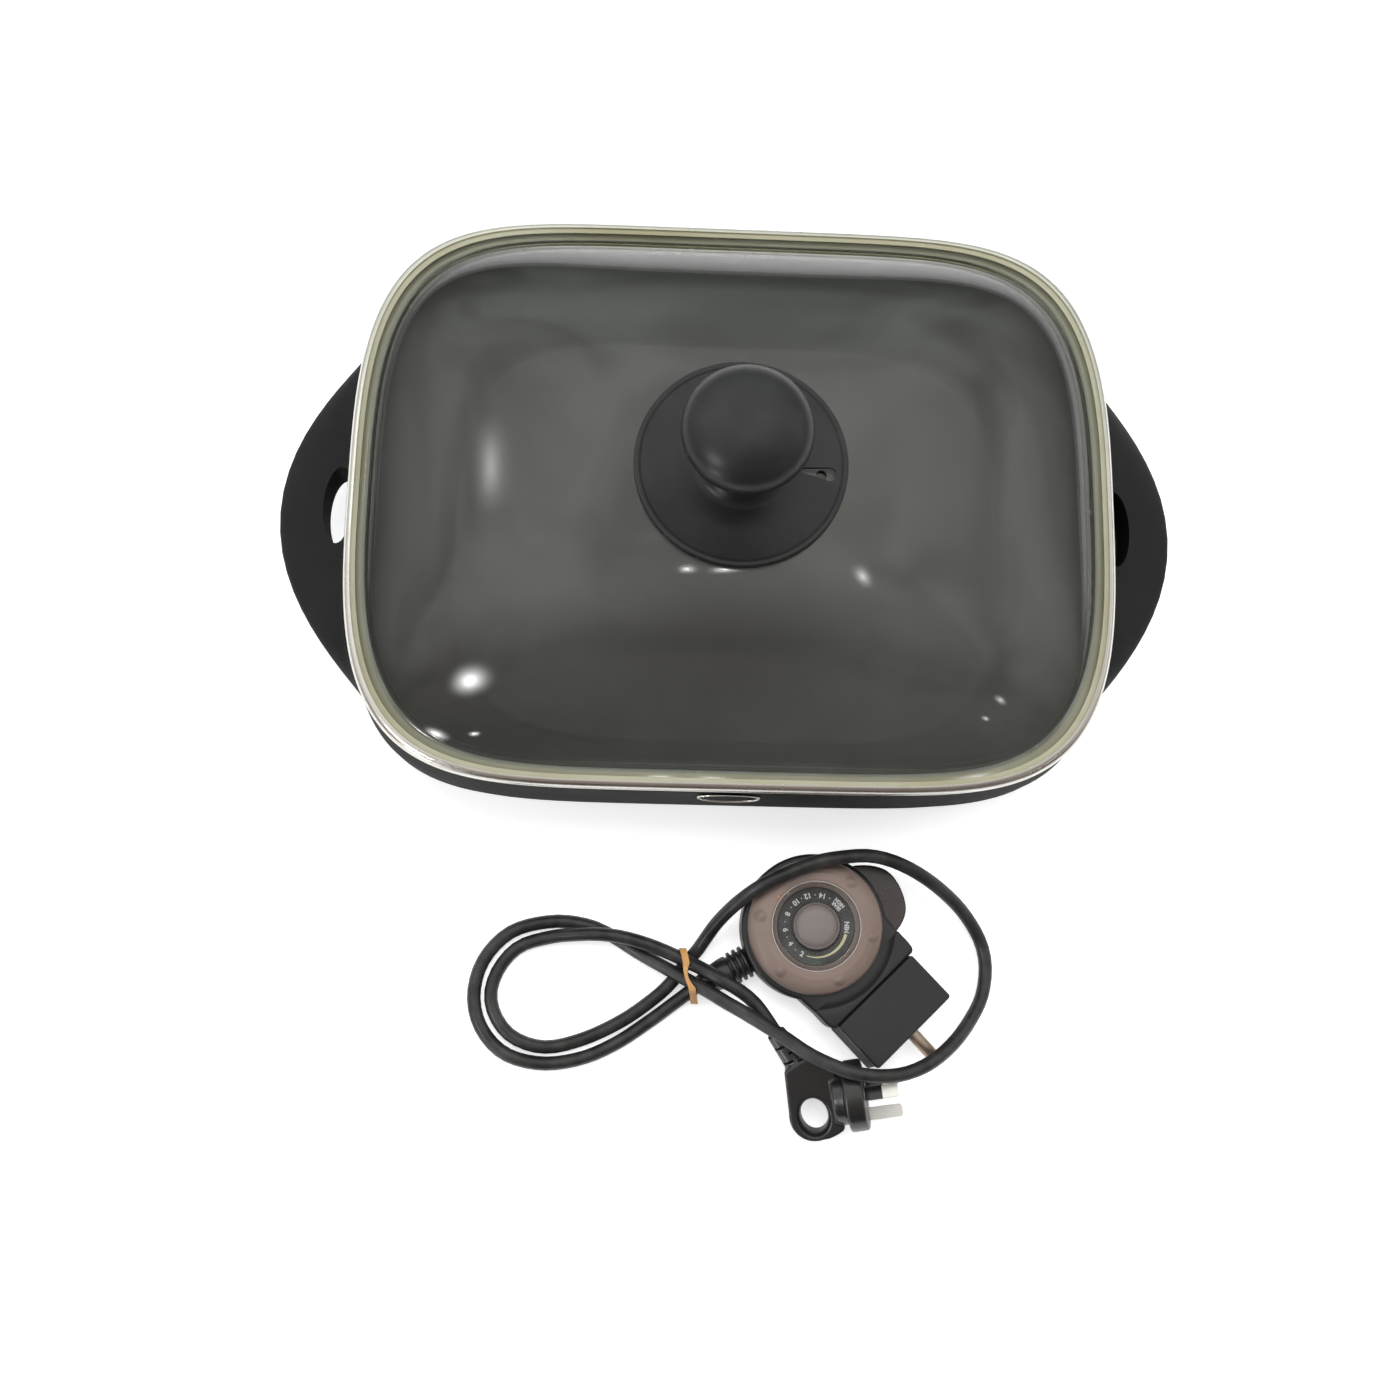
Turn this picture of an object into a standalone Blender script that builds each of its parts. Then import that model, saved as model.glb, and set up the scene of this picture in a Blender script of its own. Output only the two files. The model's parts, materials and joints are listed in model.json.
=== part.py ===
# Electric skillet: a cast pan in a moulded surround, a lift-off glass lid, and a plug-in heat control
# with its folded cord. Metres, +Z up. The table is Z = 0, the handles lie along X, the front faces -Y,
# and the control lies on the table in front of the pan.

from math import asin, atan2, copysign, cos, pi, radians, sin

import bmesh
import bpy
from mathutils import Matrix, Vector

# Driving sizes of the skillet: the edge line of the lid's glass, and its height above the table.
GLASS_HALF_LENGTH = 0.1835
GLASS_HALF_WIDTH = 0.1398
RIM_HEIGHT = 0.088
END_POWER = 5.67
SIDE_POWER = 3.16

# Where the two groups stand on the table.
SKILLET_BACK = 0.06426
CONTROL_RIGHT = 0.0478
CONTROL_STANDOFF = 0.0638
CONTROL_TURN = -45.5

# Clearances and counts that every piece shares.
SEAT_GAP = 0.0003
CUT_OVERRUN = 0.002
MERGE_DISTANCE = 0.000001
OUTLINE_POINTS = 44
BASE_POINTS = 56
CORNER_WEIGHT = 0.09
ROUND_STEPS = 24
FINE_STEPS = 300

for startup_object in list(bpy.data.objects):
    bpy.data.objects.remove(startup_object, do_unlink=True)

parts = bpy.data.collections.new("electric_skillet")
cutters = bpy.data.collections.new("cutters")
bpy.context.scene.collection.children.link(parts)
bpy.context.scene.collection.children.link(cutters)
cutters.hide_render = True


# Materials

def finish(name, colour, roughness, metallic=0.0, alpha=1.0):
    made = bpy.data.materials.new(name)
    made.use_nodes = True
    shader = made.node_tree.nodes["Principled BSDF"]
    shader.inputs["Base Color"].default_value = (*colour, 1.0)
    shader.inputs["Roughness"].default_value = roughness
    shader.inputs["Metallic"].default_value = metallic
    shader.inputs["Alpha"].default_value = alpha
    made.diffuse_color = (*colour, alpha)
    return made


black_plastic = finish("black_moulding", (0.035, 0.035, 0.038), 0.5)
control_black = finish("control_black", (0.045, 0.045, 0.047), 0.45)
taupe_plastic = finish("taupe_moulding", (0.22, 0.16, 0.14), 0.4)
plate_black = finish("plate_black", (0.03, 0.032, 0.032), 0.35)
clear_lens = finish("clear_lens", (0.55, 0.56, 0.57), 0.15, alpha=0.5)
lid_glass_finish = finish("tempered_glass", (0.35, 0.40, 0.36), 0.03, alpha=0.35)
stainless = finish("stainless_steel", (0.75, 0.73, 0.68), 0.25, 1.0)
seal_olive = finish("seal_olive", (0.16, 0.15, 0.08), 0.6)
pan_coating = finish("pan_coating", (0.10, 0.105, 0.10), 0.4, 0.2)
element_steel = finish("element_steel", (0.25, 0.24, 0.23), 0.5, 0.9)
plated_steel = finish("plated_steel", (0.62, 0.55, 0.46), 0.3, 1.0)
brass = finish("brass", (0.72, 0.55, 0.25), 0.3, 1.0)
cord_rubber = finish("cord_rubber", (0.045, 0.045, 0.048), 0.55)
band_rubber = finish("band_rubber", (0.58, 0.32, 0.12), 0.6)
foot_rubber = finish("foot_rubber", (0.03, 0.03, 0.03), 0.8)


# Empties that carry the groups and the moving pieces

def carrier(name, parent=None, location=(0.0, 0.0, 0.0), turn=(0.0, 0.0, 0.0)):
    empty = bpy.data.objects.new(name, None)
    empty.location = location
    empty.rotation_euler = [radians(angle) for angle in turn]
    empty.parent = parent
    parts.objects.link(empty)
    return empty


skillet = carrier("skillet_group", location=(0.0, SKILLET_BACK, 0.0))
control_front = SKILLET_BACK - GLASS_HALF_WIDTH - CONTROL_STANDOFF
control = carrier("control_group", location=(CONTROL_RIGHT, control_front, 0.0), turn=(0.0, 0.0, CONTROL_TURN))


# Modelling helpers

def add_piece(name, data, look, group):
    piece = bpy.data.objects.new(name, data)
    data.materials.append(look)
    parts.objects.link(piece)
    piece.parent = group
    return piece


def add_cutter(name, data, group):
    cutter = bpy.data.objects.new(name, data)
    cutters.objects.link(cutter)
    cutter.parent = group
    cutter.hide_render = True
    cutter.display_type = "WIRE"
    return cutter


def combine(piece, other, operation="DIFFERENCE"):
    modifier = piece.modifiers.new(other.name, "BOOLEAN")
    modifier.operation = operation
    modifier.object = other
    return piece


def rounded_outline(half_length, half_width, end_power, side_power, count=OUTLINE_POINTS):
    """Points of |x/a|^n + |y/b|^m = 1, anticlockwise from +X, the same in all quarters, closer on the corners."""
    fine = []
    for step in range(FINE_STEPS + 1):
        turn = pi / 4 * (1 - cos(pi * step / FINE_STEPS))
        across = max(0.0, cos(turn)) ** (2 / end_power)
        along = max(0.0, sin(turn)) ** (2 / side_power)
        fine.append(Vector((half_length * across, half_width * along)))
    fine[-1] = Vector((0.0, half_width))
    weight = CORNER_WEIGHT * half_length / GLASS_HALF_LENGTH
    measures = [0.0]
    heading = pi / 2
    for first, second in zip(fine, fine[1:]):
        step = second - first
        new_heading = atan2(step.y, step.x)
        measures.append(measures[-1] + step.length + weight * abs(new_heading - heading))
        heading = new_heading
    per_quarter = count // 4
    quarter = []
    position = 0
    for index in range(per_quarter):
        target = measures[-1] * index / per_quarter
        while measures[position + 1] < target:
            position += 1
        share = (target - measures[position]) / (measures[position + 1] - measures[position])
        quarter.append(tuple(fine[position].lerp(fine[position + 1], share)))
    second = [(0.0, half_width)] + [(-x, y) for x, y in reversed(quarter[1:])]
    third = [(-half_length, 0.0)] + [(-x, -y) for x, y in quarter[1:]]
    fourth = [(0.0, -half_width)] + [(x, -y) for x, y in reversed(quarter[1:])]
    return quarter + second + third + fourth


def at_height(outline, height):
    return [Vector((x, y, height)) for x, y in outline]


def loft_mesh(name, rings, ends="capped"):
    """Skins rings of points: 'capped' fills both ends, 'joined' links the last to the first, 'open' leaves both."""
    model = bmesh.new()
    rows = [[model.verts.new(point) for point in ring] for ring in rings]
    pairs = list(zip(rows, rows[1:]))
    if ends == "joined":
        pairs.append((rows[-1], rows[0]))
    for lower, upper in pairs:
        for index, corner in enumerate(lower):
            after = (index + 1) % len(lower)
            model.faces.new((corner, lower[after], upper[after], upper[index]))
    if ends == "capped":
        model.faces.new(list(reversed(rows[0])))
        model.faces.new(rows[-1])
    if ends != "open":
        bmesh.ops.recalc_face_normals(model, faces=model.faces)
    mesh = bpy.data.meshes.new(name)
    model.to_mesh(mesh)
    model.free()
    mesh.shade_smooth()
    mesh.set_sharp_from_angle(angle=radians(40))
    return mesh


def shell(piece, thickness):
    wall = piece.modifiers.new("Wall", "SOLIDIFY")
    wall.thickness = thickness
    wall.offset = -1.0
    wall.use_even_offset = True
    return piece


def turned(name, profile, look, group, steps=ROUND_STEPS, ring=False):
    """Turns (radius, height) points about Z. The profile runs down its outer side; a ring's profile closes."""
    mesh = bpy.data.meshes.new(name)
    edges = [(index, index + 1) for index in range(len(profile) - 1)]
    if ring:
        edges.append((len(profile) - 1, 0))
    mesh.from_pydata([(radius, 0.0, height) for radius, height in profile], edges, [])
    piece = add_piece(name, mesh, look, group)
    screw = piece.modifiers.new("Turn", "SCREW")
    screw.axis = "Z"
    screw.steps = steps
    screw.render_steps = steps
    screw.use_merge_vertices = True
    screw.merge_threshold = MERGE_DISTANCE
    return piece


def tube(name, points, radius, look, group, resolution=2, caps=True, closed=False):
    curve = bpy.data.curves.new(name, "CURVE")
    curve.dimensions = "3D"
    curve.bevel_depth = radius
    curve.bevel_resolution = resolution
    curve.use_fill_caps = caps
    spline = curve.splines.new("POLY")
    spline.points.add(len(points) - 1)
    for node, point in zip(spline.points, points):
        node.co = (*point, 1.0)
    spline.use_cyclic_u = closed
    return add_piece(name, curve, look, group)


def plate_curve(name, outlines, thickness, edge=0.0):
    """A filled outline, with later outlines as holes, given a thickness and, if asked, a rounded edge."""
    curve = bpy.data.curves.new(name, "CURVE")
    curve.dimensions = "2D"
    curve.fill_mode = "BOTH"
    curve.extrude = thickness / 2 - edge
    curve.bevel_depth = edge
    curve.bevel_resolution = 1
    curve.offset = -edge
    for outline in outlines:
        spline = curve.splines.new("POLY")
        spline.points.add(len(outline) - 1)
        for node, (x, y) in zip(spline.points, outline):
            node.co = (x, y, 0.0, 1.0)
        spline.use_cyclic_u = True
    return curve


def mesh_of_curve(curve, name):
    """The welded mesh of a curve, so that it can be cut, joined or used as a cutter."""
    holder = bpy.data.objects.new(name, curve)
    bpy.context.scene.collection.objects.link(holder)
    graph = bpy.context.evaluated_depsgraph_get()
    mesh = bpy.data.meshes.new_from_object(holder.evaluated_get(graph))
    bpy.data.objects.remove(holder, do_unlink=True)
    model = bmesh.new()
    model.from_mesh(mesh)
    bmesh.ops.remove_doubles(model, verts=model.verts, dist=MERGE_DISTANCE)
    bmesh.ops.recalc_face_normals(model, faces=model.faces)
    model.to_mesh(mesh)
    model.free()
    mesh.materials.clear()
    return mesh


def plate_mesh(name, outlines, thickness, edge=0.0):
    return mesh_of_curve(plate_curve(name, outlines, thickness, edge), name)


def box_mesh(name, low, high):
    model = bmesh.new()
    bmesh.ops.create_cube(model, size=1.0)
    middle = (Vector(low) + Vector(high)) / 2
    size = Vector(high) - Vector(low)
    bmesh.ops.scale(model, vec=size, verts=model.verts)
    bmesh.ops.translate(model, vec=middle, verts=model.verts)
    mesh = bpy.data.meshes.new(name)
    model.to_mesh(mesh)
    model.free()
    return mesh


def rod_mesh(name, start, end, radius, segments=20):
    """A plain cylinder between two points."""
    start, end = Vector(start), Vector(end)
    model = bmesh.new()
    length = (end - start).length
    bmesh.ops.create_cone(
        model, cap_ends=True, segments=segments, radius1=radius, radius2=radius, depth=length
    )
    turn = (end - start).to_track_quat("Z", "Y").to_matrix().to_4x4()
    bmesh.ops.transform(model, matrix=Matrix.Translation((start + end) / 2) @ turn, verts=model.verts)
    mesh = bpy.data.meshes.new(name)
    model.to_mesh(mesh)
    model.free()
    mesh.shade_smooth()
    mesh.set_sharp_from_angle(angle=radians(40))
    return mesh


def round_edges(piece, width, segments=2):
    bevel = piece.modifiers.new("Edges", "BEVEL")
    bevel.width = width
    bevel.segments = segments
    bevel.limit_method = "ANGLE"
    return piece


def arc(centre, radius, start, end, steps):
    """Points on an arc, angles in degrees."""
    x, y = centre
    found = []
    for step in range(steps + 1):
        angle = radians(start + (end - start) * step / steps)
        found.append((x + radius * cos(angle), y + radius * sin(angle)))
    return found


def ellipse(centre, half_x, half_y, count=ROUND_STEPS):
    x, y = centre
    return [(x + half_x * cos(2 * pi * i / count), y + half_y * sin(2 * pi * i / count)) for i in range(count)]


def rounded_box_outline(half_x, half_y, corner, steps=3):
    points = []
    for x_side, y_side, start in ((1, 1, 0), (-1, 1, 90), (-1, -1, 180), (1, -1, 270)):
        centre = (x_side * (half_x - corner), y_side * (half_y - corner))
        points += arc(centre, corner, start, start + 90, steps)
    return points


def mix(first, second, share):
    return first + (second - first) * share


# Lid rim: the steel strip, the seal and the glass edge. Offsets run outward from the glass edge line and
# heights from the rim plane.

GLASS_THICKNESS = 0.004
GLASS_EDGE_REACH = 0.0005
GLASS_FLANGE = 0.0051
STRIP_THICKNESS = 0.0008
BEAD_RADIUS = 0.0042
BEAD_OFFSET = 0.0003
BEAD_STEPS = 5
STRIP_FLANGE = 0.0047
STRIP_LEG = 0.0075
SEAL_WALL = 0.0007
SEAL_LIP = 0.0012
SEAL_REACH = 0.0015

bead_drop = GLASS_THICKNESS / 2
bead_bottom = RIM_HEIGHT - bead_drop - BEAD_RADIUS
pan_lip_top = bead_bottom - SEAT_GAP


def lid_ring(offset, height):
    outline = rounded_outline(GLASS_HALF_LENGTH + offset, GLASS_HALF_WIDTH + offset, END_POWER, SIDE_POWER)
    return at_height(outline, RIM_HEIGHT + height)


def lid_rim():
    """Rolled strip: a bead round the glass edge, a flange below the glass and a leg inside the pan."""
    outer = arc((BEAD_OFFSET, -bead_drop), BEAD_RADIUS, 90, -90, BEAD_STEPS)
    inner = arc((BEAD_OFFSET, -bead_drop), BEAD_RADIUS - STRIP_THICKNESS, -90, 90, BEAD_STEPS)
    flange_bottom = -bead_drop - BEAD_RADIUS
    flange_top = flange_bottom + STRIP_THICKNESS
    leg_bottom = flange_bottom - STRIP_LEG
    leg = [
        (-STRIP_FLANGE + STRIP_THICKNESS, flange_bottom),
        (-STRIP_FLANGE + STRIP_THICKNESS, leg_bottom),
        (-STRIP_FLANGE, leg_bottom),
        (-STRIP_FLANGE, flange_top),
    ]
    profile = outer + leg + inner
    mesh = loft_mesh("lid_rim", [lid_ring(offset, height) for offset, height in profile], "joined")
    return add_piece("lid_rim", mesh, stainless, lid)


def rim_seal():
    """U-shaped seal pushed over the glass edge, inside the strip."""
    top = SEAT_GAP + SEAL_WALL
    bottom = -GLASS_THICKNESS - top
    inside = GLASS_EDGE_REACH + SEAT_GAP
    profile = [
        (-SEAL_LIP, top),
        (SEAL_REACH, top),
        (SEAL_REACH, bottom),
        (-SEAL_LIP, bottom),
        (-SEAL_LIP, bottom + SEAL_WALL),
        (inside, bottom + SEAL_WALL),
        (inside, SEAT_GAP),
        (-SEAL_LIP, SEAT_GAP),
    ]
    mesh = loft_mesh("rim_seal", [lid_ring(offset, height) for offset, height in profile], "joined")
    return add_piece("rim_seal", mesh, seal_olive, lid)


# Lid glass: a pressed dome with a flat flange, and holes for the knob screw and the steam vent.

DOME_CROWN = 0.046
DOME_POWER = 3.0
DOME_FULLNESS = 0.9
GLASS_HOLE_RADIUS = 0.0036
VENT_DISTANCE = 0.037
VENT_TURN = -6.0
GLASS_VENT_RADIUS = 0.0026
DOME_RING_SHARES = (0.0, 0.20, 0.42, 0.60, 0.75, 0.87, 0.95, 1.0)

dome_half_length = GLASS_HALF_LENGTH - GLASS_FLANGE
dome_half_width = GLASS_HALF_WIDTH - GLASS_FLANGE


def dome_height(share):
    """Height of the glass above its flange, at a share of the way from the centre hole to the flange."""
    return DOME_CROWN * (1 - share**DOME_POWER) ** DOME_FULLNESS


def lid_glass():
    rings = []
    for share in DOME_RING_SHARES:
        half_length = mix(GLASS_HOLE_RADIUS, dome_half_length, share)
        half_width = mix(GLASS_HOLE_RADIUS, dome_half_width, share)
        outline = rounded_outline(half_length, half_width, mix(2.0, END_POWER, share), mix(2.0, SIDE_POWER, share))
        rings.append(at_height(outline, RIM_HEIGHT + dome_height(share)))
    rings.append(lid_ring(GLASS_EDGE_REACH, 0.0))
    rings.reverse()
    glass = add_piece("lid_glass", loft_mesh("lid_glass", rings, "open"), lid_glass_finish, lid)
    shell(glass, GLASS_THICKNESS)
    x, y = vent_place(VENT_DISTANCE)
    start = (x, y, RIM_HEIGHT)
    end = (x, y, RIM_HEIGHT + DOME_CROWN + CUT_OVERRUN)
    drill = add_cutter("glass_vent_drill", rod_mesh("glass_vent_drill", start, end, GLASS_VENT_RADIUS), lid)
    return combine(glass, drill)


def vent_place(distance):
    return distance * cos(radians(VENT_TURN)), distance * sin(radians(VENT_TURN))


# Knob: a skirt that rests on the glass, the vent shutter under it, and a ball on a flared stem.

SKIRT_RADIUS = 0.049
SKIRT_ROOF = 0.0012
SKIRT_RIM_WIDTH = 0.0028
SKIRT_DISH = 0.0006
SKIRT_RISE = 0.0058
SKIRT_WALL = 0.0022
STEM_HOLE_RADIUS = 0.0095
COLLAR_RADIUS = 0.0165
SHUTTER_THICKNESS = 0.0009
SHUTTER_CLEARANCE = 0.0005
SLOT_INNER_DISTANCE = 0.029
SLOT_INNER_RADIUS = 0.0014
SLOT_OUTER_DISTANCE = 0.0405
SLOT_OUTER_RADIUS = 0.0032
SLOT_MARGIN = 0.0008
BALL_RADIUS = 0.0288
BALL_PLANE = 0.0394
BALL_CROWN = 0.0155
STEM_RADIUS = 0.0125
STEM_FOOT_RADIUS = 0.0175
SCREW_RADIUS = 0.0025
SCREW_HEAD_RADIUS = 0.0055
SCREW_HEAD_HEIGHT = 0.003
SCREW_GRIP = 0.018
WASHER_RADIUS = 0.0095
WASHER_THICKNESS = 0.0016

crown_top = RIM_HEIGHT + DOME_CROWN
skirt_edge_share = (SKIRT_RADIUS - GLASS_HOLE_RADIUS) / (dome_half_length - GLASS_HOLE_RADIUS)
skirt_bottom = RIM_HEIGHT + dome_height(skirt_edge_share) + SEAT_GAP
shutter_bottom = crown_top + SEAT_GAP
skirt_inside = shutter_bottom + SHUTTER_THICKNESS + SHUTTER_CLEARANCE
skirt_edge_top = skirt_inside + SKIRT_ROOF + SKIRT_DISH
ball_plane_height = skirt_edge_top + BALL_PLANE
stem_foot = skirt_edge_top + SKIRT_RISE + SEAT_GAP


def teardrop(grow=0.0):
    """Vent outline: a narrow neck towards the stem and a round end near the skirt's edge."""
    near, far = SLOT_INNER_RADIUS + grow, SLOT_OUTER_RADIUS + grow
    lean = asin((far - near) / (SLOT_OUTER_DISTANCE - SLOT_INNER_DISTANCE)) * 180 / pi
    points = arc((SLOT_OUTER_DISTANCE, 0.0), far, -90 - lean, 90 + lean, 8)
    points += arc((SLOT_INNER_DISTANCE, 0.0), near, 90 + lean, 270 - lean, 4)
    turn = radians(VENT_TURN)
    return [(x * cos(turn) - y * sin(turn), x * sin(turn) + y * cos(turn)) for x, y in points]


def knob_skirt():
    rim_inner = SKIRT_RADIUS - SKIRT_RIM_WIDTH
    collar_top = skirt_edge_top + SKIRT_RISE
    outer_flare = COLLAR_RADIUS + SKIRT_RISE
    profile = [
        (STEM_HOLE_RADIUS, collar_top),
        (COLLAR_RADIUS, collar_top),
        (COLLAR_RADIUS + SKIRT_WALL, collar_top - SKIRT_RISE / 2),
        (outer_flare, skirt_edge_top + SKIRT_DISH),
        (rim_inner, skirt_edge_top - SKIRT_DISH),
        (SKIRT_RADIUS - SKIRT_DISH, skirt_edge_top),
        (SKIRT_RADIUS, skirt_edge_top - SKIRT_DISH),
        (SKIRT_RADIUS, skirt_bottom),
        (rim_inner, skirt_bottom),
        (rim_inner, skirt_inside),
        (STEM_HOLE_RADIUS, skirt_inside),
    ]
    skirt = turned("knob_skirt", profile, black_plastic, lid, steps=28, ring=True)
    height = collar_top - crown_top + CUT_OVERRUN
    cutter = add_cutter("skirt_slot", plate_mesh("skirt_slot", [teardrop()], height * 2), lid)
    cutter.location.z = crown_top
    return combine(skirt, cutter)


def vent_shutter():
    """Disc under the skirt with a window that the knob turns away from the slot."""
    radius = SKIRT_RADIUS - SKIRT_RIM_WIDTH - SHUTTER_CLEARANCE
    rim = ellipse((0.0, 0.0), radius, radius, 32)
    bore = ellipse((0.0, 0.0), STEM_HOLE_RADIUS, STEM_HOLE_RADIUS, 20)
    window = teardrop(SLOT_MARGIN)
    curve = plate_curve("vent_shutter", [rim, bore, window], SHUTTER_THICKNESS)
    shutter = add_piece("vent_shutter", curve, plated_steel, knob_carrier)
    shutter.location.z = shutter_bottom + SHUTTER_THICKNESS / 2
    return shutter


def knob():
    """Ball with a soft crown on a stem that flares out over the skirt's collar and reaches the shutter."""
    spigot = STEM_HOLE_RADIUS - SEAT_GAP
    spigot_end = shutter_bottom + SEAT_GAP
    bore = SCREW_RADIUS + SEAT_GAP
    bore_top = crown_top + SCREW_GRIP
    profile = [(0.0, ball_plane_height + BALL_CROWN)]
    for angle in (64, 40, 18, 0, -24, -48, -62):
        height = BALL_CROWN if angle > 0 else BALL_RADIUS * 0.6
        lift = sin(radians(angle))
        profile.append((BALL_RADIUS * cos(radians(angle)), ball_plane_height + height * lift))
    profile += [
        (STEM_RADIUS, ball_plane_height - BALL_RADIUS * 0.66),
        (STEM_RADIUS, mix(stem_foot, ball_plane_height, 0.25)),
        (STEM_FOOT_RADIUS, stem_foot + SKIRT_WALL),
        (STEM_FOOT_RADIUS, stem_foot),
        (spigot, stem_foot),
        (spigot, spigot_end),
        (bore, spigot_end),
        (bore, bore_top),
        (0.0, bore_top),
    ]
    return turned("knob", profile, black_plastic, knob_carrier, steps=22)


def knob_fixings():
    glass_under = crown_top - GLASS_THICKNESS
    washer_top = glass_under - SEAT_GAP
    washer_bottom = washer_top - WASHER_THICKNESS
    washer_hole = SCREW_RADIUS + SEAT_GAP
    washer = [
        (washer_hole, washer_top),
        (WASHER_RADIUS, washer_top),
        (WASHER_RADIUS, washer_bottom),
        (washer_hole, washer_bottom),
    ]
    turned("knob_washer", washer, foot_rubber, lid, steps=12, ring=True)
    head_top = washer_bottom - SEAT_GAP
    screw = [
        (0.0, crown_top + SCREW_GRIP - SEAT_GAP),
        (SCREW_RADIUS, crown_top + SCREW_GRIP - SEAT_GAP),
        (SCREW_RADIUS, head_top),
        (SCREW_HEAD_RADIUS, head_top),
        (SCREW_HEAD_RADIUS * 0.8, head_top - SCREW_HEAD_HEIGHT),
        (0.0, head_top - SCREW_HEAD_HEIGHT),
    ]
    turned("knob_screw", screw, stainless, knob_carrier, steps=10)


# Pan: cast aluminium with sloping walls, a flat lip that carries the lid, and a boss for the probe.

PAN_END_SLOPE = 0.0405
PAN_SIDE_SLOPE = 0.0308
PAN_FLOOR_END_POWER = 4.6
PAN_FLOOR_SIDE_POWER = 3.2
PAN_FLOOR_HEIGHT = 0.0222
PAN_WALL = 0.0034
PAN_FLOOR_THICKNESS = 0.004
PAN_MOUTH_INSET = 0.0028
PAN_LIP_REACH = 0.0025
PAN_LIP_THICKNESS = 0.003
# Each row: share of the way from floor outline to mouth, share of the depth, and what the outer side
# takes of the wall outward and of the floor thickness downward.
PAN_WALL_SHARES = (
    (0.0, 0.0, 0.1, 1.0),
    (0.05, 0.018, 0.4, 0.93),
    (0.13, 0.075, 0.8, 0.6),
    (0.25, 0.20, 1.0, 0.2),
    (0.70, 0.56, 1.0, 0.0),
    (0.985, 0.86, 1.0, 0.0),
)
PROBE_HEIGHT = 0.022
BOSS_RADIUS = 0.007
BOSS_INSET = 0.0335
BORE_RADIUS = 0.0036
BORE_DEPTH = 0.0235

pan_floor_top = PAN_FLOOR_HEIGHT
pan_depth = pan_lip_top - PAN_FLOOR_HEIGHT
floor_half_length = GLASS_HALF_LENGTH - PAN_END_SLOPE
floor_half_width = GLASS_HALF_WIDTH - PAN_SIDE_SLOPE
boss_start = GLASS_HALF_LENGTH - BOSS_INSET
mouth_half_length = GLASS_HALF_LENGTH - PAN_MOUTH_INSET
mouth_half_width = GLASS_HALF_WIDTH - PAN_MOUTH_INSET


def pan_ring(share, height, grow=0.0):
    outline = rounded_outline(
        mix(floor_half_length, mouth_half_length, share) + grow,
        mix(floor_half_width, mouth_half_width, share) + grow,
        mix(PAN_FLOOR_END_POWER, END_POWER, share),
        mix(PAN_FLOOR_SIDE_POWER, SIDE_POWER, share),
    )
    return at_height(outline, height)


def pan():
    rings = []
    for share, rise, outward, downward in PAN_WALL_SHARES:
        height = pan_floor_top + pan_depth * rise - PAN_FLOOR_THICKNESS * downward
        rings.append(pan_ring(share, height, PAN_WALL * outward))
    lip_bottom = pan_lip_top - PAN_LIP_THICKNESS
    lip_grow = PAN_MOUTH_INSET + PAN_LIP_REACH
    rings.append(pan_ring(1.0, lip_bottom, PAN_WALL / 2))
    rings.append(pan_ring(1.0, lip_bottom, lip_grow))
    rings.append(pan_ring(1.0, pan_lip_top, lip_grow))
    rings.append(pan_ring(1.0, pan_lip_top))
    for share, rise, _, _ in reversed(PAN_WALL_SHARES):
        rings.append(pan_ring(share, pan_floor_top + pan_depth * rise))
    body = add_piece("pan", loft_mesh("pan", rings), pan_coating, skillet)
    start = (boss_start, 0.0, PROBE_HEIGHT)
    end = (shroud_back_face - SEAT_GAP, 0.0, PROBE_HEIGHT)
    boss = add_cutter("probe_boss", rod_mesh("probe_boss", start, end, BOSS_RADIUS), skillet)
    combine(body, boss, "UNION")
    mouth = (shroud_back_face + CUT_OVERRUN, 0.0, PROBE_HEIGHT)
    bottom = (shroud_back_face - BORE_DEPTH, 0.0, PROBE_HEIGHT)
    bore = add_cutter("probe_bore", rod_mesh("probe_bore", bottom, mouth, BORE_RADIUS), skillet)
    return combine(body, bore)


# Surround: one moulded shell whose ends swell into hollow handles, each with a finger slot.

BASE_BOTTOM = 0.004
BASE_BULGE = 0.0045
BASE_WALL = 0.003
BASE_SIDE_POWER = 3.9
WING_REACH = 0.0425
WING_HALF_WIDTH = 0.100
WING_POWER = 1.3
# Each row, from the top down: share of the height of its part, of the bulge, of the handle's reach, and of
# the change from the lid's corners to the surround's squarer ones. The handle's part ends at its underside.
HANDLE_RING_SHARES = (
    (1.0, 0.85, 0.0, 0.0),
    (0.798, 0.93, 0.0, 0.3),
    (0.568, 0.98, 0.18, 0.8),
    (0.403, 1.0, 0.65, 1.0),
    (0.265, 1.0, 0.94, 1.0),
    (0.164, 1.0, 1.0, 1.0),
    (0.044, 1.0, 0.95, 1.0),
    (0.018, 1.0, 0.12, 1.0),
    (0.0, 1.0, 0.0, 1.0),
)
SKIRT_RING_SHARES = (
    (0.12, 0.33, 0.0, 1.0),
    (0.013, -0.55, 0.0, 1.0),
    (0.0, -3.1, 0.0, 1.0),
)
HANDLE_CLEARANCE = 0.0006
HANDLE_LIFT_SHARE = 0.1
SLOT_REACH = 0.0143
SLOT_HALF_DEPTH = 0.0083
SLOT_HALF_LENGTH = 0.020
SLOT_SLEEVE = 0.0022

base_top = pan_lip_top - PAN_LIP_THICKNESS - SEAT_GAP
slot_centre = GLASS_HALF_LENGTH + SLOT_REACH


def wing_swell(y):
    share = min(1.0, abs(y) / WING_HALF_WIDTH)
    return (1 - share**2) ** WING_POWER


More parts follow.
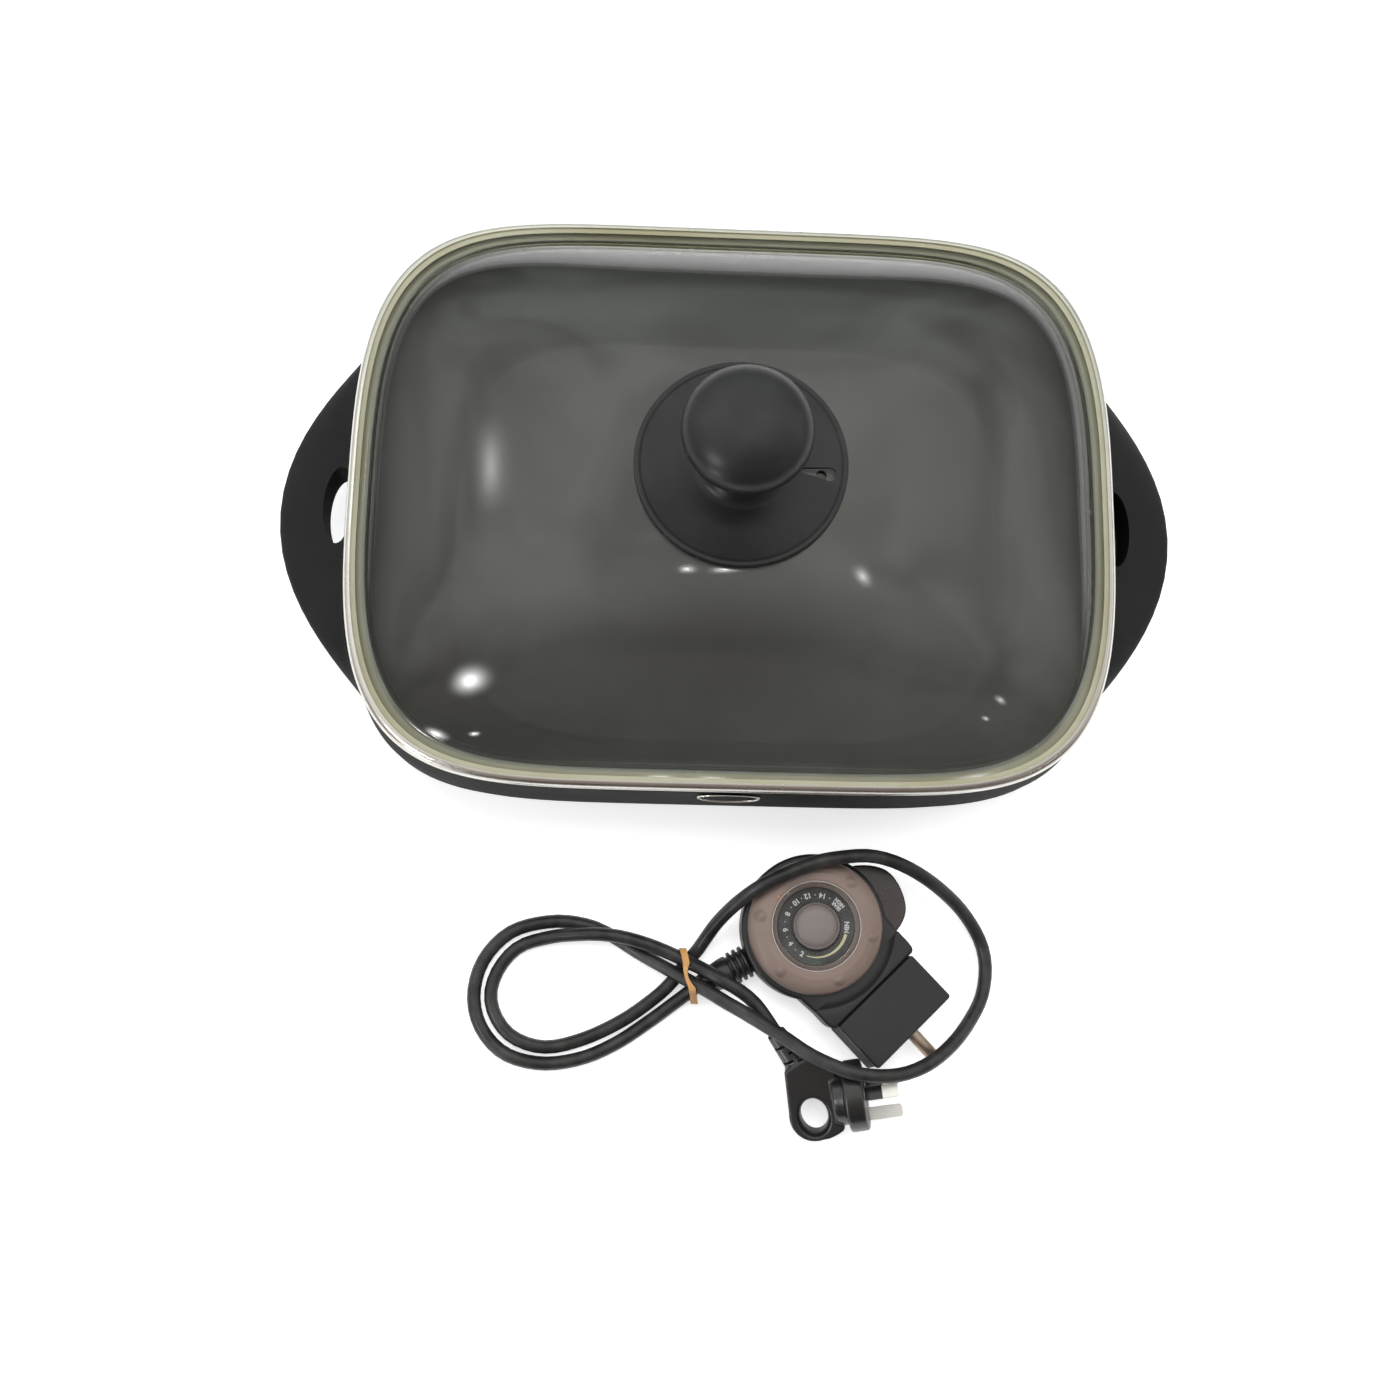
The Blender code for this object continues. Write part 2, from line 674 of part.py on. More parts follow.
def base_ring(height, bulge, wing, corner):
    outset = BASE_BULGE * bulge
    outline = rounded_outline(
        GLASS_HALF_LENGTH + outset,
        GLASS_HALF_WIDTH + outset,
        END_POWER,
        mix(SIDE_POWER, BASE_SIDE_POWER, corner),
        BASE_POINTS,
    )
    swollen = [(x + copysign(WING_REACH * wing * wing_swell(y), x), y) for x, y in outline]
    return at_height(swollen, height)


def handle_core():
    """The handles' outer form taken in by half the wall, which trims the slot sleeves inside the skin."""
    inset = BASE_WALL / 2 / BASE_BULGE
    rings = []
    for rise, bulge, wing, corner in HANDLE_RING_SHARES:
        height = mix(handle_under, base_top, rise)
        if rise < HANDLE_LIFT_SHARE:
            height += BASE_WALL / 2
        rings.append(base_ring(height, bulge - inset, wing, corner))
    rings.reverse()
    return add_cutter("handle_core", loft_mesh("handle_core", rings), skillet)


def base_shell():
    rings = [base_ring(mix(BASE_BOTTOM, handle_under, rise), *row) for rise, *row in reversed(SKIRT_RING_SHARES)]
    rings += [base_ring(mix(handle_under, base_top, rise), *row) for rise, *row in reversed(HANDLE_RING_SHARES)]
    base = add_piece("base_shell", loft_mesh("base_shell", rings, "open"), black_plastic, skillet)
    shell(base, BASE_WALL)
    core = handle_core()
    underside = handle_under - BASE_WALL
    for side, label in ((1, "right"), (-1, "left")):
        centre = (side * slot_centre, 0.0)
        rim = ellipse(centre, SLOT_HALF_DEPTH + SLOT_SLEEVE, SLOT_HALF_LENGTH + SLOT_SLEEVE, 28)
        mesh = loft_mesh("slot_sleeve_" + label, [at_height(rim, underside), at_height(rim, base_top)])
        sleeve = add_cutter("slot_sleeve_" + label, mesh, skillet)
        combine(sleeve, core, "INTERSECT")
        combine(base, sleeve, "UNION")
    for side, label in ((1, "right"), (-1, "left")):
        hole = ellipse((side * slot_centre, 0.0), SLOT_HALF_DEPTH, SLOT_HALF_LENGTH, 28)
        mesh = loft_mesh("slot_" + label, [at_height(hole, underside), at_height(hole, base_top + CUT_OVERRUN)])
        combine(base, add_cutter("slot_" + label, mesh, skillet))
    low = (boss_start, -shroud_half_width - SEAT_GAP, shroud_bottom - SEAT_GAP)
    high = (GLASS_HALF_LENGTH + BASE_BULGE + CUT_OVERRUN, shroud_half_width + SEAT_GAP, shroud_top + SEAT_GAP)
    combine(base, add_cutter("port_cut", box_mesh("port_cut", low, high), skillet))
    for label, x, y in foot_places():
        start = (x, y, 0.0)
        end = (x, y, BASE_BOTTOM + BASE_WALL + CUT_OVERRUN)
        drill = rod_mesh("base_drill_" + label, start, end, foot_hole_radius, 12)
        combine(base, add_cutter("base_drill_" + label, drill, skillet))
    return base


# Probe port: a tunnel under the right handle that takes the control's block.

BLOCK_WIDTH = 0.052
BLOCK_HEIGHT = 0.024
BLOCK_DEPTH = 0.0285
PORT_CLEARANCE = 0.001
SHROUD_WALL = 0.0022
SHROUD_BACK_WALL = 0.0025
SHROUD_CORNER = 0.003
SHROUD_REACH = 0.0385
TERMINAL_SPREAD = 0.014
TERMINAL_RADIUS = 0.0023
TERMINAL_REACH = 0.0125
ELEMENT_RADIUS = 0.004

port_half_width = BLOCK_WIDTH / 2 + PORT_CLEARANCE
port_half_height = BLOCK_HEIGHT / 2 + PORT_CLEARANCE
shroud_half_width = port_half_width + SHROUD_WALL
shroud_bottom = PROBE_HEIGHT - port_half_height - SHROUD_WALL
shroud_top = PROBE_HEIGHT + port_half_height + SHROUD_WALL
handle_under = shroud_top + HANDLE_CLEARANCE
shroud_mouth = GLASS_HALF_LENGTH + SHROUD_REACH
shroud_back_face = shroud_mouth - BLOCK_DEPTH - PORT_CLEARANCE - SHROUD_BACK_WALL


def turn_to_x(mesh, start):
    """Stands a flat plate, drawn as (across, up), square to X with its back face at start."""
    mesh.transform(Matrix(((0, 0, 1, 0), (1, 0, 0, 0), (0, 1, 0, 0), (0, 0, 0, 1))))
    mesh.transform(Matrix.Translation((start, 0.0, PROBE_HEIGHT)))
    return mesh


def probe_port():
    depth = shroud_mouth - shroud_back_face
    outer = rounded_box_outline(shroud_half_width, port_half_height + SHROUD_WALL, SHROUD_CORNER)
    solid = turn_to_x(plate_mesh("probe_port", [outer], depth), shroud_back_face + depth / 2)
    port = add_piece("probe_port", solid, black_plastic, skillet)
    inner = rounded_box_outline(port_half_width, port_half_height, SHROUD_CORNER - SHROUD_WALL / 2)
    hollow = depth - SHROUD_BACK_WALL + CUT_OVERRUN
    well = turn_to_x(plate_mesh("port_well", [inner], hollow), shroud_mouth + CUT_OVERRUN - hollow / 2)
    combine(port, add_cutter("port_well", well, skillet))
    holes = [("probe", 0.0, BORE_RADIUS)]
    holes += [("pin_" + label, y, TERMINAL_RADIUS + SEAT_GAP) for label, y in terminal_places()]
    for label, y, radius in holes:
        start = (shroud_back_face - CUT_OVERRUN, y, PROBE_HEIGHT)
        end = (shroud_back_face + SHROUD_BACK_WALL + CUT_OVERRUN, y, PROBE_HEIGHT)
        drill = rod_mesh("port_drill_" + label, start, end, radius, 16)
        combine(port, add_cutter("port_drill_" + label, drill, skillet))
    return port


def terminal_places():
    return (("front", -TERMINAL_SPREAD), ("back", TERMINAL_SPREAD))


def terminals():
    for label, y in terminal_places():
        start = (shroud_back_face - SEAT_GAP, y, PROBE_HEIGHT)
        end = (shroud_back_face + SHROUD_BACK_WALL + TERMINAL_REACH, y, PROBE_HEIGHT)
        pin = rod_mesh("terminal_" + label, start, end, TERMINAL_RADIUS, 16)
        round_edges(add_piece("terminal_" + label, pin, plated_steel, skillet), TERMINAL_RADIUS / 3, 1)


# Heating element: a tube that loops under the floor, both ends leaving through the right end.

ELEMENT_INSET_SHARES = (
    (0.95, 0.125),
    (0.84, 0.20),
    (0.76, 0.44),
    (0.62, 0.68),
    (0.35, 0.74),
    (0.0, 0.75),
    (-0.35, 0.74),
    (-0.60, 0.66),
    (-0.73, 0.42),
    (-0.76, 0.0),
)
ELEMENT_STRAIGHT = 0.027
ELEMENT_KNEE_RISE = 0.0022
ELEMENT_KNEE_REACH = 0.0075


def smooth_route(points, steps):
    """Catmull-Rom points through a route, both of whose ends stay where they are."""
    route = [Vector(point) for point in points]
    route = [route[0] * 2 - route[1]] + route + [route[-1] * 2 - route[-2]]
    found = []
    for before, start, end, after in zip(route, route[1:], route[2:], route[3:]):
        for step in range(steps):
            t = step / steps
            found.append(
                (start * 2 + (end - before) * t
                 + (before * 2 - start * 5 + end * 4 - after) * t**2
                 + (start * 3 - before - end * 3 + after) * t**3) / 2
            )
    found.append(route[-2])
    return found


def heating_element():
    low = pan_floor_top - PAN_FLOOR_THICKNESS - SEAT_GAP - ELEMENT_RADIUS
    outer = shroud_back_face - SEAT_GAP * 2
    side = TERMINAL_SPREAD
    half = [(outer, side, PROBE_HEIGHT), (outer - ELEMENT_STRAIGHT, side, PROBE_HEIGHT)]
    half.append((floor_half_length + ELEMENT_KNEE_REACH, side, low + ELEMENT_KNEE_RISE))
    for along, across in ELEMENT_INSET_SHARES:
        half.append((floor_half_length * along, floor_half_width * across, low))
    other = [(x, -y, z) for x, y, z in reversed(half[:-1])]
    route = smooth_route(half + other, 2)
    return tube("heating_element", route, ELEMENT_RADIUS, element_steel, skillet, resolution=1)


# Underside: a vented cover inside the surround's foot flange, with four feet screwed through both.

COVER_THICKNESS = 0.0018
COVER_EDGE_INSET = 0.008
COVER_VENT_HALF_LENGTH = 0.022
COVER_VENT_HALF_WIDTH = 0.0025
COVER_VENT_PITCH = 0.018
COVER_VENT_COLUMNS = 2
COVER_VENT_ROWS = 3
COVER_VENT_SPREAD = 0.065
FOOT_RADIUS = 0.009
FOOT_TOE_RADIUS = 0.0075
FOOT_PLACE_SHARES = (0.8547, 0.8194)
FOOT_SCREW_RADIUS = 0.002
FOOT_SCREW_HEAD_RADIUS = 0.0038
FOOT_SCREW_HEAD_HEIGHT = 0.0012
FOOT_HEAD_LIFT = 0.0008

foot_hole_radius = FOOT_SCREW_RADIUS + SEAT_GAP
cover_bottom = BASE_BOTTOM + BASE_WALL + SEAT_GAP
cover_top = cover_bottom + COVER_THICKNESS


def foot_places():
    places = []
    spread_x = (GLASS_HALF_LENGTH - COVER_EDGE_INSET) * FOOT_PLACE_SHARES[0]
    spread_y = (GLASS_HALF_WIDTH - COVER_EDGE_INSET) * FOOT_PLACE_SHARES[1]
    for end, x in (("right", spread_x), ("left", -spread_x)):
        for face, y in (("front", -spread_y), ("back", spread_y)):
            places.append((end + "_" + face, x, y))
    return places


def bottom_cover():
    rim = rounded_outline(
        GLASS_HALF_LENGTH - COVER_EDGE_INSET,
        GLASS_HALF_WIDTH - COVER_EDGE_INSET,
        END_POWER,
        BASE_SIDE_POWER,
    )
    outlines = [rim]
    for _, x, y in foot_places():
        outlines.append(ellipse((x, y), foot_hole_radius, foot_hole_radius, 12))
    for column in range(COVER_VENT_COLUMNS):
        x = COVER_VENT_SPREAD * (2 * column / (COVER_VENT_COLUMNS - 1) - 1)
        for row in range(COVER_VENT_ROWS):
            y = COVER_VENT_PITCH * (row - (COVER_VENT_ROWS - 1) / 2)
            slot = rounded_box_outline(COVER_VENT_HALF_LENGTH, COVER_VENT_HALF_WIDTH, COVER_VENT_HALF_WIDTH * 0.98, 2)
            outlines.append([(x + dx, y + dy) for dx, dy in slot])
    cover = add_piece("bottom_cover", plate_curve("bottom_cover", outlines, COVER_THICKNESS), black_plastic, skillet)
    cover.location.z = cover_bottom + COVER_THICKNESS / 2
    return cover


def feet():
    top = BASE_BOTTOM - SEAT_GAP
    head_top = FOOT_HEAD_LIFT + FOOT_SCREW_HEAD_HEIGHT
    head_seat = head_top + SEAT_GAP
    well = FOOT_SCREW_HEAD_RADIUS + SEAT_GAP
    foot = [
        (foot_hole_radius, top),
        (FOOT_RADIUS, top),
        (FOOT_TOE_RADIUS, 0.0),
        (well, 0.0),
        (well, head_seat),
        (foot_hole_radius, head_seat),
    ]
    screw_top = cover_top + FOOT_SCREW_RADIUS
    screw = [
        (0.0, screw_top),
        (FOOT_SCREW_RADIUS, screw_top),
        (FOOT_SCREW_RADIUS, head_top),
        (FOOT_SCREW_HEAD_RADIUS, head_top),
        (FOOT_SCREW_HEAD_RADIUS, FOOT_HEAD_LIFT),
        (0.0, FOOT_HEAD_LIFT),
    ]
    for label, x, y in foot_places():
        ring = turned("foot_" + label, foot, foot_rubber, skillet, steps=12, ring=True)
        ring.location = (x, y, 0.0)
        bolt = turned("foot_screw_" + label, screw, plated_steel, skillet, steps=8)
        bolt.location = (x, y, 0.0)


# Front badge: a bare oval plate in a bright bezel, below the lid's bead.

BADGE_HALF_WIDTH = 0.0165
BADGE_HALF_HEIGHT = 0.0068
BADGE_BEZEL = 0.0012
BADGE_DEPTH = 0.0014
BADGE_DROP = 0.0078


def badge():
    face = -(GLASS_HALF_WIDTH + BASE_BULGE + SEAT_GAP + BADGE_DEPTH / 2)
    height = base_top - BADGE_DROP
    inner_x, inner_y = BADGE_HALF_WIDTH - BADGE_BEZEL, BADGE_HALF_HEIGHT - BADGE_BEZEL
    rim = ellipse((0.0, 0.0), BADGE_HALF_WIDTH, BADGE_HALF_HEIGHT)
    gap = ellipse((0.0, 0.0), inner_x, inner_y)
    plate = ellipse((0.0, 0.0), inner_x - SEAT_GAP, inner_y - SEAT_GAP)
    bezel = add_piece("badge_bezel", plate_curve("badge_bezel", [rim, gap], BADGE_DEPTH), stainless, skillet)
    fill = add_piece("badge_plate", plate_curve("badge_plate", [plate], BADGE_DEPTH * 0.7), black_plastic, skillet)
    for piece, back in ((bezel, 0.0), (fill, BADGE_DEPTH * 0.15)):
        piece.rotation_euler.x = pi / 2
        piece.location = (0.0, face + back, height)


# Heat control, in its own frame: the dial's axis is the origin and the probe points along +X.

HOUSING_RADIUS = 0.037
HOUSING_TOP = 0.022
HOUSING_WALL = 0.0022
HOUSING_EDGE = 0.0014
CONTROL_BASE = 0.0018
BLOCK_START = 0.0437
BLOCK_BOTTOM = 0.001
BLOCK_CORNER = 0.0012
NECK_HALF_WIDTH = 0.0263
COLLAR_RIDGE_RADIUS = 0.0392
COLLAR_RIDGE_WIDTH = 0.0026
COLLAR_RIDGE_HEIGHT = 0.0032
COLLAR_RIDGE_START = -62.0
COLLAR_RIDGE_END = 24.0
HUB_HOLE_RADIUS = 0.0088
PROBE_RADIUS = 0.0033
PROBE_LENGTH = 0.020
PROBE_SEAT = 0.012
CONTACT_BORE = 0.0034
CONTACT_BORE_DEPTH = 0.021
SLEEVE_RADIUS = 0.0031
SLEEVE_LENGTH = 0.010

block_end = BLOCK_START + BLOCK_DEPTH
probe_axis = BLOCK_BOTTOM + BLOCK_HEIGHT / 2
housing_bottom = CONTROL_BASE + SEAT_GAP


def housing_outline(shrink=0.0):
    """Drum round the dial, run out along straight shoulders to the block."""
    radius = HOUSING_RADIUS - shrink
    half = NECK_HALF_WIDTH - shrink
    neck = BLOCK_START - SEAT_GAP - shrink
    tangent = 52.0
    drum = arc((0.0, 0.0), radius, tangent, 360 - tangent, 20)
    return drum + [(neck, -half), (neck, half)]


def housing():
    height = HOUSING_TOP - housing_bottom
    body = plate_mesh("control_housing", [housing_outline()], height, HOUSING_EDGE)
    housing_piece = add_piece("control_housing", body, control_black, control)
    housing_piece.location.z = housing_bottom + height / 2
    well = plate_mesh("housing_well", [housing_outline(HOUSING_WALL)], height)
    cutter = add_cutter("housing_well", well, control)
    cutter.location.z = housing_bottom + height / 2 - HOUSING_WALL
    ridge_start = arc((0.0, 0.0), COLLAR_RIDGE_RADIUS, COLLAR_RIDGE_START, COLLAR_RIDGE_END, 12)
    inner_radius = COLLAR_RIDGE_RADIUS - COLLAR_RIDGE_WIDTH
    ridge_end = arc((0.0, 0.0), inner_radius, COLLAR_RIDGE_END, COLLAR_RIDGE_START, 12)
    ridge = plate_mesh("collar_ridge", [ridge_start + ridge_end], COLLAR_RIDGE_HEIGHT * 2)
    ridge_piece = add_cutter("collar_ridge", ridge, control)
    ridge_piece.location.z = HOUSING_TOP
    combine(housing_piece, ridge_piece, "UNION")
    combine(housing_piece, cutter)
    hub = rod_mesh("hub_drill", (0.0, 0.0, 0.0), (0.0, 0.0, HOUSING_TOP + CUT_OVERRUN), HUB_HOLE_RADIUS, 24)
    combine(housing_piece, add_cutter("hub_drill", hub, control))
    combine(housing_piece, trigger_window())
    near, far = relief_ends()
    hole = rod_mesh("relief_drill", near, far, RELIEF_RADII[0] * RELIEF_NECK_SHARE + SEAT_GAP, 20)
    combine(housing_piece, add_cutter("relief_drill", hole, control))
    return housing_piece


def control_base():
    outline = housing_outline(HOUSING_WALL / 2)
    base = add_piece("control_base", plate_curve("control_base", [outline], CONTROL_BASE), control_black, control)
    base.location.z = CONTROL_BASE / 2
    return base


def contact_block():
    """Block that enters the port: bores for the pan's pins and a seat for the probe."""
    low = (BLOCK_START, -BLOCK_WIDTH / 2, BLOCK_BOTTOM)
    high = (block_end, BLOCK_WIDTH / 2, BLOCK_BOTTOM + BLOCK_HEIGHT)
    block = add_piece("contact_block", box_mesh("contact_block", low, high), control_black, control)
    round_edges(block, BLOCK_CORNER)
    for label, y in terminal_places():
        start = (block_end - CONTACT_BORE_DEPTH, y, probe_axis)
        end = (block_end + CUT_OVERRUN, y, probe_axis)
        drill = rod_mesh("contact_drill_" + label, start, end, CONTACT_BORE, 16)
        combine(block, add_cutter("contact_drill_" + label, drill, control))
    start = (block_end - PROBE_SEAT - SEAT_GAP, 0.0, probe_axis)
    end = (block_end + CUT_OVERRUN, 0.0, probe_axis)
    seat = rod_mesh("probe_seat", start, end, PROBE_RADIUS + SEAT_GAP, 20)
    return combine(block, add_cutter("probe_seat", seat, control))


def probe():
    tip = (block_end + PROBE_LENGTH, 0.0, probe_axis)
    rod = rod_mesh("sensor_probe", (block_end - PROBE_SEAT, 0.0, probe_axis), tip, PROBE_RADIUS)
    return round_edges(add_piece("sensor_probe", rod, plated_steel, control), PROBE_RADIUS * 0.4, 1)


def contact_sleeves():
    """Split brass sleeves at the bottom of the bores, which grip the pan's pins."""
    back = block_end - CONTACT_BORE_DEPTH + SEAT_GAP
    inner = TERMINAL_RADIUS + SEAT_GAP / 2
    for label, y in terminal_places():
        sleeve = [
            (inner, SLEEVE_LENGTH),
            (SLEEVE_RADIUS, SLEEVE_LENGTH),
            (SLEEVE_RADIUS, 0.0),
            (inner, 0.0),
        ]
        piece = turned("contact_sleeve_" + label, sleeve, brass, control, steps=12, ring=True)
        piece.rotation_euler.y = pi / 2
        piece.location = (back, y, probe_axis)


# Trigger: a crescent on the drum's side that is squeezed inward to free the control from the pan. A lip
# behind the window keeps it in, and its sides run along the direction of travel.

TRIGGER_MIDDLE = 69.0
TRIGGER_REACH = 0.048
TRIGGER_HALF_WIDTH = 0.0212
TRIGGER_LIP = 0.0016
TRIGGER_LIP_THICKNESS = 0.0026
TRIGGER_BOTTOM = 0.0055
TRIGGER_HEIGHT = 0.0135
TRIGGER_TRAVEL = 0.003
TRIGGER_CLEARANCE = 0.0004
TRIGGER_STEPS = 12
SPRING_RADIUS = 0.0026
SPRING_WIRE = 0.0003
SPRING_TURNS = 5
SPRING_SQUEEZED = 0.005
SPRING_POST = 0.0035

lip_radius = HOUSING_RADIUS - HOUSING_WALL - SEAT_GAP
lip_inner_radius = lip_radius - TRIGGER_LIP_THICKNESS
trigger_middle_height = TRIGGER_BOTTOM + TRIGGER_HEIGHT / 2


def across_circle(radius, y):
    return (radius**2 - y**2) ** 0.5, y


def face_the_trigger(mesh, height):
    mesh.transform(Matrix.Rotation(radians(TRIGGER_MIDDLE), 4, "Z"))
    mesh.transform(Matrix.Translation((0.0, 0.0, height)))
    return mesh


def trigger():
    half = TRIGGER_HALF_WIDTH
    base_radius = HOUSING_RADIUS - TRIGGER_CLEARANCE
    bulge = TRIGGER_REACH - base_radius
    outline = []
    for step in range(TRIGGER_STEPS + 1):
        share = 1 - 2 * step / TRIGGER_STEPS
        x, y = across_circle(base_radius, half * share)
        outline.append((x + bulge * (1 - share**4), y))
    lip_half = half + TRIGGER_LIP
    outline += [across_circle(lip_radius, -half), across_circle(lip_radius, -lip_half)]
    for step in range(TRIGGER_STEPS // 2 + 1):
        outline.append(across_circle(lip_inner_radius, lip_half * (4 * step / TRIGGER_STEPS - 1)))
    outline += [across_circle(lip_radius, lip_half), across_circle(lip_radius, half)]
    mesh = plate_mesh("trigger", [outline[::-1]], TRIGGER_HEIGHT)
    piece = add_piece("trigger", face_the_trigger(mesh, trigger_middle_height), taupe_plastic, control)
    return round_edges(piece, TRIGGER_CLEARANCE * 2)


def trigger_window():
    half_height = TRIGGER_HEIGHT / 2 + TRIGGER_CLEARANCE
    half_width = TRIGGER_HALF_WIDTH + TRIGGER_CLEARANCE
    low = (across_circle(lip_inner_radius, half_width)[0], -half_width, -half_height)
    mesh = box_mesh("trigger_window", low, (TRIGGER_REACH, half_width, half_height))
    return add_cutter("trigger_window", face_the_trigger(mesh, trigger_middle_height), control)


def trigger_spring():
    """Spring behind the trigger, at its squeezed length, and the post that it is squeezed against."""
    angle = radians(TRIGGER_MIDDLE)
    outward = Vector((cos(angle), sin(angle), 0.0))
    across = Vector((-sin(angle), cos(angle), 0.0))
    up = Vector((0.0, 0.0, 1.0))
    seat = lip_inner_radius - SEAT_GAP - SPRING_WIRE
    end = outward * seat + up * trigger_middle_height
    points = []
    steps = SPRING_TURNS * 8
    for step in range(steps + 1):
        turn = 2 * pi * step / 8
        spot = end - outward * (SPRING_SQUEEZED * step / steps)
        points.append(spot + across * (SPRING_RADIUS * cos(turn)) + up * (SPRING_RADIUS * sin(turn)))
    tube("trigger_spring", points, SPRING_WIRE, plated_steel, control, resolution=0)
    post_face = seat - SPRING_SQUEEZED - SPRING_WIRE - TRIGGER_TRAVEL - SEAT_GAP
    low = (post_face - SPRING_POST, -SPRING_POST, housing_bottom)
    high = (post_face, SPRING_POST, trigger_middle_height + SPRING_POST)
    post = box_mesh("spring_post", low, high)
    add_piece("spring_post", face_the_trigger(post, 0.0), control_black, control)


# Dial: a bumped ring with a clear lens, turning about a fixed number plate and its bare cap.

DIAL_RADIUS = 0.034
DIAL_TOP = 0.0330
DIAL_CROWN_RADIUS = 0.0265
DIAL_WELL_RADIUS = 0.0222
DIAL_WEB = 0.0022
DIAL_EDGE_HEIGHT = 0.0055
BUMP_RADIUS = 0.0036
BUMP_DISTANCE = 0.0282
BUMP_HEIGHT = 0.0012
BUMP_ANGLES = (52.0, 114.0, 171.0, 231.0, 293.0, 351.0)
PIP_ANGLE = 144.0
PIP_RADIUS = 0.0016
LENS_THICKNESS = 0.0012
PLATE_RADIUS = 0.0218
PLATE_THICKNESS = 0.002
PLATE_DROP = 0.0036
POST_RADIUS = 0.0045
CAP_RADIUS = 0.0117
CAP_CROWN = 0.0014
HUB_RADIUS = 0.0082
HUB_REACH = 0.010

dial_bottom = HOUSING_TOP + SEAT_GAP
plate_top = DIAL_TOP - PLATE_DROP
lens_bottom = plate_top + SEAT_GAP
cap_bottom = plate_top + SEAT_GAP


def dial_ring():
    edge = DIAL_TOP - DIAL_EDGE_HEIGHT
    web_top = dial_bottom + DIAL_WEB
    profile = [
        (DIAL_WELL_RADIUS, DIAL_TOP - LENS_THICKNESS / 2),
        (DIAL_WELL_RADIUS + LENS_THICKNESS, DIAL_TOP),
        (DIAL_CROWN_RADIUS, DIAL_TOP),
        (mix(DIAL_CROWN_RADIUS, DIAL_RADIUS, 0.45), mix(DIAL_TOP, edge, 0.2)),
        (mix(DIAL_CROWN_RADIUS, DIAL_RADIUS, 0.85), mix(DIAL_TOP, edge, 0.6)),
        (DIAL_RADIUS, edge),
        (DIAL_RADIUS, dial_bottom),
        (POST_RADIUS + SEAT_GAP, dial_bottom),
        (POST_RADIUS + SEAT_GAP, web_top),
        (DIAL_WELL_RADIUS, web_top),
    ]
    ring = turned("dial_ring", profile, taupe_plastic, dial, steps=32, ring=True)
    spots = [(angle, BUMP_DISTANCE, BUMP_RADIUS, BUMP_HEIGHT) for angle in BUMP_ANGLES]
    spots.append((PIP_ANGLE, DIAL_WELL_RADIUS + PIP_RADIUS, PIP_RADIUS, BUMP_HEIGHT / 2))
    for index, (angle, distance, radius, height) in enumerate(spots):
        turn = radians(angle - CONTROL_TURN)
        low = (distance * cos(turn), distance * sin(turn), dial_surface(distance) - height * 0.5)
        model = bmesh.new()
        bmesh.ops.create_uvsphere(model, u_segments=8, v_segments=6, radius=radius)
        bmesh.ops.scale(model, vec=(1.0, 1.0, height * 1.5 / radius), verts=model.verts)
        bmesh.ops.translate(model, vec=low, verts=model.verts)
        mesh = bpy.data.meshes.new("bump")
        model.to_mesh(mesh)
        model.free()
        combine(ring, add_cutter("dial_bump_" + str(index), mesh, dial), "UNION")
    return ring


def dial_surface(distance):
    """Height of the ring's top at a distance from the axis."""
    edge = DIAL_TOP - DIAL_EDGE_HEIGHT
    share = max(0.0, (distance - DIAL_CROWN_RADIUS) / (DIAL_RADIUS - DIAL_CROWN_RADIUS))
    return mix(DIAL_TOP, edge, 0.2 * min(1.0, share / 0.45))


def dial_lens():
    top = lens_bottom + LENS_THICKNESS
    outer = DIAL_WELL_RADIUS - SEAT_GAP
    inner = CAP_RADIUS + SEAT_GAP
    profile = [
        (inner, top),
        (outer, DIAL_TOP - LENS_THICKNESS / 2),
        (outer, DIAL_TOP - LENS_THICKNESS * 1.5),
        (mix(inner, outer, 0.7), lens_bottom),
        (inner, lens_bottom),
    ]
    return turned("dial_lens", profile, clear_lens, dial, steps=24, ring=True)


def dial_sleeve():
    """Sleeve that the ring turns inside the housing; its lobe presses the thermostat's blade."""
    inner = POST_RADIUS + SEAT_GAP
    profile = [
        (inner, dial_bottom - SEAT_GAP),
        (HUB_RADIUS, dial_bottom - SEAT_GAP),
        (HUB_RADIUS, dial_bottom - HUB_REACH),
        (inner, dial_bottom - HUB_REACH),
    ]
    return turned("dial_sleeve", profile, brass, dial, steps=12, ring=True)


def number_plate():
    """Fixed plate under the lens, on a post that stands on the control's base."""
    profile = [
        (0.0, plate_top),
        (PLATE_RADIUS - LENS_THICKNESS * 2, plate_top),
        (PLATE_RADIUS - LENS_THICKNESS * 2, plate_top - PLATE_THICKNESS),
        (POST_RADIUS, plate_top - PLATE_THICKNESS),
        (POST_RADIUS, housing_bottom),
        (0.0, housing_bottom),
    ]
    return turned("number_plate", profile, plate_black, control, steps=24)


def dial_cap():
    top = DIAL_TOP + CAP_CROWN
    profile = [
        (0.0, top),
        (CAP_RADIUS * 0.6, top - CAP_CROWN * 0.2),
        (CAP_RADIUS * 0.9, top - CAP_CROWN * 0.7),
        (CAP_RADIUS, DIAL_TOP - CAP_CROWN),
        (CAP_RADIUS, cap_bottom),
        (0.0, cap_bottom),
    ]
    return turned("dial_cap", profile, taupe_plastic, control, steps=24)


# Thermostat inside the housing: a bracket on the base, a bimetal blade and a neon lamp.

BRACKET_START = 0.012
BRACKET_LENGTH = 0.026
BRACKET_HALF_WIDTH = 0.009
BRACKET_HEIGHT = 0.0085
BRACKET_GAUGE = 0.0012
BLADE_LENGTH = 0.030
BLADE_HALF_WIDTH = 0.004
BLADE_GAUGE = 0.0008
LAMP_RADIUS = 0.003
LAMP_LENGTH = 0.012
LAMP_BACK = 0.024
LAMP_SIDE = 0.010


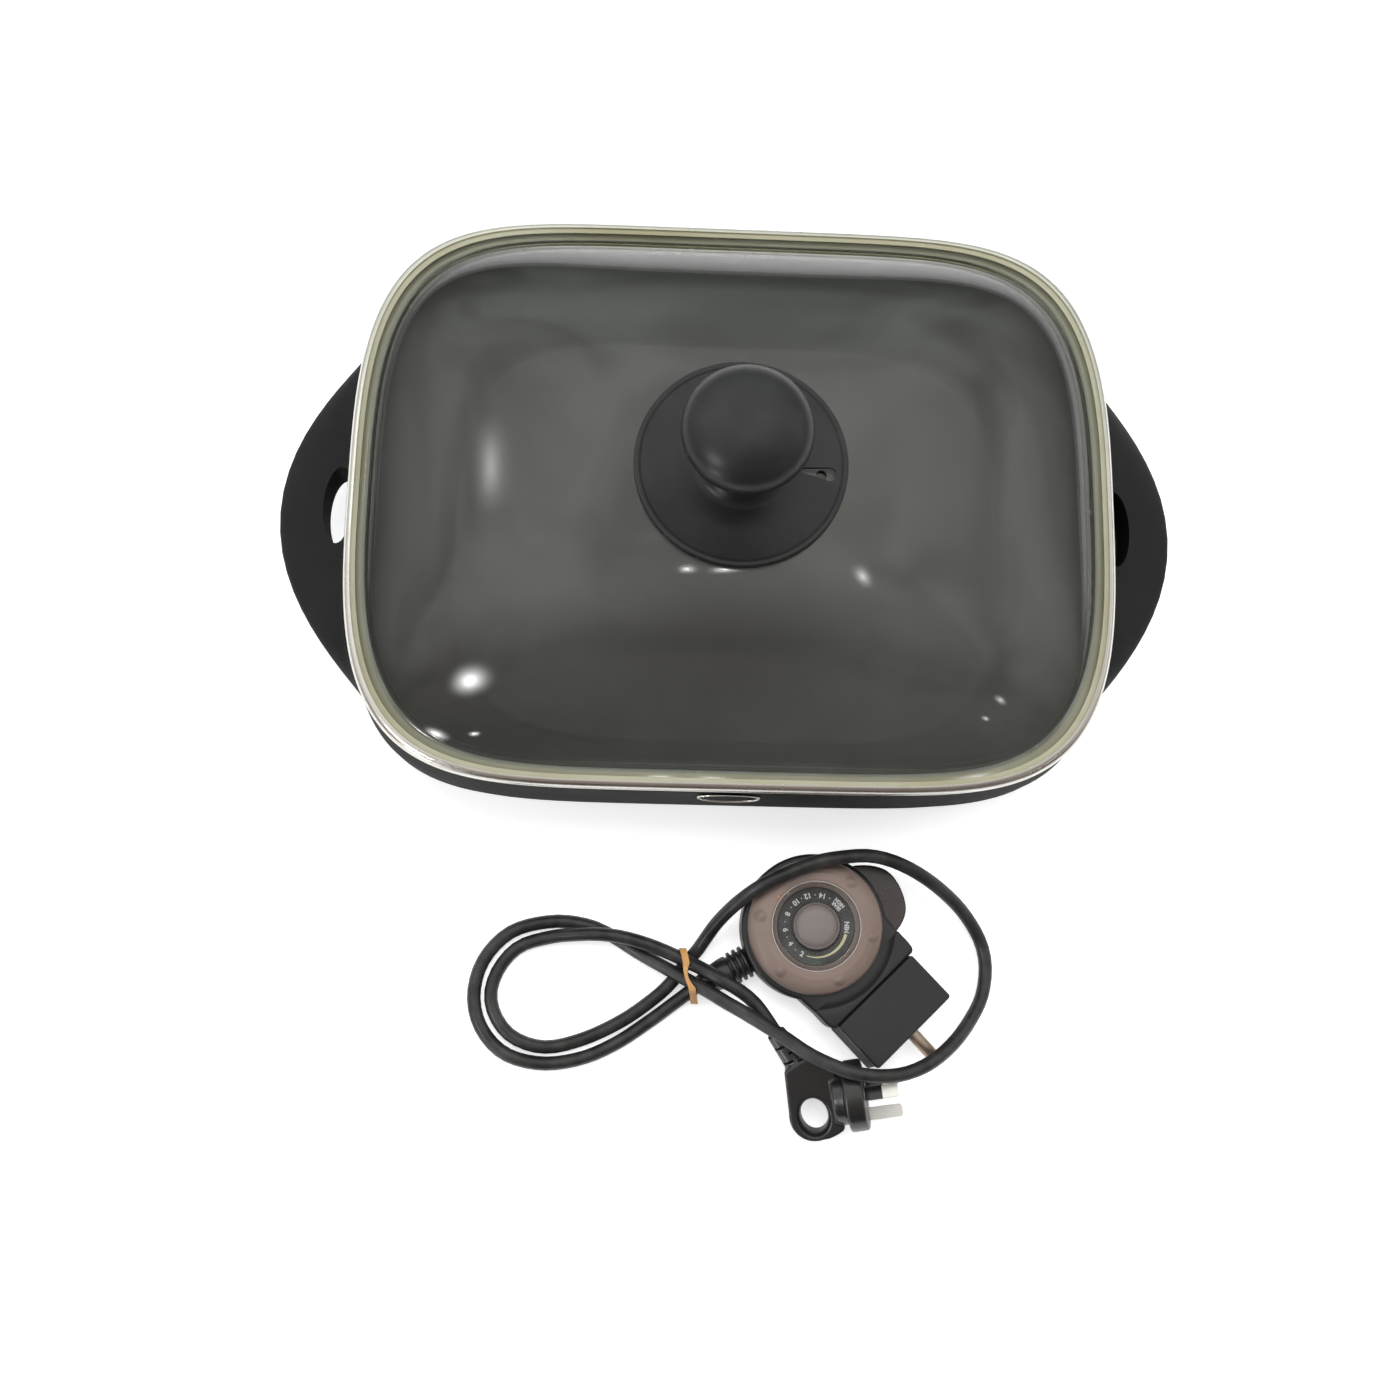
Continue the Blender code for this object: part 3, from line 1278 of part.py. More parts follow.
def thermostat():
    low = housing_bottom
    top = low + BRACKET_HEIGHT
    end = BRACKET_START + BRACKET_LENGTH
    profile = [
        (BRACKET_START, low),
        (end, low),
        (end, top),
        (end - BRACKET_GAUGE, top),
        (end - BRACKET_GAUGE, low + BRACKET_GAUGE),
        (BRACKET_START, low + BRACKET_GAUGE),
    ]
    mesh = plate_mesh("thermostat_bracket", [profile], BRACKET_HALF_WIDTH * 2)
    mesh.transform(Matrix.Rotation(pi / 2, 4, "X"))
    add_piece("thermostat_bracket", mesh, plated_steel, control)
    blade_low = top + SEAT_GAP
    start = (end - BLADE_LENGTH, -BLADE_HALF_WIDTH, blade_low)
    finish_corner = (end, BLADE_HALF_WIDTH, blade_low + BLADE_GAUGE)
    blade = box_mesh("bimetal_blade", start, finish_corner)
    add_piece("bimetal_blade", blade, brass, control)
    lamp_start = (-LAMP_BACK, LAMP_SIDE, housing_bottom + LAMP_RADIUS + SEAT_GAP)
    lamp_end = (-LAMP_BACK + LAMP_LENGTH, LAMP_SIDE, housing_bottom + LAMP_RADIUS + SEAT_GAP)
    lamp = rod_mesh("pilot_lamp", lamp_start, lamp_end, LAMP_RADIUS, 16)
    round_edges(add_piece("pilot_lamp", lamp, clear_lens, control), LAMP_RADIUS * 0.4, 1)


# Strain relief: ribs next to the housing, then a boot that tapers to the cord.

RELIEF_TURN = 208.0
RELIEF_START = 0.0355
RELIEF_AXIS = 0.0090
RELIEF_RADII = (0.0085, 0.0078, 0.0050)
RELIEF_RIB = 0.0018
RELIEF_RIB_GAP = 0.0014
RELIEF_RIBS = 3
RELIEF_BOOT_SHARES = ((0.0, 0.0), (0.25, 0.05), (0.6, 0.45), (1.0, 1.0))
RELIEF_LENGTH = 0.029
RELIEF_NECK_SHARE = 0.78
RELIEF_INSIDE = 0.003


def relief_direction():
    angle = radians(RELIEF_TURN - CONTROL_TURN)
    return Vector((cos(angle), sin(angle), 0.0))


def relief_ends():
    along = relief_direction()
    up = Vector((0.0, 0.0, RELIEF_AXIS))
    return along * (RELIEF_START - RELIEF_INSIDE) + up, along * (HOUSING_RADIUS + CUT_OVERRUN) + up


def strain_relief():
    """Turned about its own axis, then laid along the cord's exit."""
    neck = RELIEF_RADII[0] * RELIEF_NECK_SHARE
    bore_end = RELIEF_LENGTH
    profile = []
    first_rib = HOUSING_RADIUS - RELIEF_START + RELIEF_RIB_GAP / 2
    position = first_rib
    for _ in range(RELIEF_RIBS):
        profile += [(neck, position), (RELIEF_RADII[0], position)]
        position += RELIEF_RIB
        profile += [(RELIEF_RADII[0], position), (neck, position)]
        position += RELIEF_RIB_GAP
    boot = bore_end - position
    for along, narrowing in RELIEF_BOOT_SHARES:
        profile.append((mix(RELIEF_RADII[1], RELIEF_RADII[2], narrowing), position + boot * along))
    profile = [(0.0, -RELIEF_INSIDE), (neck, -RELIEF_INSIDE)] + profile + [(0.0, bore_end)]
    profile.reverse()
    relief = turned("strain_relief", profile, control_black, control, steps=14)
    along = relief_direction()
    relief.rotation_euler = along.to_track_quat("Z", "Y").to_euler()
    relief.location = along * RELIEF_START + Vector((0.0, 0.0, RELIEF_AXIS))
    return relief


# Plug: a round pin face, a waist, a flat body with a finger ring, and a neck that takes the cord from the
# side. It lies on the rim of its face and on the ring, so the pins point a little upward.

PLUG_ASIDE = 0.0262
PLUG_AHEAD = 0.0818
PLUG_HEIGHT = 0.0193
PLUG_TURN = (12.0, -12.0, 9.5)
PLUG_FACE_RADIUS = 0.0175
PLUG_FACE_THICKNESS = 0.0095
PLUG_FACE_EDGE = 0.0012
PLUG_WAIST_RADIUS = 0.0135
PLUG_WAIST = 0.003
PLUG_BODY_THICKNESS = 0.014
PLUG_BODY_EDGE = 0.003
PLUG_RING_RADIUS = 0.013
PLUG_RING_HOLE_LENGTH = 0.0098
PLUG_RING_HOLE_WIDTH = 0.0080
PLUG_RING_BACK = 0.0272
PLUG_RING_DROP = 0.0082
PLUG_NECK_RADIUS = 0.0050
PLUG_NECK_ROOT_RADIUS = 0.0066
PLUG_NECK_BACK = 0.0391
PLUG_NECK_RAISE = 0.0374
PLUG_NECK_ROOT_BACK = 0.0290
PLUG_NECK_ROOT_RAISE = 0.0160
PIN_LENGTH = 0.017
PIN_WIDTH = 0.0063
PIN_GAUGE = 0.0016
LIVE_PIN_SPREAD = 0.0079
LIVE_PIN_OFFSET = 0.0024
LIVE_PIN_LEAN = 30.0
EARTH_PIN_OFFSET = 0.0103


def plug_entry():
    """Where the cord meets the neck, in the plug's frame."""
    return Vector((-PLUG_NECK_BACK, PLUG_NECK_RAISE, 0.0))


def plug_body():
    ring = (-PLUG_RING_BACK, -PLUG_RING_DROP)
    waist_back = -PLUG_FACE_THICKNESS - PLUG_WAIST
    root = Vector((-PLUG_NECK_ROOT_BACK, PLUG_NECK_ROOT_RAISE, 0.0))
    entry = plug_entry()
    side = Vector((entry.y - root.y, root.x - entry.x, 0.0)).normalized()
    outline = [(waist_back, PLUG_WAIST_RADIUS), (waist_back, -PLUG_WAIST_RADIUS)]
    outline += arc(ring, PLUG_RING_RADIUS, -20, -190, 12)
    half_way = root.lerp(entry, 0.25)
    outline.append(tuple((half_way - side * PLUG_NECK_ROOT_RADIUS).xy))
    outline.append(tuple((half_way + side * PLUG_NECK_ROOT_RADIUS).xy))
    mesh = plate_mesh("plug_body", [outline], PLUG_BODY_THICKNESS, PLUG_BODY_EDGE)
    body = add_piece("plug_body", mesh, cord_rubber, plug)
    rim = ellipse((0.0, 0.0), PLUG_FACE_RADIUS, PLUG_FACE_RADIUS, 28)
    face = plate_mesh("plug_face", [rim], PLUG_FACE_THICKNESS, PLUG_FACE_EDGE)
    face.transform(Matrix.Rotation(pi / 2, 4, "Y"))
    face.transform(Matrix.Translation((-PLUG_FACE_THICKNESS / 2, 0.0, 0.0)))
    combine(body, add_cutter("plug_face", face, plug), "UNION")
    start = (waist_back - PLUG_WAIST, 0.0, 0.0)
    waist = rod_mesh("plug_waist", start, (-PLUG_FACE_THICKNESS / 2, 0.0, 0.0), PLUG_WAIST_RADIUS, 20)
    combine(body, add_cutter("plug_waist", waist, plug), "UNION")
    neck = neck_mesh("plug_neck", root, entry)
    combine(body, add_cutter("plug_neck", neck, plug), "UNION")
    opening = ellipse(ring, PLUG_RING_HOLE_WIDTH, PLUG_RING_HOLE_LENGTH, 20)
    hole = plate_mesh("plug_ring_hole", [opening], PLUG_BODY_THICKNESS * 2)
    return combine(body, add_cutter("plug_ring_hole", hole, plug))


def neck_mesh(name, root, entry):
    model = bmesh.new()
    bmesh.ops.create_cone(
        model,
        cap_ends=True,
        segments=16,
        radius1=PLUG_NECK_ROOT_RADIUS,
        radius2=PLUG_NECK_RADIUS,
        depth=(entry - root).length,
    )
    turn = (entry - root).to_track_quat("Z", "Y").to_matrix().to_4x4()
    bmesh.ops.transform(model, matrix=Matrix.Translation((root + entry) / 2) @ turn, verts=model.verts)
    mesh = bpy.data.meshes.new(name)
    model.to_mesh(mesh)
    model.free()
    return mesh


def plug_pins():
    places = (
        ("live", LIVE_PIN_OFFSET, LIVE_PIN_SPREAD, -LIVE_PIN_LEAN),
        ("neutral", LIVE_PIN_OFFSET, -LIVE_PIN_SPREAD, LIVE_PIN_LEAN),
        ("earth", -EARTH_PIN_OFFSET, 0.0, 0.0),
    )
    for label, y, z, lean in places:
        low = (SEAT_GAP, -PIN_WIDTH / 2, -PIN_GAUGE / 2)
        high = (PIN_LENGTH, PIN_WIDTH / 2, PIN_GAUGE / 2)
        blade = box_mesh("plug_pin_" + label, low, high)
        blade.transform(Matrix.Rotation(radians(lean), 4, "X"))
        blade.transform(Matrix.Translation((0.0, y, z)))
        round_edges(add_piece("plug_pin_" + label, blade, brass, plug), PIN_GAUGE / 4, 1)


# Cord: 7 mm across, folded twice round and held by a rubber band where its four passes cross. Each row of
# the route is metres from the route's own origin, which keeps its place beside the control: to the right,
# to the back, and up.

CORD_RADIUS = 0.0035
CORD_STEP = 0.0148
CORD_END_GAP = 0.0014
CORD_FINE_STEPS = 24
ROUTE_LEFT = 0.0478
ROUTE_BACK = 0.2036
CORD_ROUTE = (
    (-0.0140, -0.2370, 0.0066),
    (-0.0240, -0.2446, 0.0045),
    (-0.0345, -0.2525, 0.0037),
    (-0.0512, -0.2637, 0.0037),
    (-0.0690, -0.2715, 0.0037),
    (-0.0890, -0.2743, 0.0037),
    (-0.1080, -0.2695, 0.0037),
    (-0.1205, -0.2565, 0.0037),
    (-0.1246, -0.2400, 0.0037),
    (-0.1200, -0.2225, 0.0037),
    (-0.1065, -0.2085, 0.0037),
    (-0.0860, -0.2030, 0.0037),
    (-0.0680, -0.2045, 0.0037),
    (-0.0545, -0.2100, 0.0037),
    (-0.0420, -0.2175, 0.0055),
    (-0.0300, -0.2240, 0.0095),
    (-0.0142, -0.2322, 0.0154),
    (-0.0064, -0.2362, 0.0199),
    (0.0032, -0.2418, 0.0214),
    (0.0131, -0.2471, 0.0234),
    (0.0310, -0.2575, 0.0292),
    (0.0450, -0.2664, 0.0333),
    (0.0609, -0.2730, 0.0370),
    (0.0740, -0.2755, 0.0368),
    (0.0891, -0.2750, 0.0335),
    (0.1040, -0.2700, 0.0285),
    (0.1185, -0.2600, 0.0205),
    (0.1300, -0.2475, 0.0120),
    (0.1372, -0.2355, 0.0060),
    (0.1395, -0.2210, 0.0040),
    (0.1365, -0.2080, 0.0050),
    (0.1270, -0.1945, 0.0105),
    (0.1150, -0.1845, 0.0185),
    (0.1015, -0.1765, 0.0268),
    (0.0876, -0.1708, 0.0330),
    (0.0743, -0.1683, 0.0366),
    (0.0613, -0.1693, 0.0392),
    (0.0487, -0.1716, 0.0396),
    (0.0386, -0.1753, 0.0396),
    (0.0287, -0.1797, 0.0391),
    (0.0190, -0.1847, 0.0364),
    (0.0105, -0.1907, 0.0304),
    (0.0035, -0.1970, 0.0226),
    (-0.0022, -0.2035, 0.0145),
    (-0.0065, -0.2098, 0.0100),
    (-0.0112, -0.2168, 0.0066),
    (-0.0172, -0.2238, 0.0051),
    (-0.0235, -0.2325, 0.0041),
    (-0.0325, -0.2410, 0.0037),
    (-0.0485, -0.2524, 0.0037),
    (-0.0680, -0.2618, 0.0037),
    (-0.0870, -0.2662, 0.0037),
    (-0.1030, -0.2620, 0.0037),
    (-0.1125, -0.2523, 0.0037),
    (-0.1160, -0.2400, 0.0037),
    (-0.1120, -0.2268, 0.0037),
    (-0.1020, -0.2160, 0.0040),
    (-0.0860, -0.2110, 0.0060),
    (-0.0720, -0.2095, 0.0096),
    (-0.0600, -0.2093, 0.0120),
    (-0.0480, -0.2108, 0.0128),
    (-0.0345, -0.2145, 0.0128),
    (-0.0225, -0.2192, 0.0130),
    (-0.0146, -0.2228, 0.0136),
    (-0.0070, -0.2264, 0.0180),
    (0.0010, -0.2309, 0.0212),
    (0.0100, -0.2358, 0.0204),
    (0.0190, -0.2430, 0.0192),
)
BAND_FROM_DIAL = -0.0623
BAND_CLEARANCE = 0.0005
BAND_THICKNESS = 0.0011
BAND_WIDTH = 0.0045
BAND_STEPS = 28
BAND_FINE_STEPS = 144

route_place = Vector((CONTROL_RIGHT - ROUTE_LEFT, control_front + ROUTE_BACK, 0.0))
band_middle = CONTROL_RIGHT + BAND_FROM_DIAL


def even_points(route, spacing):
    """Points at even spacing along a smooth curve through the route."""
    fine = smooth_route(route, CORD_FINE_STEPS)
    total = sum((second - first).length for first, second in zip(fine, fine[1:]))
    count = round(total / spacing)
    found = [fine[0]]
    walked = 0.0
    for first, second in zip(fine, fine[1:]):
        step = (second - first).length
        while len(found) < count and walked + step >= total * len(found) / count:
            share = (total * len(found) / count - walked) / step
            found.append(first.lerp(second, share))
        walked += step
    found.append(fine[-1])
    return found


def straight_samples(points, share_count):
    """Points along the straight stretches between the tube's points."""
    found = []
    for first, second in zip(points, points[1:]):
        found += [first.lerp(second, step / share_count) for step in range(share_count)]
    return found + [points[-1]]


def least_own_gap(points):
    """Closest approach of the cord's surface to itself, leaving out the stretch next to each point."""
    fine = straight_samples(points, 6)
    walked = [0.0]
    for first, second in zip(fine, fine[1:]):
        walked.append(walked[-1] + (second - first).length)
    least = (walked[-1], 0)
    for i, first in enumerate(fine):
        for j in range(i + 1, len(fine)):
            if walked[j] - walked[i] > 12 * CORD_RADIUS:
                least = min(least, ((first - fine[j]).length - 2 * CORD_RADIUS, i))
    return least[0], fine[least[1]], walked[-1]


def cord_points():
    """From the strain relief's mouth to the plug's neck, in world metres."""
    along = relief_direction()
    mouth = along * (RELIEF_START + RELIEF_LENGTH + CORD_END_GAP) + Vector((0.0, 0.0, RELIEF_AXIS))
    start = control.matrix_world @ mouth
    outward = control.matrix_world.to_3x3() @ along
    entry = plug_entry()
    root = Vector((-PLUG_NECK_ROOT_BACK, PLUG_NECK_ROOT_RAISE, 0.0))
    back = (entry - root).normalized()
    end = plug.matrix_world @ (entry + back * CORD_END_GAP)
    route = [start, start + outward * CORD_RADIUS] + [Vector(point) + route_place for point in CORD_ROUTE] + [end]
    points = even_points(route, CORD_STEP)
    gap, where, length = least_own_gap(points)
    print("cord length %.3f m, least gap to itself %.2f mm at" % (length, gap * 1000), tuple(where - route_place))
    return points


def rubber_band(points):
    """Flat band in the plane square to X, round every part of the cord that reaches into its width."""
    spots = []
    for point in straight_samples(points, CORD_FINE_STEPS):
        beyond = max(0.0, abs(point.x - band_middle) - BAND_WIDTH / 2)
        if beyond < CORD_RADIUS:
            spots.append((Vector((point.y, point.z)), (CORD_RADIUS**2 - beyond**2) ** 0.5))
    middle = sum((spot for spot, _ in spots), Vector((0.0, 0.0))) / len(spots)

    def reach(angle, away):
        """Distance from the middle to a loop held this far off the cord's surface."""
        distances = []
        for step in range(BAND_FINE_STEPS):
            facing = 2 * pi * step / BAND_FINE_STEPS
            lean = cos(facing - angle)
            if lean > 0.2:
                normal = Vector((cos(facing), sin(facing)))
                support = max((spot - middle).dot(normal) + radius for spot, radius in spots)
                distances.append((support + away) / lean)
        return min(distances)

    rings = []
    for step in range(BAND_STEPS):
        angle = 2 * pi * step / BAND_STEPS
        ring = []
        outer = BAND_CLEARANCE + BAND_THICKNESS
        for side, away in ((-1, BAND_CLEARANCE), (1, BAND_CLEARANCE), (1, outer), (-1, outer)):
            distance = reach(angle, away)
            y, z = middle.x + distance * cos(angle), middle.y + distance * sin(angle)
            ring.append(Vector((band_middle + side * BAND_WIDTH / 2, y, z)))
        rings.append(ring)
    return add_piece("rubber_band", loft_mesh("rubber_band", rings, "joined"), band_rubber, None)


lid = carrier("lid_carrier", skillet)
knob_carrier = carrier("knob_carrier", lid)
dial = carrier("dial_carrier", control)
plug_place = (CONTROL_RIGHT + PLUG_ASIDE, control_front - PLUG_AHEAD, PLUG_HEIGHT)
plug = carrier("plug_carrier", None, plug_place, PLUG_TURN)

lid_rim()
rim_seal()
lid_glass()
knob_skirt()
vent_shutter()
knob()
knob_fixings()
pan()
base_shell()
probe_port()
terminals()
heating_element()
bottom_cover()
feet()
badge()
housing()
control_base()
contact_block()
probe()
contact_sleeves()
trigger()
trigger_spring()
dial_ring()
dial_lens()
dial_sleeve()
number_plate()
dial_cap()
thermostat()
strain_relief()
plug_body()
plug_pins()
bpy.context.view_layer.update()
passes = cord_points()
tube("cord", passes, CORD_RADIUS, cord_rubber, None)
rubber_band(passes)
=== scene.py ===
# %% [markdown]
# # Electric skillet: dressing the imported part
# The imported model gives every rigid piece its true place. This lesson loads it as a fixed frame, lays the
# cord, builds smooth outer forms where a few flat facets would show, and gives each surface a finish that
# is made from nodes. Everything is in metres, with the table at Z = 0 and the front towards -Y.

import json
from math import atan2, cos, pi, radians, sin

import bmesh
import bpy
from mathutils import Matrix, Vector


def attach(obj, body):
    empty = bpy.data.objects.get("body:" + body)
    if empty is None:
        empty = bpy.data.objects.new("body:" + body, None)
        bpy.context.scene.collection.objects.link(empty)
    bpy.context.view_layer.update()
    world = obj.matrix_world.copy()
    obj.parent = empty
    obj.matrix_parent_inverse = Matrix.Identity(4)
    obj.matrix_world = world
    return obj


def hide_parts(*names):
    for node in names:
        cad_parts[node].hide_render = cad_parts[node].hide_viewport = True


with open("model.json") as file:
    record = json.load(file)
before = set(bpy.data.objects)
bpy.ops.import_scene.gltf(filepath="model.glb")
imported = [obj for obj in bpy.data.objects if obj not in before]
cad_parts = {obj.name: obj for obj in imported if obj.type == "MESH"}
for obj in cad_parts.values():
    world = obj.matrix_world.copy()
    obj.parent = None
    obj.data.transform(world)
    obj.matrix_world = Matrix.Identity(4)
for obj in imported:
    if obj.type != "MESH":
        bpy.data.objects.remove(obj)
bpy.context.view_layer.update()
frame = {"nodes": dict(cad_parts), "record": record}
nodes = frame["nodes"]
print("pieces in the frame:", len(nodes))

# %% [markdown]
# The camera stands almost overhead, a little in front of the skillet, as a person at a table would look
# down. It comes first, because the cord has to lie inside its view.

# %% Camera
SKILLET_BACK = 0.06426
CAMERA_PLACE = (-0.0393, SKILLET_BACK - 0.2290, 0.7393)
CAMERA_TURN = (11.087, -2.356, 1.091)
CAMERA_LENS = 36.0

camera_data = bpy.data.cameras.new("table_camera")
camera_data.sensor_width = 36.0
camera_data.lens = CAMERA_LENS
camera = bpy.data.objects.new("table_camera", camera_data)
camera.location = CAMERA_PLACE
camera.rotation_euler = [radians(angle) for angle in CAMERA_TURN]
bpy.context.scene.collection.objects.link(camera)
bpy.context.scene.camera = camera
print("camera height:", round(camera.location.z, 3), "m")

# %% [markdown]
# Small helpers come next. Blender's operators act on whatever is selected, so each step starts by
# deselecting everything. A finished piece keeps its place in its mesh and its object at the origin.

# %% Helpers for objects
def deselect():
    if bpy.context.mode != "OBJECT":
        bpy.ops.object.mode_set(mode="OBJECT")
    bpy.ops.object.select_all(action="DESELECT")


def choose(piece):
    deselect()
    piece.select_set(True)
    bpy.context.view_layer.objects.active = piece
    return piece


def settle(piece):
    """Puts the object's place into its mesh, so that the object itself sits at the origin."""
    choose(piece)
    bpy.ops.object.transform_apply(location=True, rotation=True, scale=True)
    return piece


def smooth(piece, angle=35.0):
    choose(piece)
    bpy.ops.object.shade_smooth_by_angle(angle=radians(angle))
    return piece


def add_modifier(piece, name, kind, **values):
    modifier = piece.modifiers.new(name, kind)
    for key, value in values.items():
        setattr(modifier, key, value)
    return modifier


def apply_modifiers(piece):
    choose(piece)
    for modifier in list(piece.modifiers):
        bpy.ops.object.modifier_apply(modifier=modifier.name)
    return piece


def merge(piece, threshold, outward=True):
    """Joins points that lie together. Then faces are turned outwards, or else flat neighbours are joined."""
    choose(piece)
    bpy.ops.object.mode_set(mode="EDIT")
    bpy.ops.mesh.select_all(action="SELECT")
    bpy.ops.mesh.remove_doubles(threshold=threshold)
    if outward:
        bpy.ops.mesh.normals_make_consistent(inside=False)
    else:
        bpy.ops.mesh.dissolve_limited(angle_limit=radians(0.5))
    bpy.ops.object.mode_set(mode="OBJECT")
    return piece


def give(piece, material):
    piece.data.materials.clear()
    piece.data.materials.append(material)
    return piece


def dress(piece, body, slot, *replaced):
    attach(piece, body)
    if replaced:
        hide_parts(*replaced)
    return piece


# %% [markdown]
# Effects that several finishes share are node groups. The first is fine moulded grain: a small noise that
# lifts the surface by hundredths of a millimetre and varies its roughness, as spark-eroded moulds do. The
# second is soft mottling, for dust and handling marks.

# %% Helper for node groups
def new_group(name, inputs, outputs):
    group = bpy.data.node_groups.new(name, "ShaderNodeTree")
    for label, kind, default in inputs:
        socket = group.interface.new_socket(label, in_out="INPUT", socket_type=kind)
        socket.default_value = default
    for label, kind in outputs:
        group.interface.new_socket(label, in_out="OUTPUT", socket_type=kind)
    start = group.nodes.new("NodeGroupInput")
    end = group.nodes.new("NodeGroupOutput")
    return group, start, end


def feed(tree, node, sockets):
    """Sets a node's inputs. Each value is a plain one, or another node's output, which is then linked."""
    for key, value in sockets.items():
        if isinstance(value, bpy.types.NodeSocket):
            tree.links.new(value, node.inputs[key])
        else:
            node.inputs[key].default_value = value


def place_node(tree, kind, sockets=None, **values):
    node = tree.nodes.new(kind)
    for key, value in values.items():
        setattr(node, key, value)
    feed(tree, node, sockets or {})
    return node


# %% Moulded grain
def make_grain():
    inputs = [("Scale", "NodeSocketFloat", 900.0), ("Low", "NodeSocketFloat", 0.4), ("High", "NodeSocketFloat", 0.5)]
    outputs = [("Height", "NodeSocketFloat"), ("Roughness", "NodeSocketFloat")]
    group, start, end = new_group("moulded_grain", inputs, outputs)
    spot = place_node(group, "ShaderNodeTexCoord").outputs["Object"]
    noise = place_node(
        group, "ShaderNodeTexNoise", {"Detail": 3.0, "Vector": spot, "Scale": start.outputs["Scale"]}
    )
    patches = place_node(group, "ShaderNodeTexNoise", {"Scale": 14.0, "Detail": 4.0, "Vector": spot})
    spread = place_node(group, "ShaderNodeMapRange", {
        "From Min": 0.3, "From Max": 0.7, "Value": patches.outputs["Fac"],
        "To Min": start.outputs["Low"], "To Max": start.outputs["High"],
    })
    feed(group, end, {"Height": noise.outputs["Fac"], "Roughness": spread.outputs["Result"]})
    return group


grain_group = make_grain()
print("group sockets:", [item.name for item in grain_group.interface.items_tree])

# %% Mottled colour
def make_mottle():
    inputs = [
        ("Colour", "NodeSocketColor", (0.1, 0.1, 0.1, 1.0)),
        ("Second Colour", "NodeSocketColor", (0.2, 0.2, 0.2, 1.0)),
        ("Scale", "NodeSocketFloat", 20.0),
        ("Amount", "NodeSocketFloat", 0.5),
    ]
    group, start, end = new_group("mottle", inputs, [("Colour", "NodeSocketColor")])
    spot = place_node(group, "ShaderNodeTexCoord").outputs["Object"]
    noise = place_node(group, "ShaderNodeTexNoise", {
        "Detail": 6.0, "Roughness": 0.6, "Vector": spot, "Scale": start.outputs["Scale"],
    })
    spread = place_node(group, "ShaderNodeMapRange", {
        "From Min": 0.42, "From Max": 0.68, "Value": noise.outputs["Fac"], "To Max": start.outputs["Amount"],
    })
    blend = place_node(group, "ShaderNodeMix", data_type="RGBA")
    feed(group, blend, {
        0: spread.outputs["Result"], 6: start.outputs["Colour"], 7: start.outputs["Second Colour"],
    })
    feed(group, end, {"Colour": blend.outputs[2]})
    return group


mottle_group = make_mottle()
print("groups made:", len(bpy.data.node_groups))

# %% [markdown]
# One function then builds each finish: a Principled shader whose colour is mottled, whose roughness varies
# and whose surface has grain. Each finish passes its own values, so the plastics, metals and rubbers differ
# in scale and depth and not only in colour.

# %% A finish from its values
GRAIN_DEPTH = 0.00002


def finish(name, colour, second, rough, scale=900.0, mottle=20.0, amount=0.5, depth=1.0, metallic=0.0, gloss=0.5):
    made = bpy.data.materials.new(name)
    made.use_nodes = True
    tree = made.node_tree
    shader = tree.nodes["Principled BSDF"]
    grain = place_node(tree, "ShaderNodeGroup", node_tree=grain_group)
    feed(tree, grain, {"Scale": scale, "Low": rough[0], "High": rough[1]})
    tint = place_node(tree, "ShaderNodeGroup", node_tree=mottle_group)
    feed(tree, tint, {"Colour": (*colour, 1.0), "Second Colour": (*second, 1.0), "Scale": mottle, "Amount": amount})
    bump = place_node(
        tree, "ShaderNodeBump", {"Distance": GRAIN_DEPTH * depth, "Height": grain.outputs["Height"]}
    )
    feed(tree, shader, {
        "Metallic": metallic, "Specular IOR Level": gloss, "Roughness": grain.outputs["Roughness"],
        "Base Color": tint.outputs["Colour"], "Normal": bump.outputs["Normal"],
    })
    return made


moulding = finish("black_moulding", (0.014, 0.014, 0.015), (0.022, 0.021, 0.021), (0.54, 0.66), gloss=0.12)
control_moulding = finish(
    "control_moulding", (0.009, 0.009, 0.010), (0.016, 0.016, 0.016), (0.24, 0.34), gloss=0.6
)
knob_moulding = finish(
    "knob_moulding", (0.012, 0.012, 0.013), (0.021, 0.021, 0.022), (0.30, 0.42), mottle=60.0, gloss=0.5
)
block_finish = finish(
    "block_moulding", (0.020, 0.020, 0.021), (0.030, 0.029, 0.030), (0.30, 0.40), mottle=30.0, gloss=0.4
)
trigger_finish = finish(
    "trigger_moulding", (0.024, 0.017, 0.016), (0.040, 0.026, 0.024), (0.18, 0.26), mottle=50.0, gloss=0.7
)
taupe = finish(
    "taupe_moulding", (0.190, 0.138, 0.116), (0.235, 0.178, 0.152), (0.30, 0.42), scale=700.0, gloss=0.4
)
cap_finish = finish(
    "cap_taupe", (0.165, 0.140, 0.132), (0.20, 0.172, 0.162), (0.30, 0.40), scale=700.0, gloss=0.4
)
plate_finish = finish(
    "number_plate_black", (0.018, 0.020, 0.020), (0.028, 0.030, 0.030), (0.3, 0.36), depth=0.3, gloss=0.3
)
cord_finish = finish(
    "cord_rubber", (0.012, 0.012, 0.012), (0.045, 0.044, 0.043), (0.30, 0.42), scale=500.0, mottle=90.0,
    amount=0.7, gloss=0.6
)
plug_finish = finish(
    "plug_rubber", (0.011, 0.011, 0.011), (0.018, 0.018, 0.018), (0.22, 0.32), mottle=40.0, gloss=0.9
)
band_finish = finish("band_rubber", (0.52, 0.27, 0.095), (0.62, 0.38, 0.18), (0.5, 0.6), mottle=200.0, gloss=0.3)
foot_finish = finish("foot_rubber", (0.02, 0.02, 0.02), (0.03, 0.03, 0.03), (0.7, 0.8), gloss=0.3)
seal_finish = finish(
    "seal_silicone", (0.35, 0.34, 0.24), (0.26, 0.245, 0.14), (0.4, 0.55), mottle=9.0, amount=0.9
)
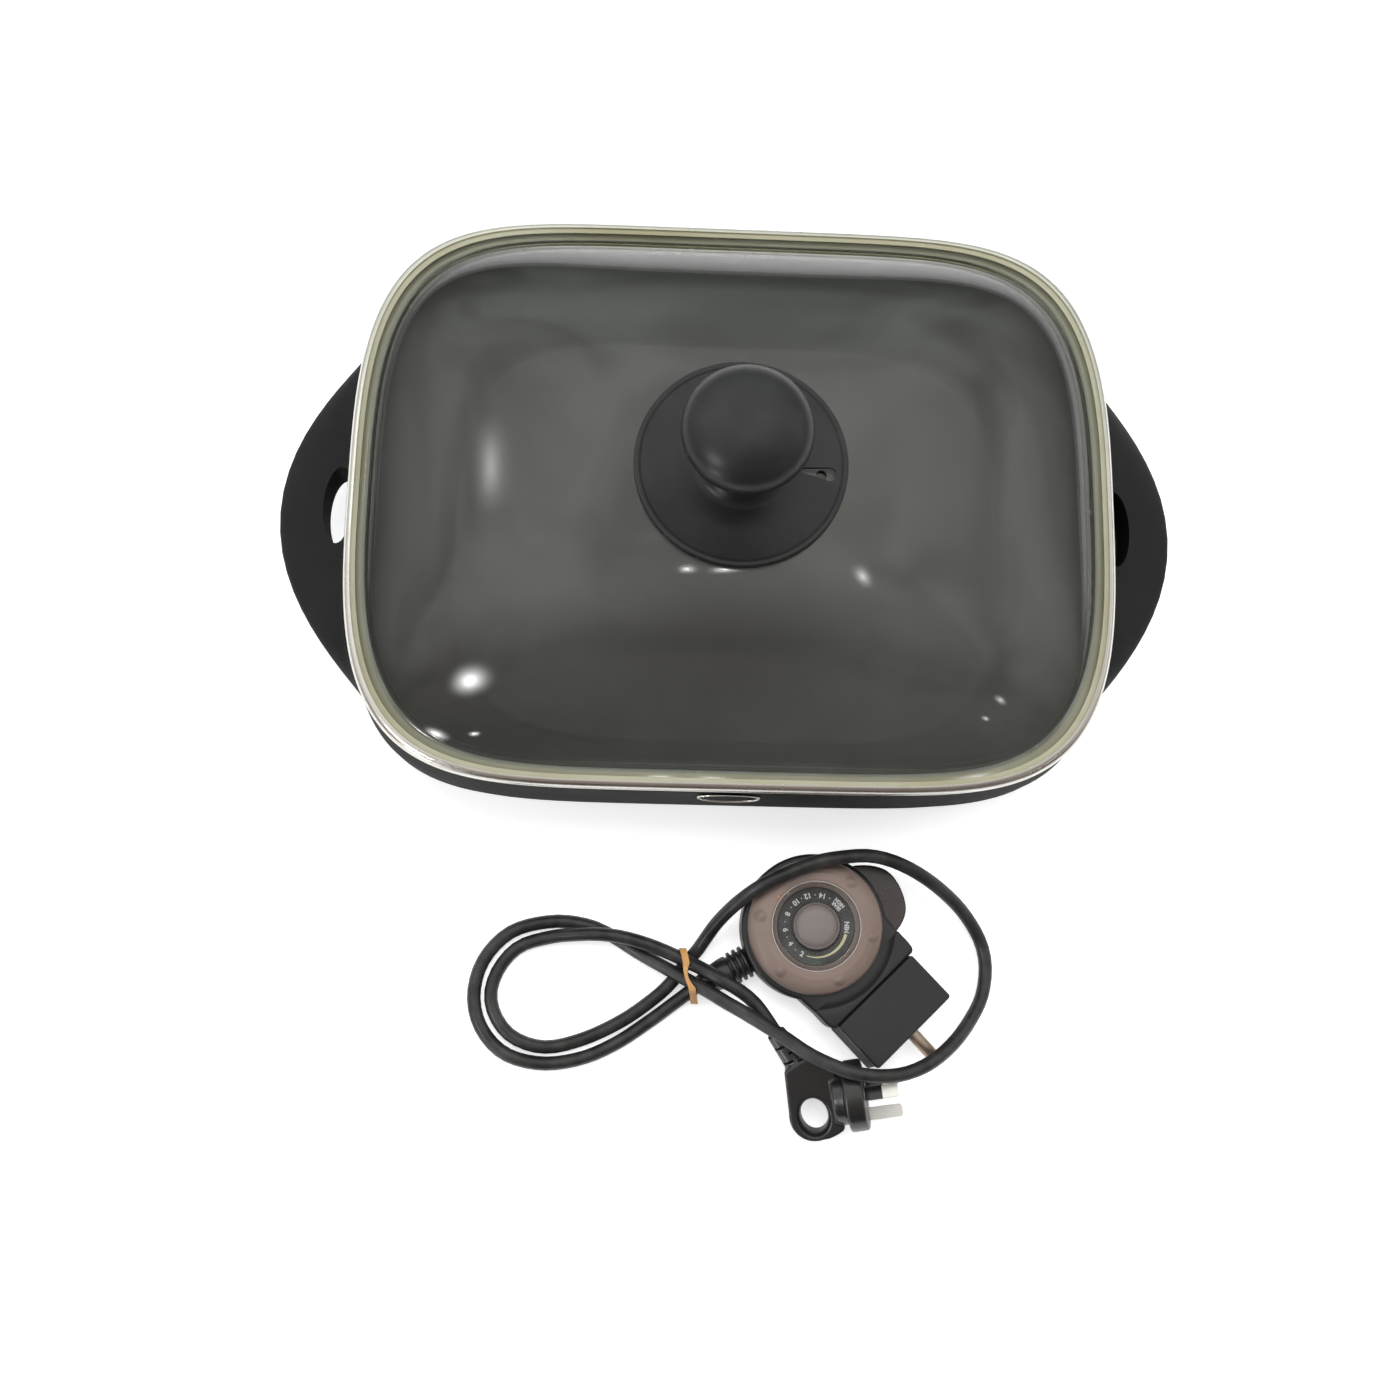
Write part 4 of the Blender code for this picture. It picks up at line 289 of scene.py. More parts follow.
lip_finish = finish(
    "lip_silicone", (0.27, 0.28, 0.245), (0.20, 0.21, 0.18), (0.25, 0.35), mottle=14.0, amount=0.8
)
# Painted highlight: a pale grey for the thin ring at the lens's edge, which stands in for a line of light.
lens_highlight_finish = finish(
    "painted_lens_highlight", (0.40, 0.38, 0.36), (0.32, 0.30, 0.28), (0.15, 0.25), mottle=60.0, depth=0.2
)
pip_finish = finish("pointer_red", (0.45, 0.18, 0.14), (0.36, 0.12, 0.09), (0.35, 0.45), mottle=200.0)
print_finish = finish("scale_print", (0.62, 0.62, 0.60), (0.5, 0.5, 0.48), (0.4, 0.5), mottle=500.0, depth=0.2)
arc_finish = finish("scale_arc", (0.64, 0.60, 0.36), (0.54, 0.50, 0.27), (0.4, 0.5), mottle=500.0, depth=0.2)
pan_finish = finish(
    "pan_coating", (0.076, 0.076, 0.072), (0.118, 0.118, 0.111), (0.34, 0.46), mottle=9.0, depth=0.4, gloss=0.3
)
element_finish = finish("element_steel", (0.20, 0.19, 0.18), (0.13, 0.11, 0.10), (0.45, 0.6), metallic=0.9)
plated_finish = finish(
    "plated_steel", (0.62, 0.50, 0.40), (0.45, 0.34, 0.25), (0.28, 0.42), mottle=260.0, metallic=1.0
)
nickel_finish = finish(
    "pin_nickel", (0.84, 0.82, 0.77), (0.74, 0.71, 0.64), (0.30, 0.42), mottle=90.0, metallic=0.35
)
steel_finish = finish(
    "rim_steel", (0.86, 0.84, 0.78), (0.74, 0.72, 0.64), (0.20, 0.32), scale=1400.0, mottle=80.0, metallic=1.0
)
print("finishes made:", len(bpy.data.materials))

# %% [markdown]
# Clear pieces are glass: full transmission, low roughness, and a faint tint. Light Path makes them let lamp
# light through to what is below them, as thin glass does, and keeps them fully there for the camera.

# %% Clear finishes
CLEAR_SHADE = 0.93


def clear_finish(name, colour, rough, ior=1.5, passing=0.85):
    made = bpy.data.materials.new(name)
    made.use_nodes = True
    tree = made.node_tree
    shader = tree.nodes["Principled BSDF"]
    tint = place_node(tree, "ShaderNodeGroup", node_tree=mottle_group)
    feed(tree, tint, {
        "Colour": (*colour, 1.0), "Second Colour": (*[value * CLEAR_SHADE for value in colour], 1.0), "Scale": 12.0,
    })
    grain = place_node(tree, "ShaderNodeGroup", node_tree=grain_group)
    feed(tree, grain, {"Low": rough[0], "High": rough[1]})
    light = place_node(tree, "ShaderNodeLightPath")
    keep = place_node(
        tree, "ShaderNodeMath", {0: light.outputs["Is Shadow Ray"], 1: -passing, 2: 1.0}, operation="MULTIPLY_ADD"
    )
    feed(tree, shader, {
        "Transmission Weight": 1.0, "IOR": ior, "Alpha": keep.outputs["Value"],
        "Roughness": grain.outputs["Roughness"], "Base Color": tint.outputs["Colour"],
    })
    return made


lid_glass_finish = clear_finish("lid_glass", (0.93, 0.945, 0.925), (0.0, 0.02))
lens_finish = clear_finish("dial_lens", (0.96, 0.96, 0.96), (0.0, 0.01))

CAD_FINISHES = {
    "black_moulding": moulding,
    "control_black": control_moulding,
    "taupe_moulding": taupe,
    "plate_black": plate_finish,
    "clear_lens": lens_finish,
    "tempered_glass": lid_glass_finish,
    "stainless_steel": steel_finish,
    "seal_olive": seal_finish,
    "pan_coating": pan_finish,
    "element_steel": element_finish,
    "plated_steel": plated_finish,
    "brass": nickel_finish,
    "cord_rubber": plug_finish,
    "band_rubber": band_finish,
    "foot_rubber": foot_finish,
}
for part in frame["record"]["subparts"]:
    give(nodes[part["node"]], CAD_FINISHES[part["material_slot"]])
# The vent shutter is a real part, but it takes the black knob moulding in place of its plated finish so that the slot
# over it reads dark: that black is painted shade.
give(nodes["vent_shutter"], knob_moulding)

# %% [markdown]
# The cord is 7 mm across and about a metre long. It leaves the strain relief, goes twice round in a figure
# of eight and ends in the plug's neck. The route is a list of points that the passes go through, and a
# smooth curve through them becomes a round tube. A curve is the natural tool: its line stays editable.

# %% Cord route
CORD_RADIUS = 0.0035
CORD_STEP = 0.005
CORD_ROUTE = (
    (-0.0140, -0.2370, 0.0066), (-0.0240, -0.2446, 0.0045), (-0.0345, -0.2525, 0.0037),
    (-0.0512, -0.2637, 0.0037), (-0.0690, -0.2715, 0.0037), (-0.0890, -0.2743, 0.0037),
    (-0.1080, -0.2695, 0.0037), (-0.1205, -0.2565, 0.0037), (-0.1246, -0.2400, 0.0037),
    (-0.1200, -0.2225, 0.0037), (-0.1065, -0.2085, 0.0037), (-0.0860, -0.2030, 0.0037),
    (-0.0680, -0.2045, 0.0037), (-0.0545, -0.2100, 0.0037), (-0.0420, -0.2175, 0.0055),
    (-0.0300, -0.2240, 0.0095), (-0.0142, -0.2322, 0.0154), (-0.0064, -0.2362, 0.0199),
    (0.0032, -0.2418, 0.0214), (0.0131, -0.2471, 0.0234), (0.0310, -0.2575, 0.0292),
    (0.0450, -0.2664, 0.0333), (0.0609, -0.2730, 0.0370), (0.0740, -0.2755, 0.0368),
    (0.0891, -0.2750, 0.0335), (0.1040, -0.2700, 0.0285), (0.1185, -0.2600, 0.0205),
    (0.1300, -0.2475, 0.0120), (0.1372, -0.2355, 0.0060), (0.1395, -0.2210, 0.0040),
    (0.1365, -0.2080, 0.0050), (0.1270, -0.1945, 0.0105), (0.1150, -0.1845, 0.0185),
    (0.1015, -0.1765, 0.0268), (0.0876, -0.1708, 0.0330), (0.0743, -0.1683, 0.0366),
    (0.0613, -0.1693, 0.0392), (0.0487, -0.1716, 0.0396), (0.0386, -0.1753, 0.0396),
    (0.0287, -0.1797, 0.0391), (0.0190, -0.1847, 0.0364), (0.0105, -0.1907, 0.0304),
    (0.0035, -0.1970, 0.0226), (-0.0022, -0.2035, 0.0145), (-0.0065, -0.2098, 0.0100),
    (-0.0112, -0.2168, 0.0066), (-0.0172, -0.2238, 0.0051), (-0.0235, -0.2325, 0.0041),
    (-0.0325, -0.2410, 0.0037), (-0.0485, -0.2524, 0.0037), (-0.0680, -0.2618, 0.0037),
    (-0.0870, -0.2662, 0.0037), (-0.1030, -0.2620, 0.0037), (-0.1125, -0.2523, 0.0037),
    (-0.1160, -0.2400, 0.0037), (-0.1120, -0.2268, 0.0037), (-0.1020, -0.2160, 0.0040),
    (-0.0860, -0.2110, 0.0060), (-0.0720, -0.2095, 0.0096), (-0.0600, -0.2093, 0.0120),
    (-0.0480, -0.2108, 0.0128), (-0.0345, -0.2145, 0.0128), (-0.0225, -0.2192, 0.0130),
    (-0.0146, -0.2228, 0.0136), (-0.0070, -0.2264, 0.0180), (0.0010, -0.2309, 0.0212),
    (0.0100, -0.2358, 0.0204), (0.0190, -0.2430, 0.0192),
)
CONTROL_PLACE = (0.0478, SKILLET_BACK - 0.2036, 0.0)
CONTROL_TURN = -45.5
RELIEF_TURN = 208.0
RELIEF_END = 0.0659
RELIEF_AXIS = 0.0090
PLUG_PLACE = (0.0740, SKILLET_BACK - 0.2854, 0.0193)
PLUG_TURN = (12.0, -12.0, 9.5)
PLUG_ENTRY = (-0.0391, 0.0374, 0.0)
PLUG_NECK_ROOT = (-0.0290, 0.0160, 0.0)
CORD_END_GAP = 0.0014


def frame_of(place, turn):
    turned = Matrix.Identity(4)
    for axis, angle in zip("XYZ", turn):
        turned = Matrix.Rotation(radians(angle), 4, axis) @ turned
    return Matrix.Translation(Vector(place)) @ turned


control_frame = frame_of(CONTROL_PLACE, (0.0, 0.0, CONTROL_TURN))
plug_frame = frame_of(PLUG_PLACE, PLUG_TURN)


def smooth_route(points, steps):
    """Catmull-Rom points through a route, both of whose ends stay where they are."""
    route = [Vector(point) for point in points]
    route = [route[0] * 2 - route[1]] + route + [route[-1] * 2 - route[-2]]
    found = []
    for before, start, end, after in zip(route, route[1:], route[2:], route[3:]):
        for step in range(steps):
            t = step / steps
            bend = before * 2 - start * 5 + end * 4 - after
            twist = start * 3 - before - end * 3 + after
            found.append((start * 2 + (end - before) * t + bend * t**2 + twist * t**3) / 2)
    found.append(route[-2])
    return found


def even_points(route, spacing, fine_steps=24):
    fine = smooth_route(route, fine_steps)
    total = sum((second - first).length for first, second in zip(fine, fine[1:]))
    count = round(total / spacing)
    found = [fine[0]]
    walked = 0.0
    for first, second in zip(fine, fine[1:]):
        step = (second - first).length
        while len(found) < count and walked + step >= total * len(found) / count:
            found.append(first.lerp(second, (total * len(found) / count - walked) / step))
        walked += step
    return found + [fine[-1]], total


def cord_line():
    angle = radians(RELIEF_TURN)
    outward = Vector((cos(angle), sin(angle), 0.0))
    start = Vector(CONTROL_PLACE) + outward * RELIEF_END + Vector((0.0, 0.0, RELIEF_AXIS))
    entry, root = Vector(PLUG_ENTRY), Vector(PLUG_NECK_ROOT)
    end = plug_frame @ (entry + (entry - root).normalized() * CORD_END_GAP)
    back = Vector((0.0, SKILLET_BACK, 0.0))
    route = [start, start + outward * CORD_RADIUS] + [Vector(point) + back for point in CORD_ROUTE] + [end]
    return even_points(route, CORD_STEP)


cord_points, cord_length = cord_line()
print("cord:", len(cord_points), "points,", round(cord_length, 3), "m")

# %% Cord tube
def tube_along(name, points, radius, material, resolution=5):
    curve = bpy.data.curves.new(name, "CURVE")
    curve.dimensions = "3D"
    curve.bevel_depth = radius
    curve.bevel_resolution = resolution
    curve.use_fill_caps = True
    spline = curve.splines.new("POLY")
    spline.points.add(len(points) - 1)
    for node, point in zip(spline.points, points):
        node.co = (*point, 1.0)
    spline.use_smooth = True
    piece = bpy.data.objects.new(name, curve)
    bpy.context.scene.collection.objects.link(piece)
    curve.materials.append(material)
    return piece


power_cord = tube_along("power_cord", cord_points, CORD_RADIUS, cord_finish)
dress(power_cord, "control", "cord_rubber", "cord")

# %% [markdown]
# Most forms here are either rings joined one after another, or a profile turned about an axis. Rings suit
# the lid, the pan and the surround, whose outline is a rounded rectangle at every height. A circle gives
# the first ring, and each further ring is an extrusion whose points are set on the next outline.

# %% Rings
RING_POINTS = 192
CORNER_WEIGHT = 0.09
FINE_STEPS = 300


def rounded_outline(half_length, half_width, end_power, side_power, count=RING_POINTS):
    """Points of |x/a|^n + |y/b|^m = 1 from +X, anticlockwise, alike in all quarters and closer on the corners."""
    fine = []
    for step in range(FINE_STEPS + 1):
        turn = pi / 4 * (1 - cos(pi * step / FINE_STEPS))
        across = max(0.0, cos(turn)) ** (2 / end_power)
        along = max(0.0, sin(turn)) ** (2 / side_power)
        fine.append(Vector((half_length * across, half_width * along)))
    fine[-1] = Vector((0.0, half_width))
    weight = CORNER_WEIGHT * half_length / GLASS_HALF_LENGTH
    measures = [0.0]
    heading = pi / 2
    for first, second in zip(fine, fine[1:]):
        step = second - first
        new_heading = atan2(step.y, step.x)
        measures.append(measures[-1] + step.length + weight * abs(new_heading - heading))
        heading = new_heading
    per_quarter = count // 4
    quarter = []
    position = 0
    for index in range(per_quarter):
        target = measures[-1] * index / per_quarter
        while measures[position + 1] < target:
            position += 1
        share = (target - measures[position]) / (measures[position + 1] - measures[position])
        quarter.append(tuple(fine[position].lerp(fine[position + 1], share)))
    second = [(0.0, half_width)] + [(-x, y) for x, y in reversed(quarter[1:])]
    third = [(-half_length, 0.0)] + [(-x, -y) for x, y in quarter[1:]]
    fourth = [(0.0, -half_width)] + [(x, -y) for x, y in reversed(quarter[1:])]
    return quarter + second + third + fourth


def at_height(outline, height, back=SKILLET_BACK):
    return [Vector((x, y + back, height)) for x, y in outline]


def ring_loft(name, rings, ends="open"):
    """A circle laid on the first ring, then extruded ring by ring. Ends are 'open', 'capped' or 'joined'."""
    deselect()
    bpy.ops.mesh.primitive_circle_add(vertices=len(rings[0]), radius=1.0)
    piece = bpy.context.object
    piece.name = name
    piece.data.name = name
    piece.data.attributes.new("spot", "INT", "POINT")
    for index, item in enumerate(piece.data.attributes["spot"].data):
        item.value = index
    bpy.ops.object.mode_set(mode="EDIT")
    bpy.ops.mesh.select_all(action="SELECT")
    for number, ring in enumerate(rings):
        if number:
            bpy.ops.mesh.extrude_edges_move()
        model = bmesh.from_edit_mesh(piece.data)
        spot = model.verts.layers.int["spot"]
        for vert in model.verts:
            if vert.select:
                vert.co = ring[vert[spot]]
        bmesh.update_edit_mesh(piece.data)
        if number == 0 and ends == "capped":
            bpy.ops.mesh.edge_face_add()
    if ends == "capped":
        bpy.ops.mesh.edge_face_add()
    if ends == "joined":
        bpy.ops.mesh.select_all(action="SELECT")
        bpy.ops.mesh.region_to_loop()
        bpy.ops.mesh.bridge_edge_loops()
    bpy.ops.mesh.select_all(action="SELECT")
    bpy.ops.mesh.normals_make_consistent(inside=False)
    bpy.ops.object.mode_set(mode="OBJECT")
    piece.data.attributes.remove(piece.data.attributes["spot"])
    return settle(piece)


def arc(centre, radius, start, end, steps):
    """Points on an arc, angles in degrees."""
    turns = [radians(start + (end - start) * step / steps) for step in range(steps + 1)]
    return [(centre[0] + radius * cos(turn), centre[1] + radius * sin(turn)) for turn in turns]


def mix(first, second, share):
    return first + (second - first) * share


# %% Turned pieces
def turned(name, profile, steps=96, closed=False):
    """A profile of (radius, height) points spun about Z. Points on the axis are merged into one pole."""
    mesh = bpy.data.meshes.new(name)
    edges = [(index, index + 1) for index in range(len(profile) - 1)]
    if closed:
        edges.append((len(profile) - 1, 0))
    mesh.from_pydata([(radius, 0.0, height) for radius, height in profile], edges, [])
    piece = bpy.data.objects.new(name, mesh)
    bpy.context.scene.collection.objects.link(piece)
    choose(piece)
    bpy.ops.object.mode_set(mode="EDIT")
    bpy.ops.mesh.select_all(action="SELECT")
    bpy.ops.mesh.spin(steps=steps, angle=2 * pi, center=(0.0, 0.0, 0.0), axis=(0.0, 0.0, 1.0))
    return merge(piece, 0.00001)


def moved(piece, matrix):
    piece.data.transform(matrix)
    piece.data.update()
    return piece


def carve(piece, cutter, operation="DIFFERENCE", solver="EXACT"):
    add_modifier(piece, "Cut", "BOOLEAN", operation=operation, object=cutter, solver=solver)
    apply_modifiers(piece)
    bpy.data.objects.remove(cutter, do_unlink=True)
    return piece


def round_edges(piece, width, segments=3, angle=30.0):
    add_modifier(
        piece, "Edges", "BEVEL", width=width, segments=segments, limit_method="ANGLE", angle_limit=radians(angle)
    )
    return apply_modifiers(piece)


# %% [markdown]
# The lid's rim is a strip of polished steel rolled round the glass edge. From above it shows as a bright
# bead, with an olive line of silicone between it and the glass, and a thin grey lip inside. The bead is a
# half round in section, so its profile gets many short steps and picks up a smooth line of light.

# %% Lid rim and seal
GLASS_HALF_LENGTH = 0.1835
GLASS_HALF_WIDTH = 0.1398
RIM_HEIGHT = 0.088
END_POWER = 5.67
SIDE_POWER = 3.16
GLASS_THICKNESS = 0.004
STRIP_THICKNESS = 0.0008
BEAD_RADIUS = 0.0042
BEAD_HALF_WIDTH = 0.0038
BEAD_OFFSET = 0.0007
STRIP_FLANGE = 0.0047
STRIP_LEG = 0.0075
SEAL_WALL = 0.0007
SEAL_LIP = 0.0016
SEAL_REACH = 0.0015
SEAL_SHELF = 0.0045
INNER_LIP_REACH = 0.0068
SEAL_INSIDE = 0.0008
INNER_LIP_WALL = 0.0005
SEAT_GAP = 0.0003


def lid_ring(offset, height):
    outline = rounded_outline(GLASS_HALF_LENGTH + offset, GLASS_HALF_WIDTH + offset, END_POWER, SIDE_POWER)
    return at_height(outline, RIM_HEIGHT + height)


def make_rim():
    drop = GLASS_THICKNESS / 2
    squeeze = BEAD_HALF_WIDTH / BEAD_RADIUS
    middle = (0.0, 0.0)
    outer = [(BEAD_OFFSET + x * squeeze, y - drop) for x, y in arc(middle, BEAD_RADIUS, 90, -90, 18)]
    inside = BEAD_RADIUS - STRIP_THICKNESS
    inner = [(BEAD_OFFSET + x * squeeze, y - drop) for x, y in arc(middle, inside, -90, 90, 10)]
    bottom = -drop - BEAD_RADIUS
    near = -STRIP_FLANGE + STRIP_THICKNESS
    leg = [(near, bottom), (near, bottom - STRIP_LEG), (-STRIP_FLANGE, bottom - STRIP_LEG)]
    leg.append((-STRIP_FLANGE, bottom + STRIP_THICKNESS))
    rings = [lid_ring(offset, height) for offset, height in outer + leg + inner]
    rim = smooth(ring_loft("rim_strip", rings, "joined"), 40)
    return dress(give(rim, steel_finish), "lid", "stainless_steel", "lid_rim")


def make_seal():
    top = SEAT_GAP + SEAL_WALL
    bottom = -GLASS_THICKNESS - top
    profile = [
        (-SEAL_LIP, top * 0.7), (-SEAL_LIP / 2, top), (SEAL_REACH, top), (SEAL_REACH, bottom),
        (-SEAL_SHELF, bottom), (-SEAL_SHELF, bottom + SEAL_WALL), (SEAL_INSIDE, bottom + SEAL_WALL),
        (SEAL_INSIDE, SEAT_GAP), (-SEAL_LIP, SEAT_GAP),
    ]
    rings = [lid_ring(offset, height) for offset, height in profile]
    seal = smooth(ring_loft("edge_seal", rings, "joined"), 40)
    return dress(give(seal, seal_finish), "lid", "seal_olive", "rim_seal")


def make_inner_lip():
    """A thin grey lip on the strip's inner side, which shows through the foot of the glass."""
    low = -GLASS_THICKNESS / 2 - BEAD_RADIUS + STRIP_THICKNESS
    near, far = -STRIP_FLANGE + 0.0004, -INNER_LIP_REACH
    high = low + INNER_LIP_WALL
    profile = [(near, low), (near, high), (far + 0.0006, high), (far + 0.0003, low + 0.0008)]
    profile += [(far, low + 0.0007), (far - 0.0002, low + 0.0003), (far, low)]
    rings = [lid_ring(offset, height) for offset, height in profile]
    lip = smooth(ring_loft("inner_lip", rings, "joined"), 40)
    return dress(give(lip, lip_finish), "lid", "seal_olive")


rim = make_rim()
make_seal()
make_inner_lip()
print("rim:", len(rim.data.polygons), "faces")

# %% [markdown]
# The glass is a pressed dome: full in the middle, steep towards a narrow flat flange. Its outline changes
# from a circle round the screw hole to the lid's rounded rectangle, so each ring mixes the two. A wall is
# added with Solidify, because light bends at both faces of real glass.

# %% Glass dome
DOME_CROWN = 0.046
DOME_POWER = 3.0
DOME_FULLNESS = 0.9
GLASS_FLANGE = 0.0051
GLASS_EDGE_REACH = 0.0005
GLASS_HOLE_RADIUS = 0.0036
GLASS_RINGS = 34
GLASS_FOOT = 0.0022
FOOT_SHARE = 0.9915
FOOT_STEPS = 8
VENT_TURN = -6.0
VENT_DISTANCE = 0.037
VENT_RADIUS = 0.0026


def dome_height(share):
    return DOME_CROWN * max(0.0, 1 - share**DOME_POWER) ** DOME_FULLNESS


def dome_ring(share):
    half_length = mix(GLASS_HOLE_RADIUS, GLASS_HALF_LENGTH - GLASS_FLANGE, share)
    half_width = mix(GLASS_HOLE_RADIUS, GLASS_HALF_WIDTH - GLASS_FLANGE, share)
    outline = rounded_outline(half_length, half_width, mix(2.0, END_POWER, share), mix(2.0, SIDE_POWER, share))
    return at_height(outline, RIM_HEIGHT + dome_height(share))


def make_glass():
    rings = [lid_ring(GLASS_EDGE_REACH, 0.0)]
    flat, corner, rise = lid_ring(GLASS_FOOT - GLASS_FLANGE, 0.0), dome_ring(1.0), dome_ring(FOOT_SHARE)
    for step in range(FOOT_STEPS):
        share = step / FOOT_STEPS
        weights = ((1 - share) ** 2, 2 * share * (1 - share), share**2)
        rings.append([a * weights[0] + b * weights[1] + c * weights[2] for a, b, c in zip(flat, corner, rise)])
    for step in range(GLASS_RINGS + 1):
        rings.append(dome_ring(FOOT_SHARE * cos(pi / 2 * step / GLASS_RINGS) if step < GLASS_RINGS else 0.0))
    glass = ring_loft("glass_dome", rings)
    add_modifier(glass, "Wall", "SOLIDIFY", thickness=GLASS_THICKNESS, offset=-1.0, use_even_offset=True)
    apply_modifiers(glass)
    x, y = VENT_DISTANCE * cos(radians(VENT_TURN)), VENT_DISTANCE * sin(radians(VENT_TURN))
    deselect()
    bpy.ops.mesh.primitive_cylinder_add(
        vertices=32, radius=VENT_RADIUS, depth=0.03, location=(x, y + SKILLET_BACK, RIM_HEIGHT + DOME_CROWN)
    )
    carve(glass, settle(bpy.context.object))
    smooth(glass, 40)
    return dress(give(glass, lid_glass_finish), "lid", "tempered_glass", "lid_glass")


glass = make_glass()
print("glass:", len(glass.data.polygons), "faces")

# %% [markdown]
# The knob is a flattened ball on a stem that flares over the skirt, and the skirt is a shallow disc with a
# thin raised rim. A vent slot shaped like a drop runs through the skirt. All are satin black mouldings, and
# both turned forms come from a profile.

# %% Knob
SKIRT_RADIUS = 0.049
SKIRT_ROOF = 0.0012
SKIRT_RIM_WIDTH = 0.0028
SKIRT_DISH = 0.0006
SKIRT_RISE = 0.0058
SKIRT_WALL = 0.0022
STEM_HOLE_RADIUS = 0.0095
COLLAR_RADIUS = 0.0165
BALL_RADIUS = 0.0288
BALL_PLANE = 0.0394
BALL_CROWN = 0.0155
STEM_RADIUS = 0.0125
STEM_FOOT_RADIUS = 0.0175
KNOB_MIDDLE = Matrix.Translation((0.0, SKILLET_BACK, 0.0))

crown_top = RIM_HEIGHT + DOME_CROWN
skirt_share = (SKIRT_RADIUS - GLASS_HOLE_RADIUS) / (GLASS_HALF_LENGTH - GLASS_FLANGE - GLASS_HOLE_RADIUS)
skirt_bottom = RIM_HEIGHT + dome_height(skirt_share) + SEAT_GAP
skirt_inside = crown_top + 0.0017
skirt_top = skirt_inside + SKIRT_ROOF + SKIRT_DISH
ball_height = skirt_top + BALL_PLANE
stem_foot = skirt_top + SKIRT_RISE + SEAT_GAP


def teardrop():
    near, far = 0.0014, 0.0032
    points = arc((0.0405, 0.0), far, -99, 99, 16) + arc((0.029, 0.0), near, 99, 261, 8)
    turn = Matrix.Rotation(radians(VENT_TURN), 3, "Z")
    return [turn @ Vector((x, y, 0.0)) for x, y in points]


def make_skirt():
    rim_inner = SKIRT_RADIUS - SKIRT_RIM_WIDTH
    top = skirt_top + SKIRT_RISE
    profile = [
        (STEM_HOLE_RADIUS, top), (COLLAR_RADIUS, top), (COLLAR_RADIUS + SKIRT_WALL / 2, top - SKIRT_RISE / 5),
        (COLLAR_RADIUS + SKIRT_WALL, top - SKIRT_RISE / 2), (COLLAR_RADIUS + 0.0042, skirt_top + 0.0013),
        (COLLAR_RADIUS + SKIRT_RISE + 0.001, skirt_top + SKIRT_DISH), (0.034, skirt_top + 0.0001),
        (rim_inner - 0.0006, skirt_top - SKIRT_DISH), (rim_inner, skirt_top - SKIRT_DISH * 0.6),
        (rim_inner + 0.0006, skirt_top), (SKIRT_RADIUS - 0.0008, skirt_top),
        (SKIRT_RADIUS - 0.0002, skirt_top - 0.0003), (SKIRT_RADIUS, skirt_top - 0.0009),
        (SKIRT_RADIUS, skirt_bottom), (rim_inner, skirt_bottom), (rim_inner, skirt_inside),
        (STEM_HOLE_RADIUS, skirt_inside),
    ]
    skirt = turned("vent_skirt", profile, 128, closed=True)
    rings = [[point + Vector((0, 0, height)) for point in teardrop()] for height in (crown_top, top + 0.01)]
    carve(skirt, ring_loft("slot_tool", rings, "capped"))
    smooth(moved(skirt, KNOB_MIDDLE), 40)
    return dress(give(skirt, knob_moulding), "lid", "black_moulding", "knob_skirt")


def make_knob():
    profile = [(0.0, ball_height + BALL_CROWN)]
    for step in range(1, 23):
        angle = radians(90 - step * 7)
        height = BALL_CROWN if angle > 0 else BALL_RADIUS * 0.6
        profile.append((BALL_RADIUS * cos(angle), ball_height + height * sin(angle)))
    profile = [point for point in profile if point[1] > ball_height - BALL_RADIUS * 0.55]
    profile += [
        (STEM_RADIUS + 0.0012, ball_height - BALL_RADIUS * 0.60), (STEM_RADIUS, ball_height - BALL_RADIUS * 0.68),
        (STEM_RADIUS - 0.0003, mix(stem_foot, ball_height, 0.34)),
        (STEM_RADIUS + 0.0002, mix(stem_foot, ball_height, 0.22)),
        (STEM_RADIUS + 0.0014, mix(stem_foot, ball_height, 0.13)), (STEM_FOOT_RADIUS - 0.0006, stem_foot + 0.0028),
        (STEM_FOOT_RADIUS, stem_foot + 0.0016), (STEM_FOOT_RADIUS, stem_foot),
        (STEM_HOLE_RADIUS - SEAT_GAP, stem_foot), (STEM_HOLE_RADIUS - SEAT_GAP, crown_top + 0.0006),
        (0.0028, crown_top + 0.0006), (0.0028, crown_top + 0.018), (0.0, crown_top + 0.018),
    ]
    knob = smooth(moved(turned("ball_knob", profile, 96), KNOB_MIDDLE), 45)
    return dress(give(knob, knob_moulding), "knob", "black_moulding", "knob")


make_skirt()
knob = make_knob()

# %% [markdown]
# The pan is cast aluminium with a grey non-stick coating. Its walls curve up from a flat floor and end in
# a flat lip. The glass shows its floor as a paler field inside darker walls, so the curve between them is
# built from many rings.

# %% Pan
PAN_FLOOR_HALF_LENGTH = 0.143
PAN_FLOOR_HALF_WIDTH = 0.109
PAN_DEPTH = 0.0593
PAN_WALL = 0.0034
PAN_FLOOR_THICKNESS = 0.004
PAN_MOUTH_INSET = 0.0028
PAN_LIP_REACH = 0.0025
PAN_LIP_THICKNESS = 0.003
BOSS_START = 0.1515
BOSS_END = 0.18955
BOSS_RADIUS = 0.007
BOSS_HEIGHT = 0.022
BOSS_WALL = 0.0034
BOSS_BORE = 0.0235
PAN_ROWS = (
    (0.0, 0.0, 0.1, 1.0), (0.02, 0.004, 0.2, 0.98), (0.05, 0.018, 0.4, 0.93), (0.09, 0.042, 0.6, 0.78),
    (0.13, 0.075, 0.8, 0.6), (0.19, 0.135, 0.92, 0.38), (0.25, 0.20, 1.0, 0.2), (0.36, 0.29, 1.0, 0.05),
    (0.52, 0.42, 1.0, 0.0), (0.70, 0.56, 1.0, 0.0), (0.87, 0.71, 1.0, 0.0), (0.985, 0.86, 1.0, 0.0),
)
pan_lip_top = RIM_HEIGHT - GLASS_THICKNESS / 2 - BEAD_RADIUS - SEAT_GAP
pan_floor_top = pan_lip_top - PAN_DEPTH


